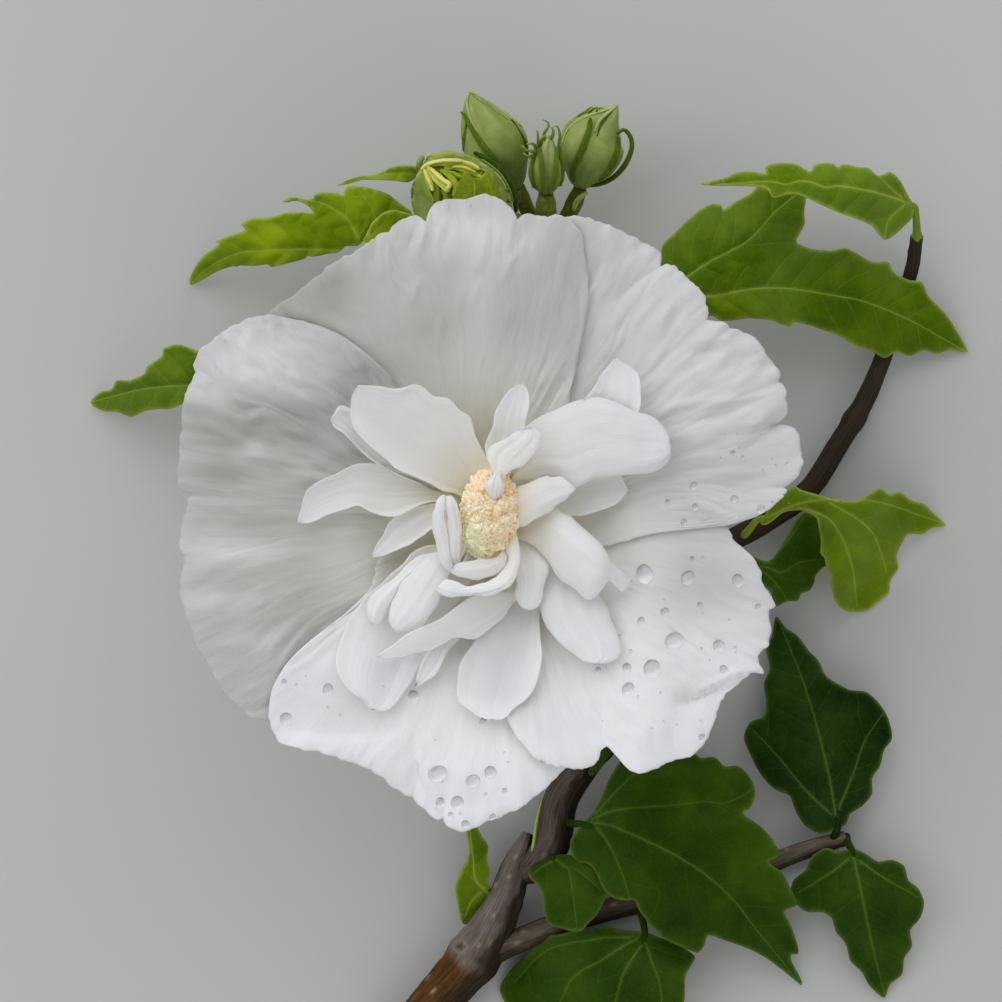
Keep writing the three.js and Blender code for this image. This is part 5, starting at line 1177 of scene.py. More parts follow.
# ------------------------------------------------------------------ stems
STEMS = {
    "main_stem": [(392, 1058, 4.43, 4.4), (437, 1000, 4.43, 4.35), (476, 954, 4.9, 4.6), (503, 904, 5.1, 3.5), (516, 867, 5.4, 2.7), (523.5, 846, 5.5, 1.8), (528, 833, 5.5, 0.9)],
    "lower_shoot": [(520, 873, 4.4, 2.1), (535, 867, 6.2, 3.0), (551, 846, 7.4, 3.4), (561, 800, 7.2, 3.3), (583, 765, 6.8, 3.1), (607, 730, 6.6, 3.0), (614, 684, 6.4, 2.9)],
    "upper_shoot": [(613.6, 692, 6.4, 2.75), (614.4, 680, 6.4, 2.9), (612, 640, 6.4, 2.85), (606, 600, 6.4, 2.8), (590, 510, 6.5, 2.7), (573, 420, 6.6, 2.5), (561, 330, 6.8, 2.3), (553, 265, 7.2, 2.1), (550, 238, 7.6, 1.9)],
    "lower_twig": [(482, 952, 5.4, 2.4), (512, 943, 5.0, 2.3), (564, 922, 4.5, 2.2), (640, 902, 4.3, 2.1), (730, 880, 4.2, 1.9), (800, 852, 4.2, 1.7), (846, 838, 4.2, 1.4)],
    "right_shoot": [(606, 640, 6.4, 2.1), (650, 590, 5.4, 2.15), (700, 556, 4.9, 2.1), (755, 528, 4.5, 2.1), (790, 505, 4.4, 2.05), (796, 500, 4.4, 1.95)],
    "right_shoot_tip": [(789, 506, 4.4, 2.05), (812, 486, 4.4, 2.05), (838, 445, 4.4, 2.0), (866, 398, 4.4, 1.8), (893, 330, 4.8, 1.5), (912, 268, 8.0, 1.3), (917, 236, 12.0, 1.2)],
    "left_twig": [(580, 470, 6.5, 1.6), (500, 438, 5.5, 1.5), (400, 400, 5.5, 1.3), (330, 384, 6.5, 1.2), (300, 381, 8.0, 1.1)],
    "flower_stalk": [(588, 500, 6.5, 1.9), (560, 508, 8.5, 1.8), (520, 516, 9.8, 1.7), (496, 518, 12.2, 1.8), (488.5, 518, 15.2, 2.2)],
    "bud_stalk_1": [(545, 242, 7.2, 1.4), (522, 236, 9.5, 1.4), (497, 229, 13.5, 1.5), (487, 223, 17.6, 1.7)],
    "bud_stalk_2": [(546, 234, 8.0, 1.4), (534, 222, 9.6, 1.4), (524, 203, 12, 1.5), (518, 187, 14.2, 1.8)],
    "bud_stalk_3": [(551, 234, 9.2, 1.5), (548, 225, 12, 1.8), (546, 208, 17.5, 1.9), (546, 194, 21.2, 1.9)],
    "bud_stalk_4": [(556, 240, 7.2, 1.4), (563, 224, 9.0, 1.5), (573, 205, 11.2, 1.6), (580, 188, 13.2, 1.8)],
}


def stem_curve(name, n=None):
    q = np.array(STEMS[name], float)
    p = np.hstack([P(q[:, 0], q[:, 1], q[:, 2]), q[:, 3:]])
    c = catmull(p, 40)
    n = n or max(12, int(length(c[:, :3]) / (0.45)))
    return catmull(p, n)


bark = bark_material()


def bark_relief(seed, amp=1.0):
    def f(s, th, R):
        x, y = np.cos(th) * 3, np.sin(th) * 3
        long = fbm(x * 1.6, y * 1.6, s / 7.5, seed=seed, octaves=3)
        ring = vnoise(x * 0.5, y * 0.5, s / 0.7, seed=seed + 1)
        fine = fbm(x * 4.5, y * 4.5, s / 2.6, seed=seed + 5, octaves=2)
        return amp * (0.06 * long * np.clip(R / 2, 0.4, 1.4) + 0.035 * ring + 0.035 * fine)
    return f


def stem_piece(name, sides, tone, green=0.0, amp=1.0, nodes=(), cuts=(3, 3), spots=0, shaded=0.0, painted_shade_side=0.0, scar=None):
    c = stem_curve(name)
    n = len(c)
    s = np.concatenate([[0], np.cumsum(np.linalg.norm(np.diff(c[:, :3], axis=0), axis=1))])
    r = c[:, 3].copy()
    for at, grow, wid in nodes:                     # swollen joints, (share of length, mm, mm)
        r += grow * np.exp(-((s - at * s[-1]) / wid) ** 2)
    b = Bits()
    th = np.arange(sides) * 2 * math.pi / sides
    _, side, over = frames(c[:, :3])                # painted shade: darker bark on the side turned down and right, away from the light
    low = unit(np.array([0.80, -0.56, -0.12]))
    turn = np.cos(th)[None] * (side @ low)[:, None] + np.sin(th)[None] * (over @ low)[:, None]
    shaded = np.clip(shaded + painted_shade_side * smooth01((turn + 0.38 + 0.35 * fbm(np.cos(th)[None] * 2, np.sin(th)[None] * 2, s[:, None] / 4, seed=77)) / 1.0), 0, 1)
    if callable(tone):
        tone = tone(s / s[-1])
    tn = np.broadcast_to(np.asarray(tone, float), (n,))[:, None] + 0.12 * fbm(np.cos(th)[None] * 2, np.sin(th)[None] * 2, s[:, None] / 3, seed=31)
    spot = np.zeros((n, sides))
    bump = np.zeros((n, sides))
    rr = np.random.default_rng(abs(len(name) * 7 + sides))
    for _ in range(spots):                          # corky pores: short pale bumps
        s0, t0 = rr.uniform(0.04, 0.96) * s[-1], rr.uniform(0, 2 * math.pi)
        da = (th[None] - t0 + math.pi) % (2 * math.pi) - math.pi
        g = np.exp(-((s[:, None] - s0) / rr.uniform(0.35, 0.7)) ** 2 - (da * r[:, None] / rr.uniform(0.22, 0.4)) ** 2)
        spot = np.maximum(spot, g)
        bump = bump + 0.16 * g
    dark = np.zeros((n, sides))
    if scar:                                        # where a leaf fell: a raised lip round a sunk dark eye
        at, way = scar[0], unit(np.array(scar[1], float))
        q = np.cos(th)[None] * (side @ way)[:, None] + np.sin(th)[None] * (over @ way)[:, None]
        d = np.hypot((s[:, None] - at * s[-1]) / 1.15, np.arccos(np.clip(q, -1, 1)) * r[:, None] / 1.45)
        bump = bump + 0.42 * np.exp(-((d - 1) / 0.38) ** 2) - 0.22 * np.exp(-(d / 0.6) ** 2)
        dark = 0.75 * np.exp(-(d / 0.6) ** 2)
        spot = np.maximum(spot, 0.30 * np.exp(-((d - 1) / 0.4) ** 2))
    base = bark_relief(len(name), amp)
    tube(b, c[:, :3], r, sides, lambda S, T, R: base(S, T, R) + bump, cuts[0], cuts[1],
         tone=np.clip(tn, 0, 1), spot=np.clip(spot, 0, 1) * 0.8, green=green if np.ndim(green) == 0 else np.asarray(green)[:, None] + np.zeros((n, sides)),
         around=np.broadcast_to(np.cos(th)[None] * 3 + 9, (n, sides)) + 0.0, along=np.repeat(s[:, None], sides, 1), dark=dark, shaded=shaded)
    return b, c, s


SIDES = 56


def lower_tone(f):
    return smooth01((f - 0.42) / 0.06)


b, c_main, s_main = stem_piece("main_stem", SIDES, lower_tone, amp=1.5, nodes=((0.485, 0.70, 2.1), (0.545, 0.25, 1.2), (0.985, 0.0, 1.5)), spots=34, cuts=(7, 6), painted_shade_side=1.0, scar=(0.505, (-0.53, 0.41, 0.74)))
b.object("main_stem_bark", bark, "bark", ["main_stem"])
# the last column, shaded, is painted shade for shoots that lie in shadow
for name, sides, tone, green, amp, nodes, spots, shaded in (
        ("lower_shoot", SIDES - 8, 0.8, 0.0, 0.55, ((0.72, 0.35, 1.6),), 26, 0.42),
        ("upper_shoot", SIDES - 8, 0.8, 0.35, 0.8, ((0.022, 0.42, 1.4), (0.2, 0.3, 1.5), (0.55, 0.3, 1.5), (0.93, 0.5, 1.8)), 16, 0.85),
        ("lower_twig", SIDES // 2, 0.75, 0.1, 1.0, ((0.03, 0.6, 2.2), (0.62, 0.45, 1.4)), 18, 0.25),
        ("right_shoot", SIDES // 2, 0.7, 0.15, 0.9, ((0.5, 0.3, 1.4), (0.97, 0.2, 1.2)), 10, 0.95),
        ("right_shoot_tip", SIDES // 2, 0.75, 0.1, 0.9, ((0.03, 0.25, 1.2), (0.35, 0.3, 1.4)), 14, 0.95),
        ("left_twig", SIDES // 2, 0.6, 0.45, 0.8, ((0.5, 0.3, 1.3),), 8, 0.4)):
    b, c, s = stem_piece(name, sides, tone, green, amp, nodes, (3, 4), spots, shaded, dict(lower_twig=0.7, lower_shoot=0.8).get(name, 0.0))
    b.object(name + "_bark", bark, "bark", [name])

stalk_green = green_material("stalk_green", [(0.0, "#363d05"), (0.45, "#576114"), (0.8, "#7c8632"), (1.0, "#9da45c")], 0.4)
bud_green = green_material("bud_green", [(0.0, "#3a4106"), (0.22, "#506014"), (0.5, "#788a3b"), (0.78, "#9aa862"), (1.0, "#c4cc92")], 0.5)
bract_green = green_material("bract_green", [(0.0, "#102b01"), (0.25, "#324d04"), (0.5, "#536b09"), (0.78, "#758c1e"), (1.0, "#aab960")], 0.4)
lime_green = green_material("bud_lime", [(0.0, "#526402"), (0.3, "#72850a"), (0.6, "#98a620"), (0.85, "#c4c94a"), (1.0, "#e2e07c")], 0.3)

for name in ("flower_stalk", "bud_stalk_1", "bud_stalk_2", "bud_stalk_3", "bud_stalk_4"):
    c = stem_curve(name)
    s = np.concatenate([[0], np.cumsum(np.linalg.norm(np.diff(c[:, :3], axis=0), axis=1))])
    b = Bits()
    sides = 28
    r = c[:, 3] * (1 + 0.25 * np.exp(-(s / 1.2) ** 2))
    if name != "flower_stalk":
        r = r * (1 - 0.30 * smooth01((s / s[-1] - 0.72) / 0.28))
    th = np.arange(sides) * 2 * math.pi / sides
    tn = 0.45 + 0.25 * fbm(np.cos(th)[None] * 1.5, np.sin(th)[None] * 1.5, s[:, None] / 4, seed=len(name) + int(c[0, 0])) + 0.15 * (s / s[-1])[:, None]
    tube(b, c[:, :3], r, sides, lambda S, T, R: 0.05 * np.cos(5 * T) + 0.05 * fbm(np.cos(T) * 2, np.sin(T) * 2, S / 2.2, seed=9), tone=np.clip(tn, 0, 1))
    b.object(name + "_felt", stalk_green, "bud_green", [name])

# ------------------------------------------------------------------ calyx and its ring of bracts
cx, cy = AXIS
b = Bits()
na = 180
aa = np.arange(na) * 2 * math.pi / na
lobe = np.abs(np.cos(2.5 * aa)) ** 1.5


def ring_at(z, r):
    return np.stack([cx + r * np.cos(aa), cy + r * np.sin(aa), np.broadcast_to(z, aa.shape)], -1)


outer = [(16.15, 3.6), (17.2, 4.3), (18.75, 5.0), (20.6, 6.1), (22.5, 7.0), (24.1, 7.7), (25.4 + .4 * lobe, 8.1 + 0 * lobe), (26.1 + 1.4 * lobe, 8.25 + .5 * lobe), (26.8 + 2.4 * lobe, 8.4 + lobe), (27.1 + 3.7 * lobe, 8.45 + 1.8 * lobe), (27.4 + 5 * lobe, 8.5 + 2.6 * lobe)]
inner = [(27.25 + 4.8 * lobe, 8.2 + 2.45 * lobe), (26.7 + 2.4 * lobe, 8.0 + .9 * lobe), (25.4 + .4 * lobe, 7.6 + 0 * lobe), (24.6, 6.6), (24.2, 4.9)]
rows = []
for k, (z, r) in enumerate(outer):
    rr = np.broadcast_to(r, aa.shape) + (0.10 * np.cos(5 * aa) + 0.07 * np.cos(15 * aa + 1) if k > 1 else 0) + (0.05 * fbm(np.cos(aa) * 3, np.sin(aa) * 3, np.asarray(z).mean() / 2, seed=14))
    rows.append(ring_at(z, rr))
for z, r in inner:
    rows.append(ring_at(z, np.broadcast_to(r, aa.shape)))
rows = np.array(rows)
m = len(rows)
i, j = np.meshgrid(np.arange(m - 1), np.arange(na), indexing="ij")
j2 = (j + 1) % na
f = np.stack([i * na + j, i * na + j2, (i + 1) * na + j2, (i + 1) * na + j], -1).reshape(-1, 4)
tone = np.repeat(np.linspace(0.35, 0.8, m)[:, None], na, 1) + 0.15 * (1 - lobe)[None]
v = np.vstack([rows.reshape(-1, 3), [[cx, cy, 16.15]], [[cx, cy, 24.2]]])
t0 = np.stack([np.roll(np.arange(na), -1), np.arange(na), np.full(na, m * na)], -1)
t1 = np.stack([np.arange(na) + (m - 1) * na, np.roll(np.arange(na), -1) + (m - 1) * na, np.full(na, m * na + 1)], -1)
b.add(v, [f, t0, t1], tone=np.concatenate([np.clip(tone, 0, 1).reshape(-1), [0.4, 0.4]]))
b.object("calyx_felt", bud_green, "bud_green", ["calyx"])

b = Bits()
th = np.linspace(0, 2 * math.pi, 61)
tube(b, np.stack([cx + 5.35 * np.cos(th), cy + 5.35 * np.sin(th), np.full(61, 17.3)], -1), 0.55, 10, cap0=1, cap1=1, tone=0.4)
for k in range(7):
    a = math.radians(20 + 51.43 * k)
    pts = [(5.2, 17.3), (6.6, 17.6), (8.6, 18.4), (11.2, 20.6), (13.2, 23.75 + k % 3)]
    rr = catmull([(p[0], p[1]) for p in pts], 26)
    t = np.linspace(0, 1, 26)
    hw = 0.95 * (1 - 0.75 * t ** 2) * (0.75 + 0.5 * np.sin(math.pi * np.clip(t * 0.9 + 0.1, 0, 1)))
    s = np.linspace(-1, 1, 9)
    dirn = np.array([math.cos(a), math.sin(a)])
    side = np.array([-dirn[1], dirn[0]])
    g = np.zeros((26, 9, 3))
    bend = 0.5 * math.sin(k * 2.1) * t ** 2
    for q in range(9):
        off = s[q] * hw + bend
        g[:, q, 0] = cx + rr[:, 0] * dirn[0] + off * side[0]
        g[:, q, 1] = cy + rr[:, 0] * dirn[1] + off * side[1]
        g[:, q, 2] = rr[:, 1] + 0.22 * s[q] ** 2 * np.sin(math.pi * t)
    slab(b, g, 0.45, tone=0.35 + 0.4 * t[:, None] + 0 * s[None])
b.object("epicalyx_bracts", bract_green, "bud_green", ["epicalyx"])

# ------------------------------------------------------------------ outlines filled with a fine net
def fill(outline, step, jitter=0.25, seed=1, lines=()):
    """triangles inside a closed outline (layout units), finer along some lines: points, faces, boundary count"""
    out = np.asarray(outline, float)
    per = length(np.vstack([out, out[:1]]))
    nb = max(16, int(per / step))
    bd = resample(out, nb, closed=True)
    area = 0.5 * np.sum(bd[:, 0] * np.roll(bd[:, 1], -1) - np.roll(bd[:, 0], -1) * bd[:, 1])
    if area < 0:
        bd = bd[::-1]
    lo, hi = bd.min(0), bd.max(0)
    xs = np.arange(lo[0], hi[0], step)
    ys = np.arange(lo[1], hi[1], step * 0.866)
    gx, gy = np.meshgrid(xs, ys)
    gx = gx + (np.arange(len(ys)) % 2)[:, None] * step / 2
    g = np.stack([gx, gy], -1).reshape(-1, 2)
    g = g + jitter * step * np.random.default_rng(seed).uniform(-1, 1, g.shape)
    g = g[inside(g, bd)]
    d, _, _ = near_line(g, np.vstack([bd, bd[:1]]))
    g = g[d > step * 0.62]
    for ln in lines:
        c = resample(catmull(ln, 80), max(4, int(length(catmull(ln, 80)) / (step * 0.75))))
        t = unit(np.gradient(c, axis=0))
        nrm = np.stack([-t[:, 1], t[:, 0]], -1)
        off = min(1.25, step * 0.5)
        extra = np.vstack([c, c + nrm * off, c - nrm * off])
        extra = extra[inside(extra, bd)]
        d, _, _ = near_line(extra, np.vstack([bd, bd[:1]]))
        extra = extra[d > step * 0.4]
        d, _, _ = near_line(g, c)
        g = g[d > off * 1.9]
        g = np.vstack([g, extra])
    pts = np.vstack([bd, g])
    res = delaunay_2d_cdt([Vector(p) for p in pts.tolist()], [(i, (i + 1) % nb) for i in range(nb)], [], 0, 1e-6)
    co = np.array([(p[0], p[1]) for p in res[0]])
    tri = np.array([t for t in res[2] if len(t) == 3])
    mid = co[tri].mean(1)
    tri = tri[inside(mid, bd)]
    a, b, c = co[tri[:, 0]], co[tri[:, 1]], co[tri[:, 2]]
    cr = (b[:, 0] - a[:, 0]) * (c[:, 1] - a[:, 1]) - (b[:, 1] - a[:, 1]) * (c[:, 0] - a[:, 0])
    # layout "down" runs against +Y, so turn every face the other way to look up
    tri = np.where((cr > 0)[:, None], tri[:, ::-1], tri)
    return co, tri, nb


def edges_once(tri):
    e = np.concatenate([tri[:, [0, 1]], tri[:, [1, 2]], tri[:, [2, 0]]])
    key = {(a, b) for a, b in e.tolist()}
    return np.array([(a, b) for a, b in e.tolist() if (b, a) not in key])


def skin(bits, p3, tri, thick, **attrs):
    """closed thin solid from an upper sheet of triangles in mm"""
    fn = np.cross(p3[tri[:, 1]] - p3[tri[:, 0]], p3[tri[:, 2]] - p3[tri[:, 0]])
    nr = np.zeros_like(p3)
    for k in range(3):
        np.add.at(nr, tri[:, k], fn)
    nr = unit(nr)
    t = np.broadcast_to(np.asarray(thick, float), (len(p3),))[:, None]
    n = len(p3)
    e = edges_once(tri)
    side = np.stack([e[:, 1], e[:, 0], e[:, 0] + n, e[:, 1] + n], -1)
    at = {k: np.concatenate([np.broadcast_to(x, (n,))] * 2) for k, x in attrs.items()}
    at["under"] = np.concatenate([np.zeros(n), np.ones(n)])
    bits.add(np.vstack([p3 + nr * t / 2, p3 - nr * t / 2]), [tri, tri[:, ::-1] + n, side], **at)


# ------------------------------------------------------------------ leaves
LEAVES = {
    "leaf_upper_left": {'attach': (553, 264, 7.2), 'mid': [(400, 238, 16.5), (356, 243, 19), (262, 250, 17.5), (190.8, 285, 1.0)], 'tm': 0.17, 'out': [(362, 242), (357, 246), (346, 246), (337, 252.8), (329, 253.6), (313, 257), (308, 255.5), (305.5, 258.2), (296, 261), (279.5, 265.6), (270.9, 266.8), (268, 264), (254.6, 265.7), (240, 265.2), (237.2, 267.2), (234.7, 265.8), (221.5, 269.4), (205, 278.5), (190.8, 285.2), (190, 277.7), (195.8, 266), (203.2, 256), (216.5, 246.6), (219.8, 244.2), (216, 241), (228, 236.2), (243, 231.2), (245.5, 229), (241.4, 223.6), (253, 218), (263, 218), (274.5, 216.3), (286, 212.7), (302.7, 212.2), (312.6, 213), (310.5, 208.5), (304.4, 203.4), (296, 200.8), (286, 202.4), (282.3, 201.4), (288, 198), (296, 197.3), (304.4, 199), (313, 198.6), (314.3, 194.6), (321, 192.6), (329.2, 192.2), (337.5, 193.4), (343.3, 195.4), (344.2, 191.5), (347.5, 186.5), (355.8, 186), (365.7, 187.3), (379, 190.6), (389, 194.8), (395.6, 199.7), (405, 207), (412, 212.5), (409, 215.5), (396, 212), (387, 212.5), (380, 217.5), (373, 225), (368, 234)], 'veins': [[(359, 242), (338, 250.3), (321, 249), (296, 248.7), (263, 250.3), (238, 253), (205, 270), (192, 283)], [(359, 242), (349, 221), (330, 207), (312, 201), (290, 200)], [(359, 242), (375, 231), (372, 210), (360, 192)]], 'flap': {'out': [(362, 244), (367, 233), (372, 223), (379, 216), (386, 211), (396, 210), (409, 213.5), (420, 217.5), (438, 228), (436, 246), (415, 256), (390, 258), (372, 253)], 'dz': 1.6}, 'sp': -0.25, 'sn': 0.1, 'hue': 0.75},
    "leaf_bud": {'attach': (547, 232, 9.0), 'mid': [(428, 178, 14.5), (400, 173, 19), (365, 178, 20), (336.7, 185.6, 17)], 'tm': 0.02, 'out': [(430, 178), (419, 175), (409, 182.3), (395.5, 180.7), (379, 179.8), (362.4, 179.8), (347.5, 184), (336.7, 185.8), (345.8, 180.4), (359, 176.2), (370.7, 175.2), (382.3, 172), (389, 167.9), (400.5, 165.4), (412, 165.8), (420, 168.2), (428, 174)], 'veins': [[(425, 176), (400, 173), (365, 178), (337, 185.6)]], 'sp': 0.35, 'sn': 0.25, 'hue': 0.85},
    "leaf_left": {'attach': (302, 381, 7.9), 'mid': [(286, 378, 9.5), (220, 384, 15), (150, 388, 13), (92, 402, 1.0)], 'tm': 0.02, 'out': [(286, 378), (276, 390), (262, 402), (248, 408), (240, 420), (226, 428), (214, 424), (208, 412), (196, 406), (187, 402.5), (171, 409), (158, 409), (144, 411.5), (132, 417), (118, 412), (104, 411), (90, 403), (100, 392), (112, 389), (117, 380), (130, 380), (144, 374), (148, 366), (162, 356), (163, 349), (172, 345.5), (181, 345), (196, 350), (206, 354), (212, 342), (226, 334), (238, 340), (246, 352), (260, 356), (274, 366)], 'veins': [[(283, 379), (220, 384), (150, 388), (95, 401)], [(283, 379), (250, 358), (228, 340)], [(283, 379), (246, 398), (226, 422)]], 'sp': 0.1, 'sn': 0.1, 'hue': 0.4},
    "leaf_top_right": {'attach': (917, 238, 11.8), 'mid': [(914, 206, 21), (862, 190, 30), (780, 183, 31), (699.5, 184, 24)], 'tm': 0.02, 'out': [(914, 206), (908, 196), (900, 181), (890, 172), (878, 176), (868, 168), (857.6, 167.5), (848.5, 165), (840.6, 165), (838, 167.6), (832.8, 164), (822.3, 163.2), (813.8, 165.6), (811, 171.8), (804, 168.7), (796.2, 164.4), (785.7, 163.2), (772.7, 164), (764.8, 167.6), (766, 173.8), (754.4, 172), (741.3, 172), (730.8, 175), (728.2, 177.4), (713.8, 180.5), (699.5, 184), (712.5, 185.6), (733.4, 185.6), (754.4, 186.6), (767.4, 189), (773, 198), (785.7, 194.9), (796.2, 194.2), (806.7, 198), (822.3, 205.3), (838, 212.5), (857.6, 219), (872, 226), (884, 240), (893, 236), (902, 228), (912, 218)], 'veins': [[(912, 205), (880, 194), (858, 189.3), (838, 186.4), (825, 187.7), (812, 182.7), (797, 181.8), (786, 184.4), (770, 181.8), (746, 182.7), (712, 185)], [(905, 202), (890, 188), (880, 178)], [(905, 204), (888, 220), (884, 236)]], 'sp': 0.45, 'sn': -0.55, 'hue': 0.46},
    "leaf_right": {'attach': (562, 332, 6.8), 'mid': [(655, 303, 14), (735, 291, 21), (840, 296, 17), (965, 352, 1.0)], 'tm': 0.05, 'out': [(655, 303), (656, 285), (660.2, 262.2), (662.8, 245.2), (674.6, 233.4), (687.7, 220.4), (699.5, 209.9), (712.5, 204), (720.4, 205), (723.6, 209.8), (733.4, 203.2), (741.3, 198.6), (751.7, 192.9), (758, 186), (772.7, 188.3), (784, 182), (796, 186), (808, 182), (806, 199.5), (804, 212.5), (804.7, 223), (800, 233.4), (796.2, 242.6), (811.9, 249), (831.5, 250.6), (845, 248), (857.6, 254), (872, 262), (888, 262), (893, 272), (908, 280), (922, 282), (928, 296), (944, 312), (956, 330), (968, 352), (950, 350), (936, 354), (924, 350), (910, 356), (896, 352), (884, 358), (871, 350), (856.3, 345.9), (844.6, 339.3), (831.5, 332.8), (811.9, 326.3), (793.6, 321.8), (789.7, 326.6), (772.7, 321), (759.6, 319), (749, 318.2), (733.4, 320.4), (720.4, 320.6), (712.5, 315.8), (695, 318), (680, 316), (668, 322), (658, 316)], 'veins': [[(660, 301), (690, 298), (718, 295), (746, 289.7), (766, 288), (786, 288.4), (812, 291.6), (838, 296.2), (859, 300), (905, 318), (965, 351)], [(664, 300), (680, 282), (695.5, 271.4), (713.8, 259.6), (729.5, 251.7), (749, 240), (775, 212), (800, 192)], [(664, 302), (684, 306), (705, 312)]], 'sp': 0.05, 'sn': -0.2, 'hue': 0.43},
    "leaf_right_mid": {'attach': (742, 537, 4.6), 'mid': [(757, 520, 13), (800, 501, 22), (868, 498, 19), (942, 522, 1.0)], 'tm': 0.06, 'out': [(760, 523), (765, 515), (771.9, 505), (780, 498), (787.2, 491), (794.8, 486), (801.2, 490), (816.5, 494.4), (831.8, 498.8), (842, 500), (857.3, 500.5), (868, 494), (880, 488), (888, 494), (900, 492), (910, 500), (924, 504), (934, 514), (946, 525), (932, 528), (922, 534), (908, 534), (902, 542), (896, 556), (898, 568), (890, 580), (889, 592), (878, 602), (868, 610), (857.3, 611.6), (845.9, 611), (839.5, 607), (834.4, 599.4), (831.2, 586.7), (830.6, 575.2), (826.7, 567.6), (824.2, 557.3), (820.4, 553.5), (821, 542), (819, 529.3), (816.5, 517.8), (810, 512.7), (801.2, 510), (791, 510.4), (782, 513), (774.4, 519.5), (766, 525)], 'veins': [[(760, 521), (800, 503), (868, 500), (940, 522)], [(790, 503), (830, 520), (850, 560), (856, 605)], [(830, 502), (870, 530), (886, 570)]], 'sp': -0.25, 'sn': -0.5, 'hue': 0.6},
    "leaf_right_under": {'attach': (705, 554, 4.9), 'mid': [(735, 566, 6.8), (770, 566, 9), (800, 566, 8), (840, 560, 4.0)], 'tm': 0.1, 'out': [(738, 566), (750, 556), (761, 560), (769.3, 561), (775.7, 555), (788.5, 533), (796, 519), (804, 512), (816, 517), (828, 526), (832, 545), (844, 556), (838, 566), (826, 566), (821.6, 568.4), (815.3, 575.8), (814, 583), (808.9, 591), (801, 593.4), (797.4, 601), (789.7, 600.9), (783.4, 603), (775.7, 606.2), (770.6, 592.5), (763, 585), (752, 580), (744, 574)], 'veins': [[(740, 567), (765, 567), (781, 572), (800, 562), (838, 560)], [(760, 567), (782, 548), (803, 518)], [(760, 568), (775, 582), (786, 598)]], 'sp': 0.0, 'sn': -0.1, 'hue': 0.15},
    "leaf_big": {'attach': (566, 822, 8), 'mid': [(583, 824, 14), (650, 843, 19), (728, 893, 15), (801, 985, 1.0)], 'tm': 0.0, 'out': [(583, 823), (571.4, 838), (570.4, 848), (575.5, 860.4), (589.8, 864.5), (598, 876.7), (604, 890), (614.3, 898), (626.5, 900.5), (634.7, 900), (638.8, 909.4), (651, 925.7), (663.3, 938), (679.6, 946), (697, 952.6), (704, 946), (708.2, 935), (724.5, 940), (744.9, 947), (765.3, 957.3), (785.7, 972.7), (801.5, 985.5), (800, 976.7), (791.8, 962.4), (790.8, 954.3), (798.4, 953.3), (796, 940), (789.8, 923.7), (783.7, 911.4), (791.8, 907.3), (797.4, 903.3), (791.8, 891), (785.7, 878.8), (779.6, 870.6), (768, 862), (777.6, 856.8), (778, 850), (771.4, 838), (759.2, 825.7), (744.9, 815.5), (743, 811), (749, 809.4), (754, 801), (755, 789), (748, 774.7), (737, 766), (724.5, 766.5), (714, 757), (700, 758), (688, 748), (668, 750), (650, 744), (632, 752), (618, 764), (608, 782), (600, 800), (592, 814)], 'veins': [[(586.7, 822.7), (608, 824.7), (626.5, 831.8), (653, 844), (673.5, 854.3), (694, 866.5), (714.3, 881.8), (734.7, 901.2), (755, 927.8), (781.6, 960.4), (800, 984)], [(590, 821), (610, 812), (630.6, 808.4), (673.5, 805.3), (704, 802), (724.5, 803), (752, 790)], [(596, 826), (608, 842), (616, 858), (622, 872), (630, 898)], [(592, 819), (618, 790), (648, 762)]], 'sp': -0.1, 'sn': -0.05, 'hue': 0.17},
    "leaf_small": {'attach': (556, 843, 7.6), 'mid': [(551, 854, 10), (557, 866, 13), (567, 882, 14), (579, 931, 12.5)], 'tm': 0.0, 'out': [(552, 855), (545, 853.5), (540, 848), (539.5, 838), (541, 820), (543, 803), (541.3, 798), (539.3, 803), (537.6, 817.6), (534.7, 842), (531.6, 860.4), (528, 870.6), (530.6, 879), (537.8, 885), (542.9, 897), (543.6, 911.4), (549, 923.7), (561, 928), (571.4, 931), (581.6, 931), (587.8, 923.7), (595.9, 915.5), (604, 901), (606, 889), (602, 876), (590, 862), (576, 857), (564, 854.5)], 'veins': [[(552, 856), (558, 862), (567, 868), (571, 883), (577, 926)], [(558, 860), (545, 866), (534, 874)], [(563, 864), (582, 874), (598, 888)]], 'sp': -0.1, 'sn': -0.2, 'hue': 0.18},
    "leaf_bottom": {'attach': (640, 903, 4.3), 'mid': [(645, 934, 11), (636, 958, 12.5), (617, 998, 9.5), (592, 1085, 1.0)], 'tm': 0.0, 'out': [(645, 932), (622.4, 930), (606, 926), (591.8, 930), (576, 930), (561, 934), (545, 936), (532.7, 942), (532.7, 950), (520.4, 960.4), (510.2, 970.6), (500, 987), (504, 1001), (512, 1010), (516, 1024), (530, 1026), (542, 1036), (556, 1032), (564, 1044), (562, 1058), (572, 1068), (580, 1080), (592, 1087), (604, 1078), (616, 1070), (622, 1058), (636, 1052), (644, 1040), (656, 1036), (666, 1024), (676, 1016), (684, 1002), (684.7, 985), (685.7, 974.7), (692.9, 962.4), (694.4, 956), (680, 946), (663.3, 939)], 'veins': [[(643, 936), (640.8, 946), (630.6, 960.4), (622.4, 976.7), (617.3, 995), (606, 1040), (593, 1084)], [(640, 938), (620, 948), (598, 962.4), (581.6, 970.6), (569.4, 983), (560, 1004), (548, 1030)], [(643, 938), (651, 960), (660, 985), (662, 1020)], [(638, 937), (590, 940), (548, 950), (515, 982)]], 'sp': -0.12, 'sn': -0.1, 'hue': 0.14},
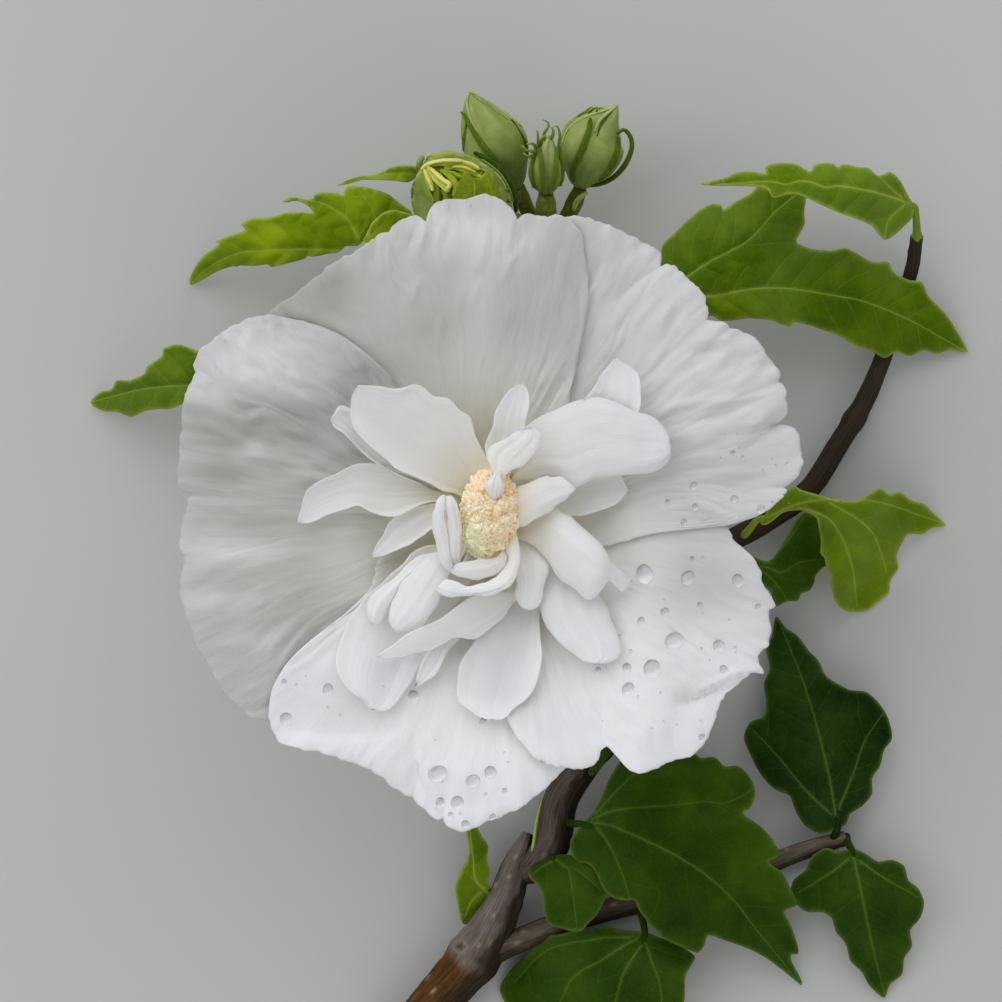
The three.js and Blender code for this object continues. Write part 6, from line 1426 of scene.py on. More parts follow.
    "leaf_stem": {'attach': (505, 896, 5.2), 'mid': [(490, 894, 5.5), (476, 880, 7.5), (472, 855, 8), (468, 812, 5)], 'tm': 0.0, 'out': [(491, 893), (484, 905), (474, 920), (463, 924), (458.2, 908), (455.5, 887), (461, 870), (468, 858), (469, 846), (466, 832), (467, 808), (474, 822), (482, 836), (488, 846), (487, 860), (490, 870), (488, 880)], 'veins': [[(489, 893), (476, 880), (473, 855), (468, 815)], [(484, 889), (472, 900), (464, 918)]], 'sp': -0.1, 'sn': 0.1, 'hue': 0.48},
    "leaf_shade": {'attach': (832, 841, 4.2), 'mid': [(838, 826, 6), (828, 772, 9), (806, 690, 8.5), (780, 622, 4)], 'tm': 0.02, 'out': [(838, 828), (822, 834), (806, 826), (796, 812), (790, 796), (776, 790), (762, 776), (752, 758), (744, 738), (750, 722), (764, 716), (766, 700), (764, 684), (770, 668), (766, 650), (772, 636), (776, 616), (786, 628), (798, 636), (808, 650), (818, 660), (826, 676), (838, 684), (850, 690), (866, 692), (878, 702), (888, 718), (892, 738), (884, 750), (880, 766), (872, 778), (872, 794), (862, 806), (850, 814), (846, 824)], 'veins': [[(837, 824), (828, 772), (806, 690), (780, 624)], [(836, 818), (808, 792), (778, 756), (752, 728)], [(836, 814), (852, 776), (866, 738), (884, 712)]], 'sp': -0.05, 'sn': -0.1, 'hue': 0.0},
    "leaf_end": {'attach': (845, 838, 4.2), 'mid': [(852, 850, 7), (860, 886, 11), (870, 935, 8), (884, 995, 1.0)], 'tm': 0.02, 'out': [(852, 848), (840, 852), (826, 848), (812, 856), (806, 870), (794, 880), (790, 896), (798, 906), (808, 912), (822, 912), (832, 918), (836, 932), (846, 944), (850, 960), (862, 972), (870, 986), (884, 998), (890, 984), (902, 974), (904, 958), (912, 946), (910, 930), (920, 918), (924, 902), (918, 888), (908, 880), (904, 866), (892, 860), (878, 862), (866, 854)], 'veins': [[(852, 850), (860, 886), (870, 935), (884, 993)], [(853, 856), (830, 874), (800, 892)], [(854, 858), (884, 878), (916, 896)]], 'sp': -0.1, 'sn': -0.1, 'hue': 0.1},
}


def leaf_heights(spec, uv, seed, detail=True, mid_extra=None):
    """height in mm over layout places, with the vein numbers"""
    zm = float(np.mean([q[2] for q in spec["mid"]]))
    k = float(kz(zm))
    mid = catmull(spec["mid"], 120)
    d, sd, al = near_line(uv, mid[:, :2])
    s = np.concatenate([[0], np.cumsum(np.linalg.norm(np.diff(mid[:, :2], axis=0), axis=1))])
    zc = np.interp(al, s, mid[:, 2])
    w = d * k
    left = sd < 0                 # layout runs downwards, so the hand is turned
    slope = np.where(left, spec["sp"], spec["sn"])
    z = zc + w * np.sin(np.arctan(slope)) - 0.012 * w ** 2
    f = al / s[-1]
    # long soft waves, deeper towards the edges
    x, y = uv[:, 0] * k, uv[:, 1] * k
    z = z + 0.75 * np.clip(w / 10, 0, 1) * fbm(x / 12, y / 12, seed=seed, octaves=2)
    main = np.full(len(uv), 1e9)
    which = np.zeros(len(uv), int)
    along = np.zeros(len(uv))
    sgn = np.zeros(len(uv))
    total = np.zeros(len(uv))
    for i, vline in enumerate(spec["veins"]):
        c = catmull(vline, 60)
        dd, ss, aa = near_line(uv, c)
        dd = dd * k
        eff = dd + (0.5 if i else 0.0)
        m = eff < main
        main = np.where(m, eff, main)
        which = np.where(m, i, which)
        along = np.where(m, aa * k, along)
        sgn = np.where(m, np.sign(ss), sgn)
        total = np.where(m, length(c) * k, total)
        main = np.where(m, dd, main)
    pitch = spec.get("pitch", 4.6)
    sway = 0.25 * vnoise(x / 9, y / 9, seed=seed + 4)
    side = (along - main * 0.78 - 0.012 * main ** 2) / pitch + np.where(sgn > 0, 0.5, 0.0) + sway + 0.37 * which
    tri = 0.5 - np.abs((side % 1.0) - 0.5)                # 0 on a side vein
    dv = tri * pitch * 0.75
    wmain = 0.25 * (1 - 0.45 * np.clip(along / np.maximum(total, 1), 0, 1))
    vein = np.exp(-(main / np.maximum(wmain, 0.12)) ** 2) * (1 - 0.45 * np.clip(along / np.maximum(total, 1), 0, 1))
    relief = -0.30 * np.exp(-(main / 0.55) ** 2) + 0.34 * (1 - np.exp(-(dv / 0.7) ** 2)) * np.clip(main / 1.6, 0, 1)
    relief = relief + 0.16 * fbm(x / 2.2, y / 2.2, seed=seed + 8, octaves=2)
    z = z + relief
    sidew = np.clip(main / 0.8, 0, 1) * np.clip(1.15 - main / 14, 0.25, 1)
    return z, f, w, vein, side, sidew, main


def floor_soft(z):
    return np.where(z < 2, 0.9 + 1.1 * np.exp(np.minimum(z - 2, 0) / 1.1), z)


def leaf(name, spec, index):
    step = 2.5
    seed = 200 + 13 * index
    out = np.array(spec["out"], float)
    # soften the drawn outline a little, keep its teeth
    cl_ = np.vstack([out[-1:], out, out[:2]])
    dense = []
    for i in range(1, len(cl_) - 2):
        p0, p1, p2, p3 = cl_[i - 1:i + 3]
        for t in (0, 0.25, 0.5, 0.75):
            dense.append(0.5 * ((2 * p1) + (p2 - p0) * t + (2 * p0 - 5 * p1 + 4 * p2 - p3) * t ** 2 + (3 * p1 - p0 - 3 * p2 + p3) * t ** 3) * 0.75 + 0.25 * (p1 + (p2 - p1) * t))
    dense = np.array(dense)
    b = Bits()
    mat = leaf_material("leaf_green_" + name.replace("leaf_", ""), spec["hue"])
    jobs = [(dense, 0.0, 0)]
    if "flap" in spec:
        jobs.append((np.array(spec["flap"]["out"], float), spec["flap"]["dz"], 1))
    for poly, dz, kind in jobs:
        uv, tri, nb = fill(poly, step, seed=seed, lines=spec["veins"] if not kind else ())
        z, f, w, vein, side, sidew, main = leaf_heights(spec, uv, seed)
        de, _, _ = near_line(uv, np.vstack([uv[:nb], uv[:1]]))
        de = de * UNIT
        if kind:
            z = z + dz + 1.2 * np.exp(-de / 2.0)
        z = z - 0.35 * np.exp(-de / 1.2) + 0.25 * np.exp(-de / 2.5) * vnoise(uv[:, 0] / 9, uv[:, 1] / 9, seed=seed + 3)
        z = floor_soft(z)
        tone = 0.5 + 0.20 * fbm(uv[:, 0] / 34, uv[:, 1] / 34, seed=seed + 6, octaves=2) + 0.10 * np.exp(-de / 0.7) + (0.22 if kind else 0)
        th = 0.34 - 0.16 * np.exp(-de / 0.6) + 0.30 * vein * np.clip(1 - f, 0.2, 1)
        skin(b, P(uv[:, 0], uv[:, 1], z), tri, th, vein=vein, tone=tone, side=side, sidew=sidew, edge=np.exp(-de / 0.22))
    # stalk
    a, m0, m1 = np.array(spec["attach"], float), np.array(spec["mid"][0], float), np.array(spec["mid"][1], float)
    pa, p0 = P(*a), P(*m0)
    z0 = leaf_heights(spec, np.array([spec["mid"][0][:2]], float), seed)[0][0]
    p0[2] = float(floor_soft(np.array([z0]))[0])
    p1 = P(*m1)
    gap = np.linalg.norm(p0 - pa)
    into = unit((p1 - p0))
    mid = (pa + p0) / 2 + np.array([0, 0, 0.12 * gap])
    end = p0 + into * min(2.2, gap * 0.5 + 0.6)
    line = catmull([pa, mid, p0 + [0, 0, -0.12], end + [0, 0, -0.15]], max(10, int(gap / 0.7)))
    t = np.linspace(0, 1, len(line))
    rad = np.interp(t, [0, 0.12, 0.5, 0.85, 1], [1.15, 0.82, 0.68, 0.6, 0.25])
    # stalks of the dark leaves are painted darker as painted shade
    tube(b, line, rad, 12, lambda S, T, R: 0.04 * np.cos(3 * T) + 0.03 * vnoise(S / 1.2, T, seed=seed), tone=0.30 if spec["hue"] < 0.3 else 0.62, vein=0.0 if spec["hue"] < 0.3 else 0.35, under=0.0 if spec["hue"] < 0.3 else 0.2)
    return b.object(name + "_blade", mat, "leaf", [name])


for i, (name, spec) in enumerate(LEAVES.items()):
    leaf(name, spec, i)


# ------------------------------------------------------------------ buds
def bud_body(L, R, zb, zt, nu, nv, flat=1.0, ribs=5, rib=0.05, seed=1, tone=(0.45, 0.75), lobes=0.0):
    """swelling body between two outlines drawn from base to tip; zb, zt are heights of its middle line"""
    L, R = catmull(L, nu), catmull(R, nu)
    u = np.linspace(0, 1, nu)
    z = zb + (zt - zb) * u
    k = kz(z)[:, None]
    l3, r3 = P(L[:, 0], L[:, 1], z), P(R[:, 0], R[:, 1], z)
    c = (l3 + r3) / 2
    half = (r3 - l3) / 2
    hw = np.linalg.norm(half, axis=1)
    hw[-1] = max(hw[-1], 0.02)
    ax = unit(half + 1e-9)
    ax[-1] = ax[-2]
    ax[0] = ax[1]
    t = unit(np.gradient(c, axis=0))
    ax = unit(ax - t * (ax * t).sum(1)[:, None])
    up = np.cross(ax, t)
    up = np.where(up[:, 2:3] < 0, -up, up)
    th = np.arange(nv) * 2 * math.pi / nv
    shape = 1 + rib * np.abs(np.cos(ribs * th / 2 + 0.4)) ** 0.7 + lobes * np.cos(ribs * th)
    rr = hw[:, None] * shape[None] / shape.max()
    rr = rr * (1 + 0.020 * fbm(np.cos(th)[None] * 2.2, np.sin(th)[None] * 2.2, u[:, None] * 5, seed=seed, octaves=2))
    g = c[:, None] + rr[..., None] * (np.cos(th)[None, :, None] * ax[:, None] + flat * np.sin(th)[None, :, None] * up[:, None])
    tn = tone[0] + (tone[1] - tone[0]) * u[:, None] + 0.12 * fbm(np.cos(th)[None] * 2.5, np.sin(th)[None] * 2.5, u[:, None] * 4, seed=seed + 2) + 0.10 * (shape[None] - 1) / max(rib, 0.01)
    n = nu * nv
    i, j = np.meshgrid(np.arange(nu - 1), np.arange(nv), indexing="ij")
    j2 = (j + 1) % nv
    f = np.stack([i * nv + j, i * nv + j2, (i + 1) * nv + j2, (i + 1) * nv + j], -1).reshape(-1, 4)
    v = np.vstack([g.reshape(-1, 3), g[0].mean(0)[None], g[-1].mean(0)[None]])
    o = (nu - 1) * nv
    c0 = np.stack([np.roll(np.arange(nv), -1), np.arange(nv), np.full(nv, n)], -1)
    c1 = np.stack([o + np.arange(nv), o + np.roll(np.arange(nv), -1), np.full(nv, n + 1)], -1)
    # make the faces look outwards whatever the outlines' order
    s0 = g[0, 0] - c[0]
    nrm = np.cross(g[1, 0] - g[0, 0], g[0, 1] - g[0, 0])
    if np.dot(nrm, s0) < 0:
        pass
    vol = 0.0
    q = v[f]
    vol += np.einsum("ij,ij->i", q[:, 0], np.cross(q[:, 1], q[:, 2])).sum() + np.einsum("ij,ij->i", q[:, 0], np.cross(q[:, 2], q[:, 3])).sum()
    for tr in (c0, c1):
        q = v[tr]
        vol += np.einsum("ij,ij->i", q[:, 0], np.cross(q[:, 1], q[:, 2])).sum()
    if vol < 0:
        f, c0, c1 = f[:, ::-1], c0[:, ::-1], c1[:, ::-1]
    return v, [f, c0, c1], np.concatenate([np.clip(tn, 0, 1).reshape(-1), [tone[0], tone[1]]])


def strip(bits, line, width, lift, tree, thick=0.35, n=26, tone=0.5, crown=0.12, taper=(0.5, 1.0, 0.3), rise=0.0, z=None, keel=None, seed=0):
    """a narrow bract laid along a drawn line, over whatever lies below it"""
    c = catmull(line, n)
    t = unit(np.gradient(c, axis=0))
    nrm = np.stack([-t[:, 1], t[:, 0]], -1)
    u = np.linspace(0, 1, n)
    w = width / 2 * (1 + (0.16 * vnoise(u * 4, 1.0, seed=seed) if seed else 0)) * np.interp(u, [0, 0.45, 1], taper) * np.clip(np.sqrt(np.clip(1 - np.abs(2 * u - 1) ** 7, 0, 1)), 0.08, 1)
    zs = []
    for i in range(n):
        if z is not None:
            zs.append(np.interp(u[i], np.linspace(0, 1, len(z)), z))
            continue
        h = strike(tree, c[i, 0], c[i, 1])
        zs.append(h[0][2] if h is not None else np.nan)
    zs = np.array(zs, float)
    ok = ~np.isnan(zs)
    if not ok.any():
        return
    zs = np.interp(np.arange(n), np.arange(n)[ok], zs[ok])
    zs = np.convolve(np.pad(zs, 2, mode="edge"), np.ones(5) / 5, mode="valid")
    s = np.linspace(-1, 1, 7)
    g = np.zeros((n, 7, 3))
    for k in range(7):
        uv = c + nrm * (s[k] * w)[:, None]
        arch = 1 - s[k] ** 2 if keel is None else 1 - abs(s[k] - keel) / (1 + abs(keel)) + 0.22 * vnoise(u * 5, s[k] * 2, seed=seed)
        zz = zs + lift + crown * arch + rise * u ** 2
        if z is None:
            hz = np.array([(lambda h: h[0][2] if h is not None else np.nan)(strike(tree, *p)) for p in uv])
            good = ~np.isnan(hz)
            hz = np.where(good, hz, zs - 0.5)
            zz = np.minimum(zz, hz + lift + crown + rise * u ** 2 + 0.3)
            zz = np.maximum(zz, np.minimum(hz, zs + 0.6) + lift * 0.8)
        g[:, k] = P(uv[:, 0], uv[:, 1], zz)
    slab(bits, g, thick, tone=tone + 0.12 * np.abs(s)[None] + 0 * u[:, None])


def drape(bits, outline, tree, lift, step=2.2, thick=0.35, edge=0.0, crumple=0.0, scale=5.0, tone=0.5, seed=3, vary=0.1):
    """a patch with a drawn outline lying over the body below"""
    uv, tri, nb = fill(outline, step, seed=seed)
    z = np.array([(lambda h: h[0][2] if h is not None else np.nan)(strike(tree, *p)) for p in uv])
    ok = ~np.isnan(z)
    if not ok.any():
        return
    if (~ok).any():
        for i in np.where(~ok)[0]:
            d = ((uv[ok] - uv[i]) ** 2).sum(1)
            z[i] = z[ok][np.argmin(d)] - 0.25 * UNIT * math.sqrt(d.min())
    de, _, _ = near_line(uv, np.vstack([uv[:nb], uv[:1]]))
    de = de * UNIT
    z = z + lift + edge * np.exp(-de / 0.9)
    if crumple:
        rid = 1 - np.abs(fbm(uv[:, 0] / scale, uv[:, 1] / scale, seed=seed, octaves=3))
        z = z + crumple * (rid - 0.6)
    tn = tone + vary * fbm(uv[:, 0] / 8, uv[:, 1] / 8, seed=seed + 1, octaves=2) + 0.10 * np.exp(-de / 0.4)
    skin(bits, P(uv[:, 0], uv[:, 1], z), tri, thick, tone=np.clip(tn, 0, 1))


def finger(bits, line, r0, tone=0.5, n=16):
    """a slim curling bract, [across, down, height] stations"""
    q = np.array(line, float)
    c = catmull(P(q[:, 0], q[:, 1], q[:, 2]), n)
    u = np.linspace(0, 1, n)
    tube(bits, c, r0 * (1 - 0.62 * u) * (0.4 + 0.6 * smooth01(u / 0.22)), 9, lambda S, T, R: 0.15 * R * np.cos(2 * T), cap0=1, cap1=2, tone=tone + 0.25 * u)


NU, NV = ((70, 96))


def bud(name, L, R, zb, zt, **kw):
    v, f, tn = bud_body(L, R, zb, zt, NU, NV, **kw)
    b = Bits()
    b.add(v, f, tone=tn)
    o = b.object(name + "_felt", bud_green, "bud_green", [name])
    return o, tree_of([o])


# left tall bud
o, t2 = bud("bud_2", [(514, 188), (503, 180), (484, 171), (466, 158), (460.5, 140), (460.8, 120), (464, 104), (469, 91)],
            [(522, 188), (528, 172), (530.5, 152), (529, 138), (521, 126.5), (508, 116.5), (492, 104.5), (478, 94.5), (470.5, 91)], 14.6, 21.8, flat=0.92, rib=0.035, ribs=5, seed=41, tone=(0.42, 0.72))
b = Bits()
strip(b, [(506, 178), (503, 169.5), (494, 158), (483, 146), (473, 131), (464, 115), (461, 112)], 6.2, 0.14, t2, tone=0.46, rise=0.5, taper=(0.7, 1.0, 0.25), crown=0.25)
strip(b, [(528, 158), (525.5, 144), (519, 131), (511.5, 119.5)], 2.6, 0.04, t2, tone=0.30)
strip(b, [(463, 152), (464, 138), (466, 126), (467, 118)], 2.6, 0.12, t2, tone=0.55)
b.object("bud_2_bracts", bract_green, "bud_green")
b = Bits()
strip(b, [(469, 92), (467.6, 104), (470, 116), (474, 127), (478, 136)], 1.6, 0.03, t2, thick=0.3, tone=0.80, crown=0.12)
strip(b, [(470, 91.5), (481, 97.8), (497, 107.8), (511.4, 117.4), (522, 127)], 2.2, 0.03, t2, thick=0.3, tone=0.80, crown=0.12)
strip(b, [(472, 94), (478.6, 100), (489, 106), (498, 112.7), (509, 120), (517, 130), (523, 142)], 1.3, 0.02, t2, thick=0.25, tone=0.62, crown=0.08)
b.object("bud_2_seams", bud_green, "bud_green")

# right bud
o, t4 = bud("bud_4", [(576, 187), (567, 176), (561, 158), (559.5, 140), (566, 125), (580, 115.5), (594, 110.5), (607, 107.5), (617, 105)],
            [(589, 187), (600, 181), (613, 174), (621.5, 160), (622.5, 140), (620.5, 122), (619.5, 111), (618.5, 105.5)], 13.6, 19.0, flat=0.95, rib=0.04, ribs=5, seed=42, tone=(0.45, 0.72))
b = Bits()
strip(b, [(574, 182), (573, 171), (577, 160), (581.5, 150), (586, 138), (589.5, 127), (590.5, 118)], 6.6, 0.14, t4, tone=0.46, taper=(0.9, 0.95, 0.6), rise=0.4, crown=0.25)
strip(b, [(600, 181), (608, 171), (613.5, 161), (617.4, 149), (618.5, 137)], 6.8, 0.2, t4, tone=0.42, taper=(0.5, 1.0, 0.5), rise=0.3, crown=0.25)
strip(b, [(588, 186), (600, 184), (612, 178.5), (622, 169), (629, 157), (632, 145), (629.5, 135), (623.5, 129.5), (617, 134)], 3.6, 0.1, t4, z=[11.5, 12.5, 14, 15.5, 17, 18, 18.8, 19.6, 20.2], tone=0.40, thick=0.5, taper=(0.5, 1.0, 0.35), crown=0.3)
finger(b, [(590, 186.5, 11.5), (603, 183.5, 13), (615, 177, 15), (624.5, 168, 16.5), (631, 156, 17.6), (633, 144.5, 18.8), (630, 133.5, 19.4), (623.5, 128.2, 20)], 0.26, 0.85, n=30)
for q in ([(577, 117, 21.6), (584, 112.5, 22.6), (590, 110.5, 23.4), (593, 107.5, 24.2)], [(588, 113.5, 22.0), (594, 108.5, 23.4), (598.5, 108, 24.2), (598, 112, 24.6)],
          [(596, 112, 22.4), (600, 108, 23.4), (604, 108.5, 24)], [(583, 114, 22), (589, 108.5, 23.2), (592, 106.5, 24)]):
    finger(b, q, 0.26, 0.62)
b.object("bud_4_bracts", bract_green, "bud_green")
b = Bits()
strip(b, [(617.8, 105.2), (607.8, 113), (599, 121.5), (594.5, 132)], 1.7, 0.05, t4, thick=0.3, tone=0.85, crown=0.15)
strip(b, [(617, 105.8), (602, 111.8), (586, 117), (574, 123.4), (566, 132.8), (562, 145)], 1.8, 0.04, t4, thick=0.3, tone=0.80, crown=0.12)
strip(b, [(588, 112), (576, 117), (566, 126), (561.5, 136), (559.6, 147)], 1.4, 0.04, t4, thick=0.25, tone=0.70, crown=0.08)
strip(b, [(612, 111), (606, 118), (600, 127), (597, 136)], 2.4, 0.01, t4, thick=0.25, tone=0.12, crown=0.05)
b.object("bud_4_seams", bud_green, "bud_green")

# small bud between them
o, t3 = bud("bud_3", [(539, 191), (531, 183), (527.8, 170), (529.5, 156), (536, 148), (542.5, 141), (549, 134)],
            [(555, 191), (562.5, 182), (564.5, 168), (562, 155), (557.5, 148), (554, 141), (551, 134.5)], 21.4, 26.2, flat=1.0, rib=0.16, ribs=6, seed=43, tone=(0.35, 0.85))
b = Bits()
for line in ([(534, 188), (532, 172), (534, 156), (536, 146)], [(542, 190), (542, 174), (541, 158), (538.5, 144)],
             [(552, 190), (555, 175), (556.5, 160), (557, 148)], [(560, 186), (562.5, 172), (561.5, 158), (560, 146)]):
    strip(b, line, 4.8, 0.10, t3, tone=0.56, rise=0.6, taper=(0.8, 1.0, 0.30), crown=0.35)
for f_ in ([(536, 152, 26.5), (531, 151, 28), (525.5, 149.5, 29), (522.5, 146, 29.6)], [(537, 148, 26.5), (532, 143.5, 28), (527, 144, 29)],
           [(538.5, 146, 26.8), (538, 139, 28.5), (537.6, 132.5, 29.5), (536.4, 129.6, 29.9)], [(541, 146, 26.5), (542, 139, 28), (546, 135.5, 29), (549, 137, 29.6)],
           [(544, 143, 25.5), (544.5, 133, 27), (548.5, 126, 28), (547, 121.5, 28.6), (542.6, 119.6, 28.8)], [(558, 148, 25.5), (559.8, 138, 26.5), (559, 130, 27.5), (556.5, 126, 28), (553.6, 127, 28.3)],
           [(533, 156, 26), (528.5, 156.5, 27.5), (524, 153.5, 28.5)], [(551, 140, 26.5), (553.5, 131, 27.5), (551, 126.5, 28.2)]):
    finger(b, f_, 0.36, 0.68)
b.object("bud_3_bracts", bract_green, "bud_green")

# big opening bud behind the bloom's rim: five sepals parting round crumpled yellow-green petals
o, t1 = bud("bud_1", [(470, 240), (440, 236), (418, 222), (411.5, 198), (414, 181), (424, 167), (435, 160), (448, 157.5)],
            [(500, 238), (511, 226), (512.5, 206), (508, 192), (499, 179.5), (486, 169.5), (469, 161.5), (452, 157.5)], 22.5, 30.4, flat=0.95, rib=0.03, ribs=5, seed=44, tone=(0.5, 0.78))
b = Bits()
drape(b, [(421, 176), (425, 166), (438, 161), (455, 160), (472, 162), (488, 170), (492, 177), (478, 181), (466, 185), (458, 197), (454, 206), (440, 208), (431, 202), (425, 190)], t1, 0.15, 1.6, 0.3, crumple=0.9, scale=8, tone=0.18, seed=7, vary=0.14)
PLEATS = (
    ([(426, 158.5), (440, 155.6), (455, 155.4), (470, 158.6), (484, 165)], 5.0, 0.5, 0.55, 0.2, (0.6, 1.0, 0.7)),
    ([(421, 171), (427, 166), (436, 163.2), (447, 162.6), (459, 162.6), (471, 165.4), (480, 169.8)], 6.4, 0.9, 0.90, -0.35, (0.8, 1.0, 0.6)),
    ([(428, 164.6), (438, 161.4), (450, 160.6), (462, 161.4)], 3.0, 1.6, 1.0, 0.3, (0.5, 1.0, 0.5)),
    ([(444, 168.5), (455, 168), (466, 170.4), (476, 174.6), (483, 178)], 5.4, 0.7, 0.62, 0.4, (0.6, 1.0, 0.6)),
    ([(452, 167), (462, 167.6), (470, 170), (476, 173)], 2.4, 1.5, 0.82, -0.3, (0.5, 1.0, 0.5)),
    ([(427.5, 167), (433, 173.5), (439, 180), (445, 186), (448.5, 192)], 8.6, 0.9, 0.86, -0.3, (0.65, 1.0, 0.75)),
    ([(431, 168.5), (438, 175.5), (444, 180.5), (449.5, 184.5), (447.5, 190)], 3.6, 2.0, 1.0, 0.35, (0.5, 1.0, 0.8)),
    ([(424.5, 169), (427.5, 176), (430.5, 183), (433, 191)], 4.0, 0.9, 0.88, 0.35, (0.6, 1.0, 0.5)),
    ([(440, 170), (447, 174), (453, 180), (456, 187), (454, 197)], 6.6, 0.5, 0.50, 0.4, (0.6, 1.0, 0.6)),
    ([(446, 171.5), (455, 175), (462, 178.5)], 5.0, 0.5, 0.46, -0.3, (0.6, 1.0, 0.5)),
    ([(423.5, 174), (424.5, 184), (429, 195), (434.5, 204)], 4.4, 0.3, 0.30, 0.3, (0.7, 1.0, 0.7)),
    ([(434.5, 182), (437, 190), (437, 199), (439, 207)], 6.6, 0.3, 0.16, -0.3, (0.7, 1.0, 0.8)),
    ([(442, 190), (447, 196), (449, 204)], 6.0, 0.3, 0.26, 0.3, (0.7, 1.0, 0.8)))
for i, (line, w_, up, tn, kl, tp) in enumerate(PLEATS):
    strip(b, line, w_, up, t1, tone=tn, crown=0.85, thick=0.35, taper=tp, keel=kl, seed=300 + i)
b.object("bud_1_petals", lime_green, "petal")
b = Bits()
drape(b, [(453, 208), (454, 193), (457, 184), (461.5, 178), (464.3, 170.6), (467, 172.5), (470, 175.5), (474, 178.3), (480, 178.8), (482.5, 175), (486, 171), (489, 171.2), (492, 175.5), (495.5, 183), (499, 191), (503, 204), (502, 220), (490, 228), (468, 228), (455, 218)], t1, 0.85, 1.5, 0.35, edge=0.35, tone=0.28, seed=8, vary=0.12)
for line in ([(463, 176), (459, 187), (455, 198)], [(474, 181), (475, 192), (474, 203)], [(487, 176), (491, 190), (493, 204)]):
    strip(b, line, 1.6, 0.95, t1, tone=0.42, crown=0.22, thick=0.3, keel=0.0, taper=(0.4, 1.0, 0.5))
b.object("bud_1_sepal_front", lime_green, "bud_green")
b = Bits()
drape(b, [(411, 202), (411, 190), (413, 182), (418.5, 175), (423, 171.2), (426, 179), (429.5, 190), (434, 200), (433, 214), (426, 224), (416, 217)], t1, 0.70, 1.5, 0.35, edge=0.45, tone=0.50, seed=9)
drape(b, [(421.5, 165.5), (427, 158.5), (440, 155.4), (453.6, 154.4), (467, 156.6), (480.4, 162), (493.8, 170.6), (502.2, 179.2), (509, 192), (512.4, 204), (512.4, 220), (506, 226), (503, 208), (499.5, 192), (495.5, 182.5), (491, 175), (484, 171), (474, 166), (462, 161.8), (448, 160.4), (434, 162.2), (427, 166.5)], t1, 0.70, 1.5, 0.35, edge=0.45, tone=0.50, seed=10, vary=0.16)
strip(b, [(428, 159.8), (441, 156.4), (454, 155.5), (467, 157.8), (480, 163.2), (493, 171.6), (501.5, 180.4), (508, 193)], 1.5, 1.15, t1, tone=0.86, crown=0.12, thick=0.3)
strip(b, [(433, 161.8), (448, 159.6), (462, 161), (474, 165.2), (485, 170.6), (492, 176), (497, 186), (500, 196)], 2.0, 0.9, t1, tone=0.16, crown=0.1, thick=0.3)
strip(b, [(413.6, 183), (418.6, 176), (423, 172.2), (426.4, 181), (430, 191)], 1.2, 1.1, t1, tone=0.78, crown=0.12, thick=0.3)
strip(b, [(418.5, 168.5), (419.4, 162), (423, 156.5)], 5.4, 0.3, t1, tone=0.62, thick=0.4, z=[27.8, 28.8, 29.2], taper=(0.9, 1.0, 0.6), keel=0.2, crown=0.5)
strip(b, [(426.6, 158), (428, 155.2), (430.5, 154)], 1.6, 0.4, t1, tone=0.95, thick=0.3, z=[29.4, 29.8, 30], taper=(0.8, 1.0, 0.5))
b.object("bud_1_sepals", bud_green, "bud_green")
b = Bits()
strip(b, [(474, 152.6), (483, 157), (492, 163.6), (500.6, 171.4), (507, 180), (511.6, 189), (515, 200), (516, 212)], 6.0, 0.95, t1, tone=0.10, z=[24.6, 26.2, 27.0, 27.4, 27.4, 27.0, 26.0, 24.5], thick=0.45, taper=(0.5, 1, 0.5), crown=0.35)
strip(b, [(482, 159.4), (491, 165.8), (499.5, 173.4), (505.6, 182), (510, 191), (513.2, 202)], 1.2, 0.95, t1, tone=0.72, z=[26.8, 27.6, 28.0, 28.0, 27.6, 26.6], thick=0.3, taper=(0.5, 1, 0.5))
b.object("bud_1_bracts", bract_green, "bud_green")

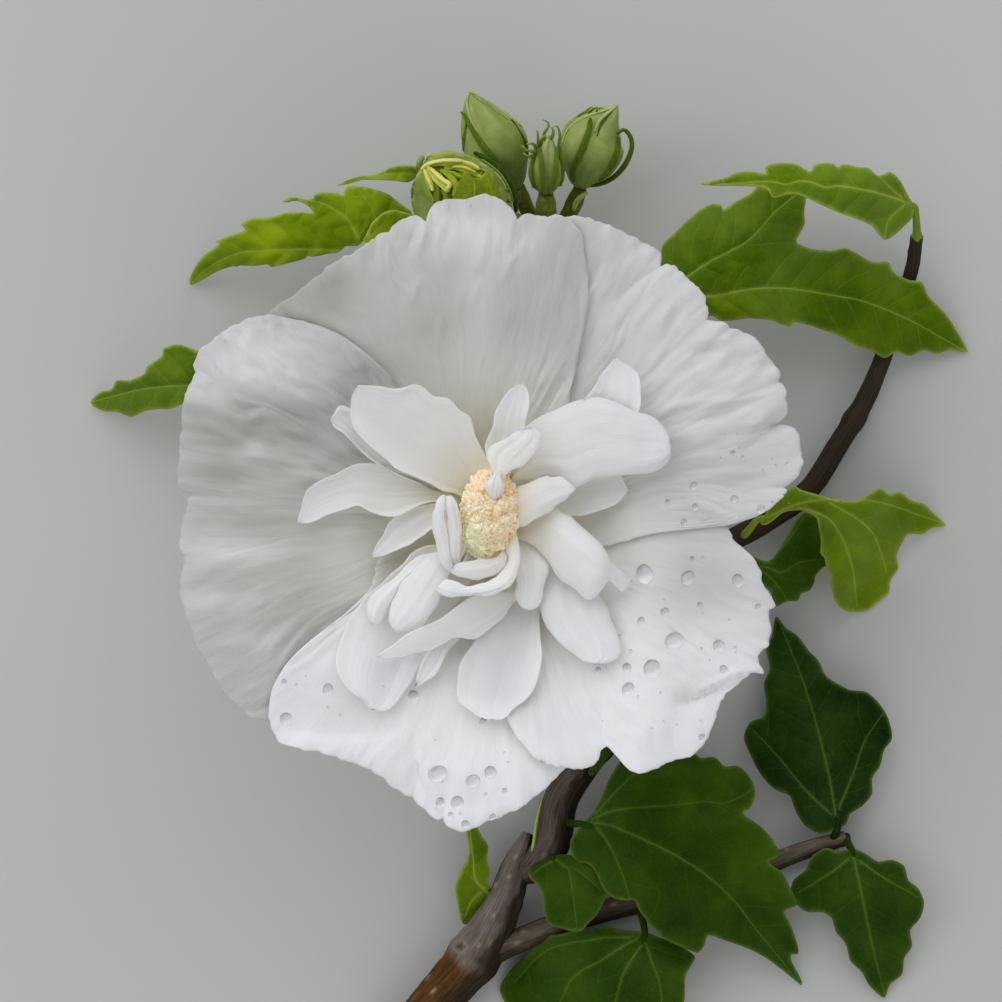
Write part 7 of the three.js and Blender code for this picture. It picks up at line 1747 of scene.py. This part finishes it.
# ------------------------------------------------------------------ small things on the shoots
b = Bits()
strip(b, [(612, 749), (604, 755), (597, 764), (590, 775)], 9, 0.1, t1, tone=0.15, z=[9.5, 10.6, 11.2, 9.8], thick=0.7, crown=0.5, taper=(0.6, 1, 0.4))
strip(b, [(573.5, 210), (576, 203), (580.5, 197.5), (587, 192.5)], 3.4, 0.1, t1, tone=0.9, z=[13.6, 14.6, 15.4, 15.6], thick=0.5, crown=0.4, taper=(0.6, 1.0, 0.3))
finger(b, [(531, 861, 8.3), (533.5, 843, 9.0), (536.5, 821, 9.4), (542, 798, 8.8)], 0.32, 1.0)
b.object("stipules", bract_green, "bud_green")

# ------------------------------------------------------------------ stage, light and view
bpy.ops.mesh.primitive_plane_add(size=6, location=(0, 0, -0.0001))
floor = bpy.context.object
floor.name = "floor"
floor.data.materials.append(floor_material())


def softbox(name, loc, target, size, watts, color=(1, 1, 1)):
    d = bpy.data.lights.new(name, "AREA")
    d.shape = "RECTANGLE"
    d.size, d.size_y = size
    d.energy = watts
    d.color = color
    o = bpy.data.objects.new(name, d)
    bpy.context.scene.collection.objects.link(o)
    o.location = loc
    o.rotation_euler = (Vector(target) - Vector(loc)).to_track_quat("-Z", "Y").to_euler()
    return o


softbox("key_sky", (-0.48, 0.92, 0.92), (0, 0, 0.03), (3.2, 1.9), 22.8, (0.99, 0.992, 1.0))
softbox("fill_low", (0.25, -0.85, 0.75), (0, 0, 0.03), (1.2, 0.8), 2.6, (1.0, 0.99, 0.97))
world = bpy.data.worlds.new("studio")
bpy.context.scene.world = world
world.use_nodes = True
world.node_tree.nodes["Background"].inputs[0].default_value = (0.95, 0.975, 1.0, 1)
world.node_tree.nodes["Background"].inputs[1].default_value = 0.42
view = bpy.context.scene.view_settings
view.view_transform, view.look, view.exposure, view.gamma = "Standard", "None", 0.0, 1.0

cam = bpy.data.cameras.new("view")
cam.sensor_width = 36
cam.lens = 36 * 650 / (1002 * UNIT)
camo = bpy.data.objects.new("view", cam)
bpy.context.scene.collection.objects.link(camo)
camo.location = metres([0, 0, EYE])
camo.rotation_euler = (0, 0, 0)
cam.clip_start, cam.clip_end = 0.05, 20
bpy.context.scene.camera = camo
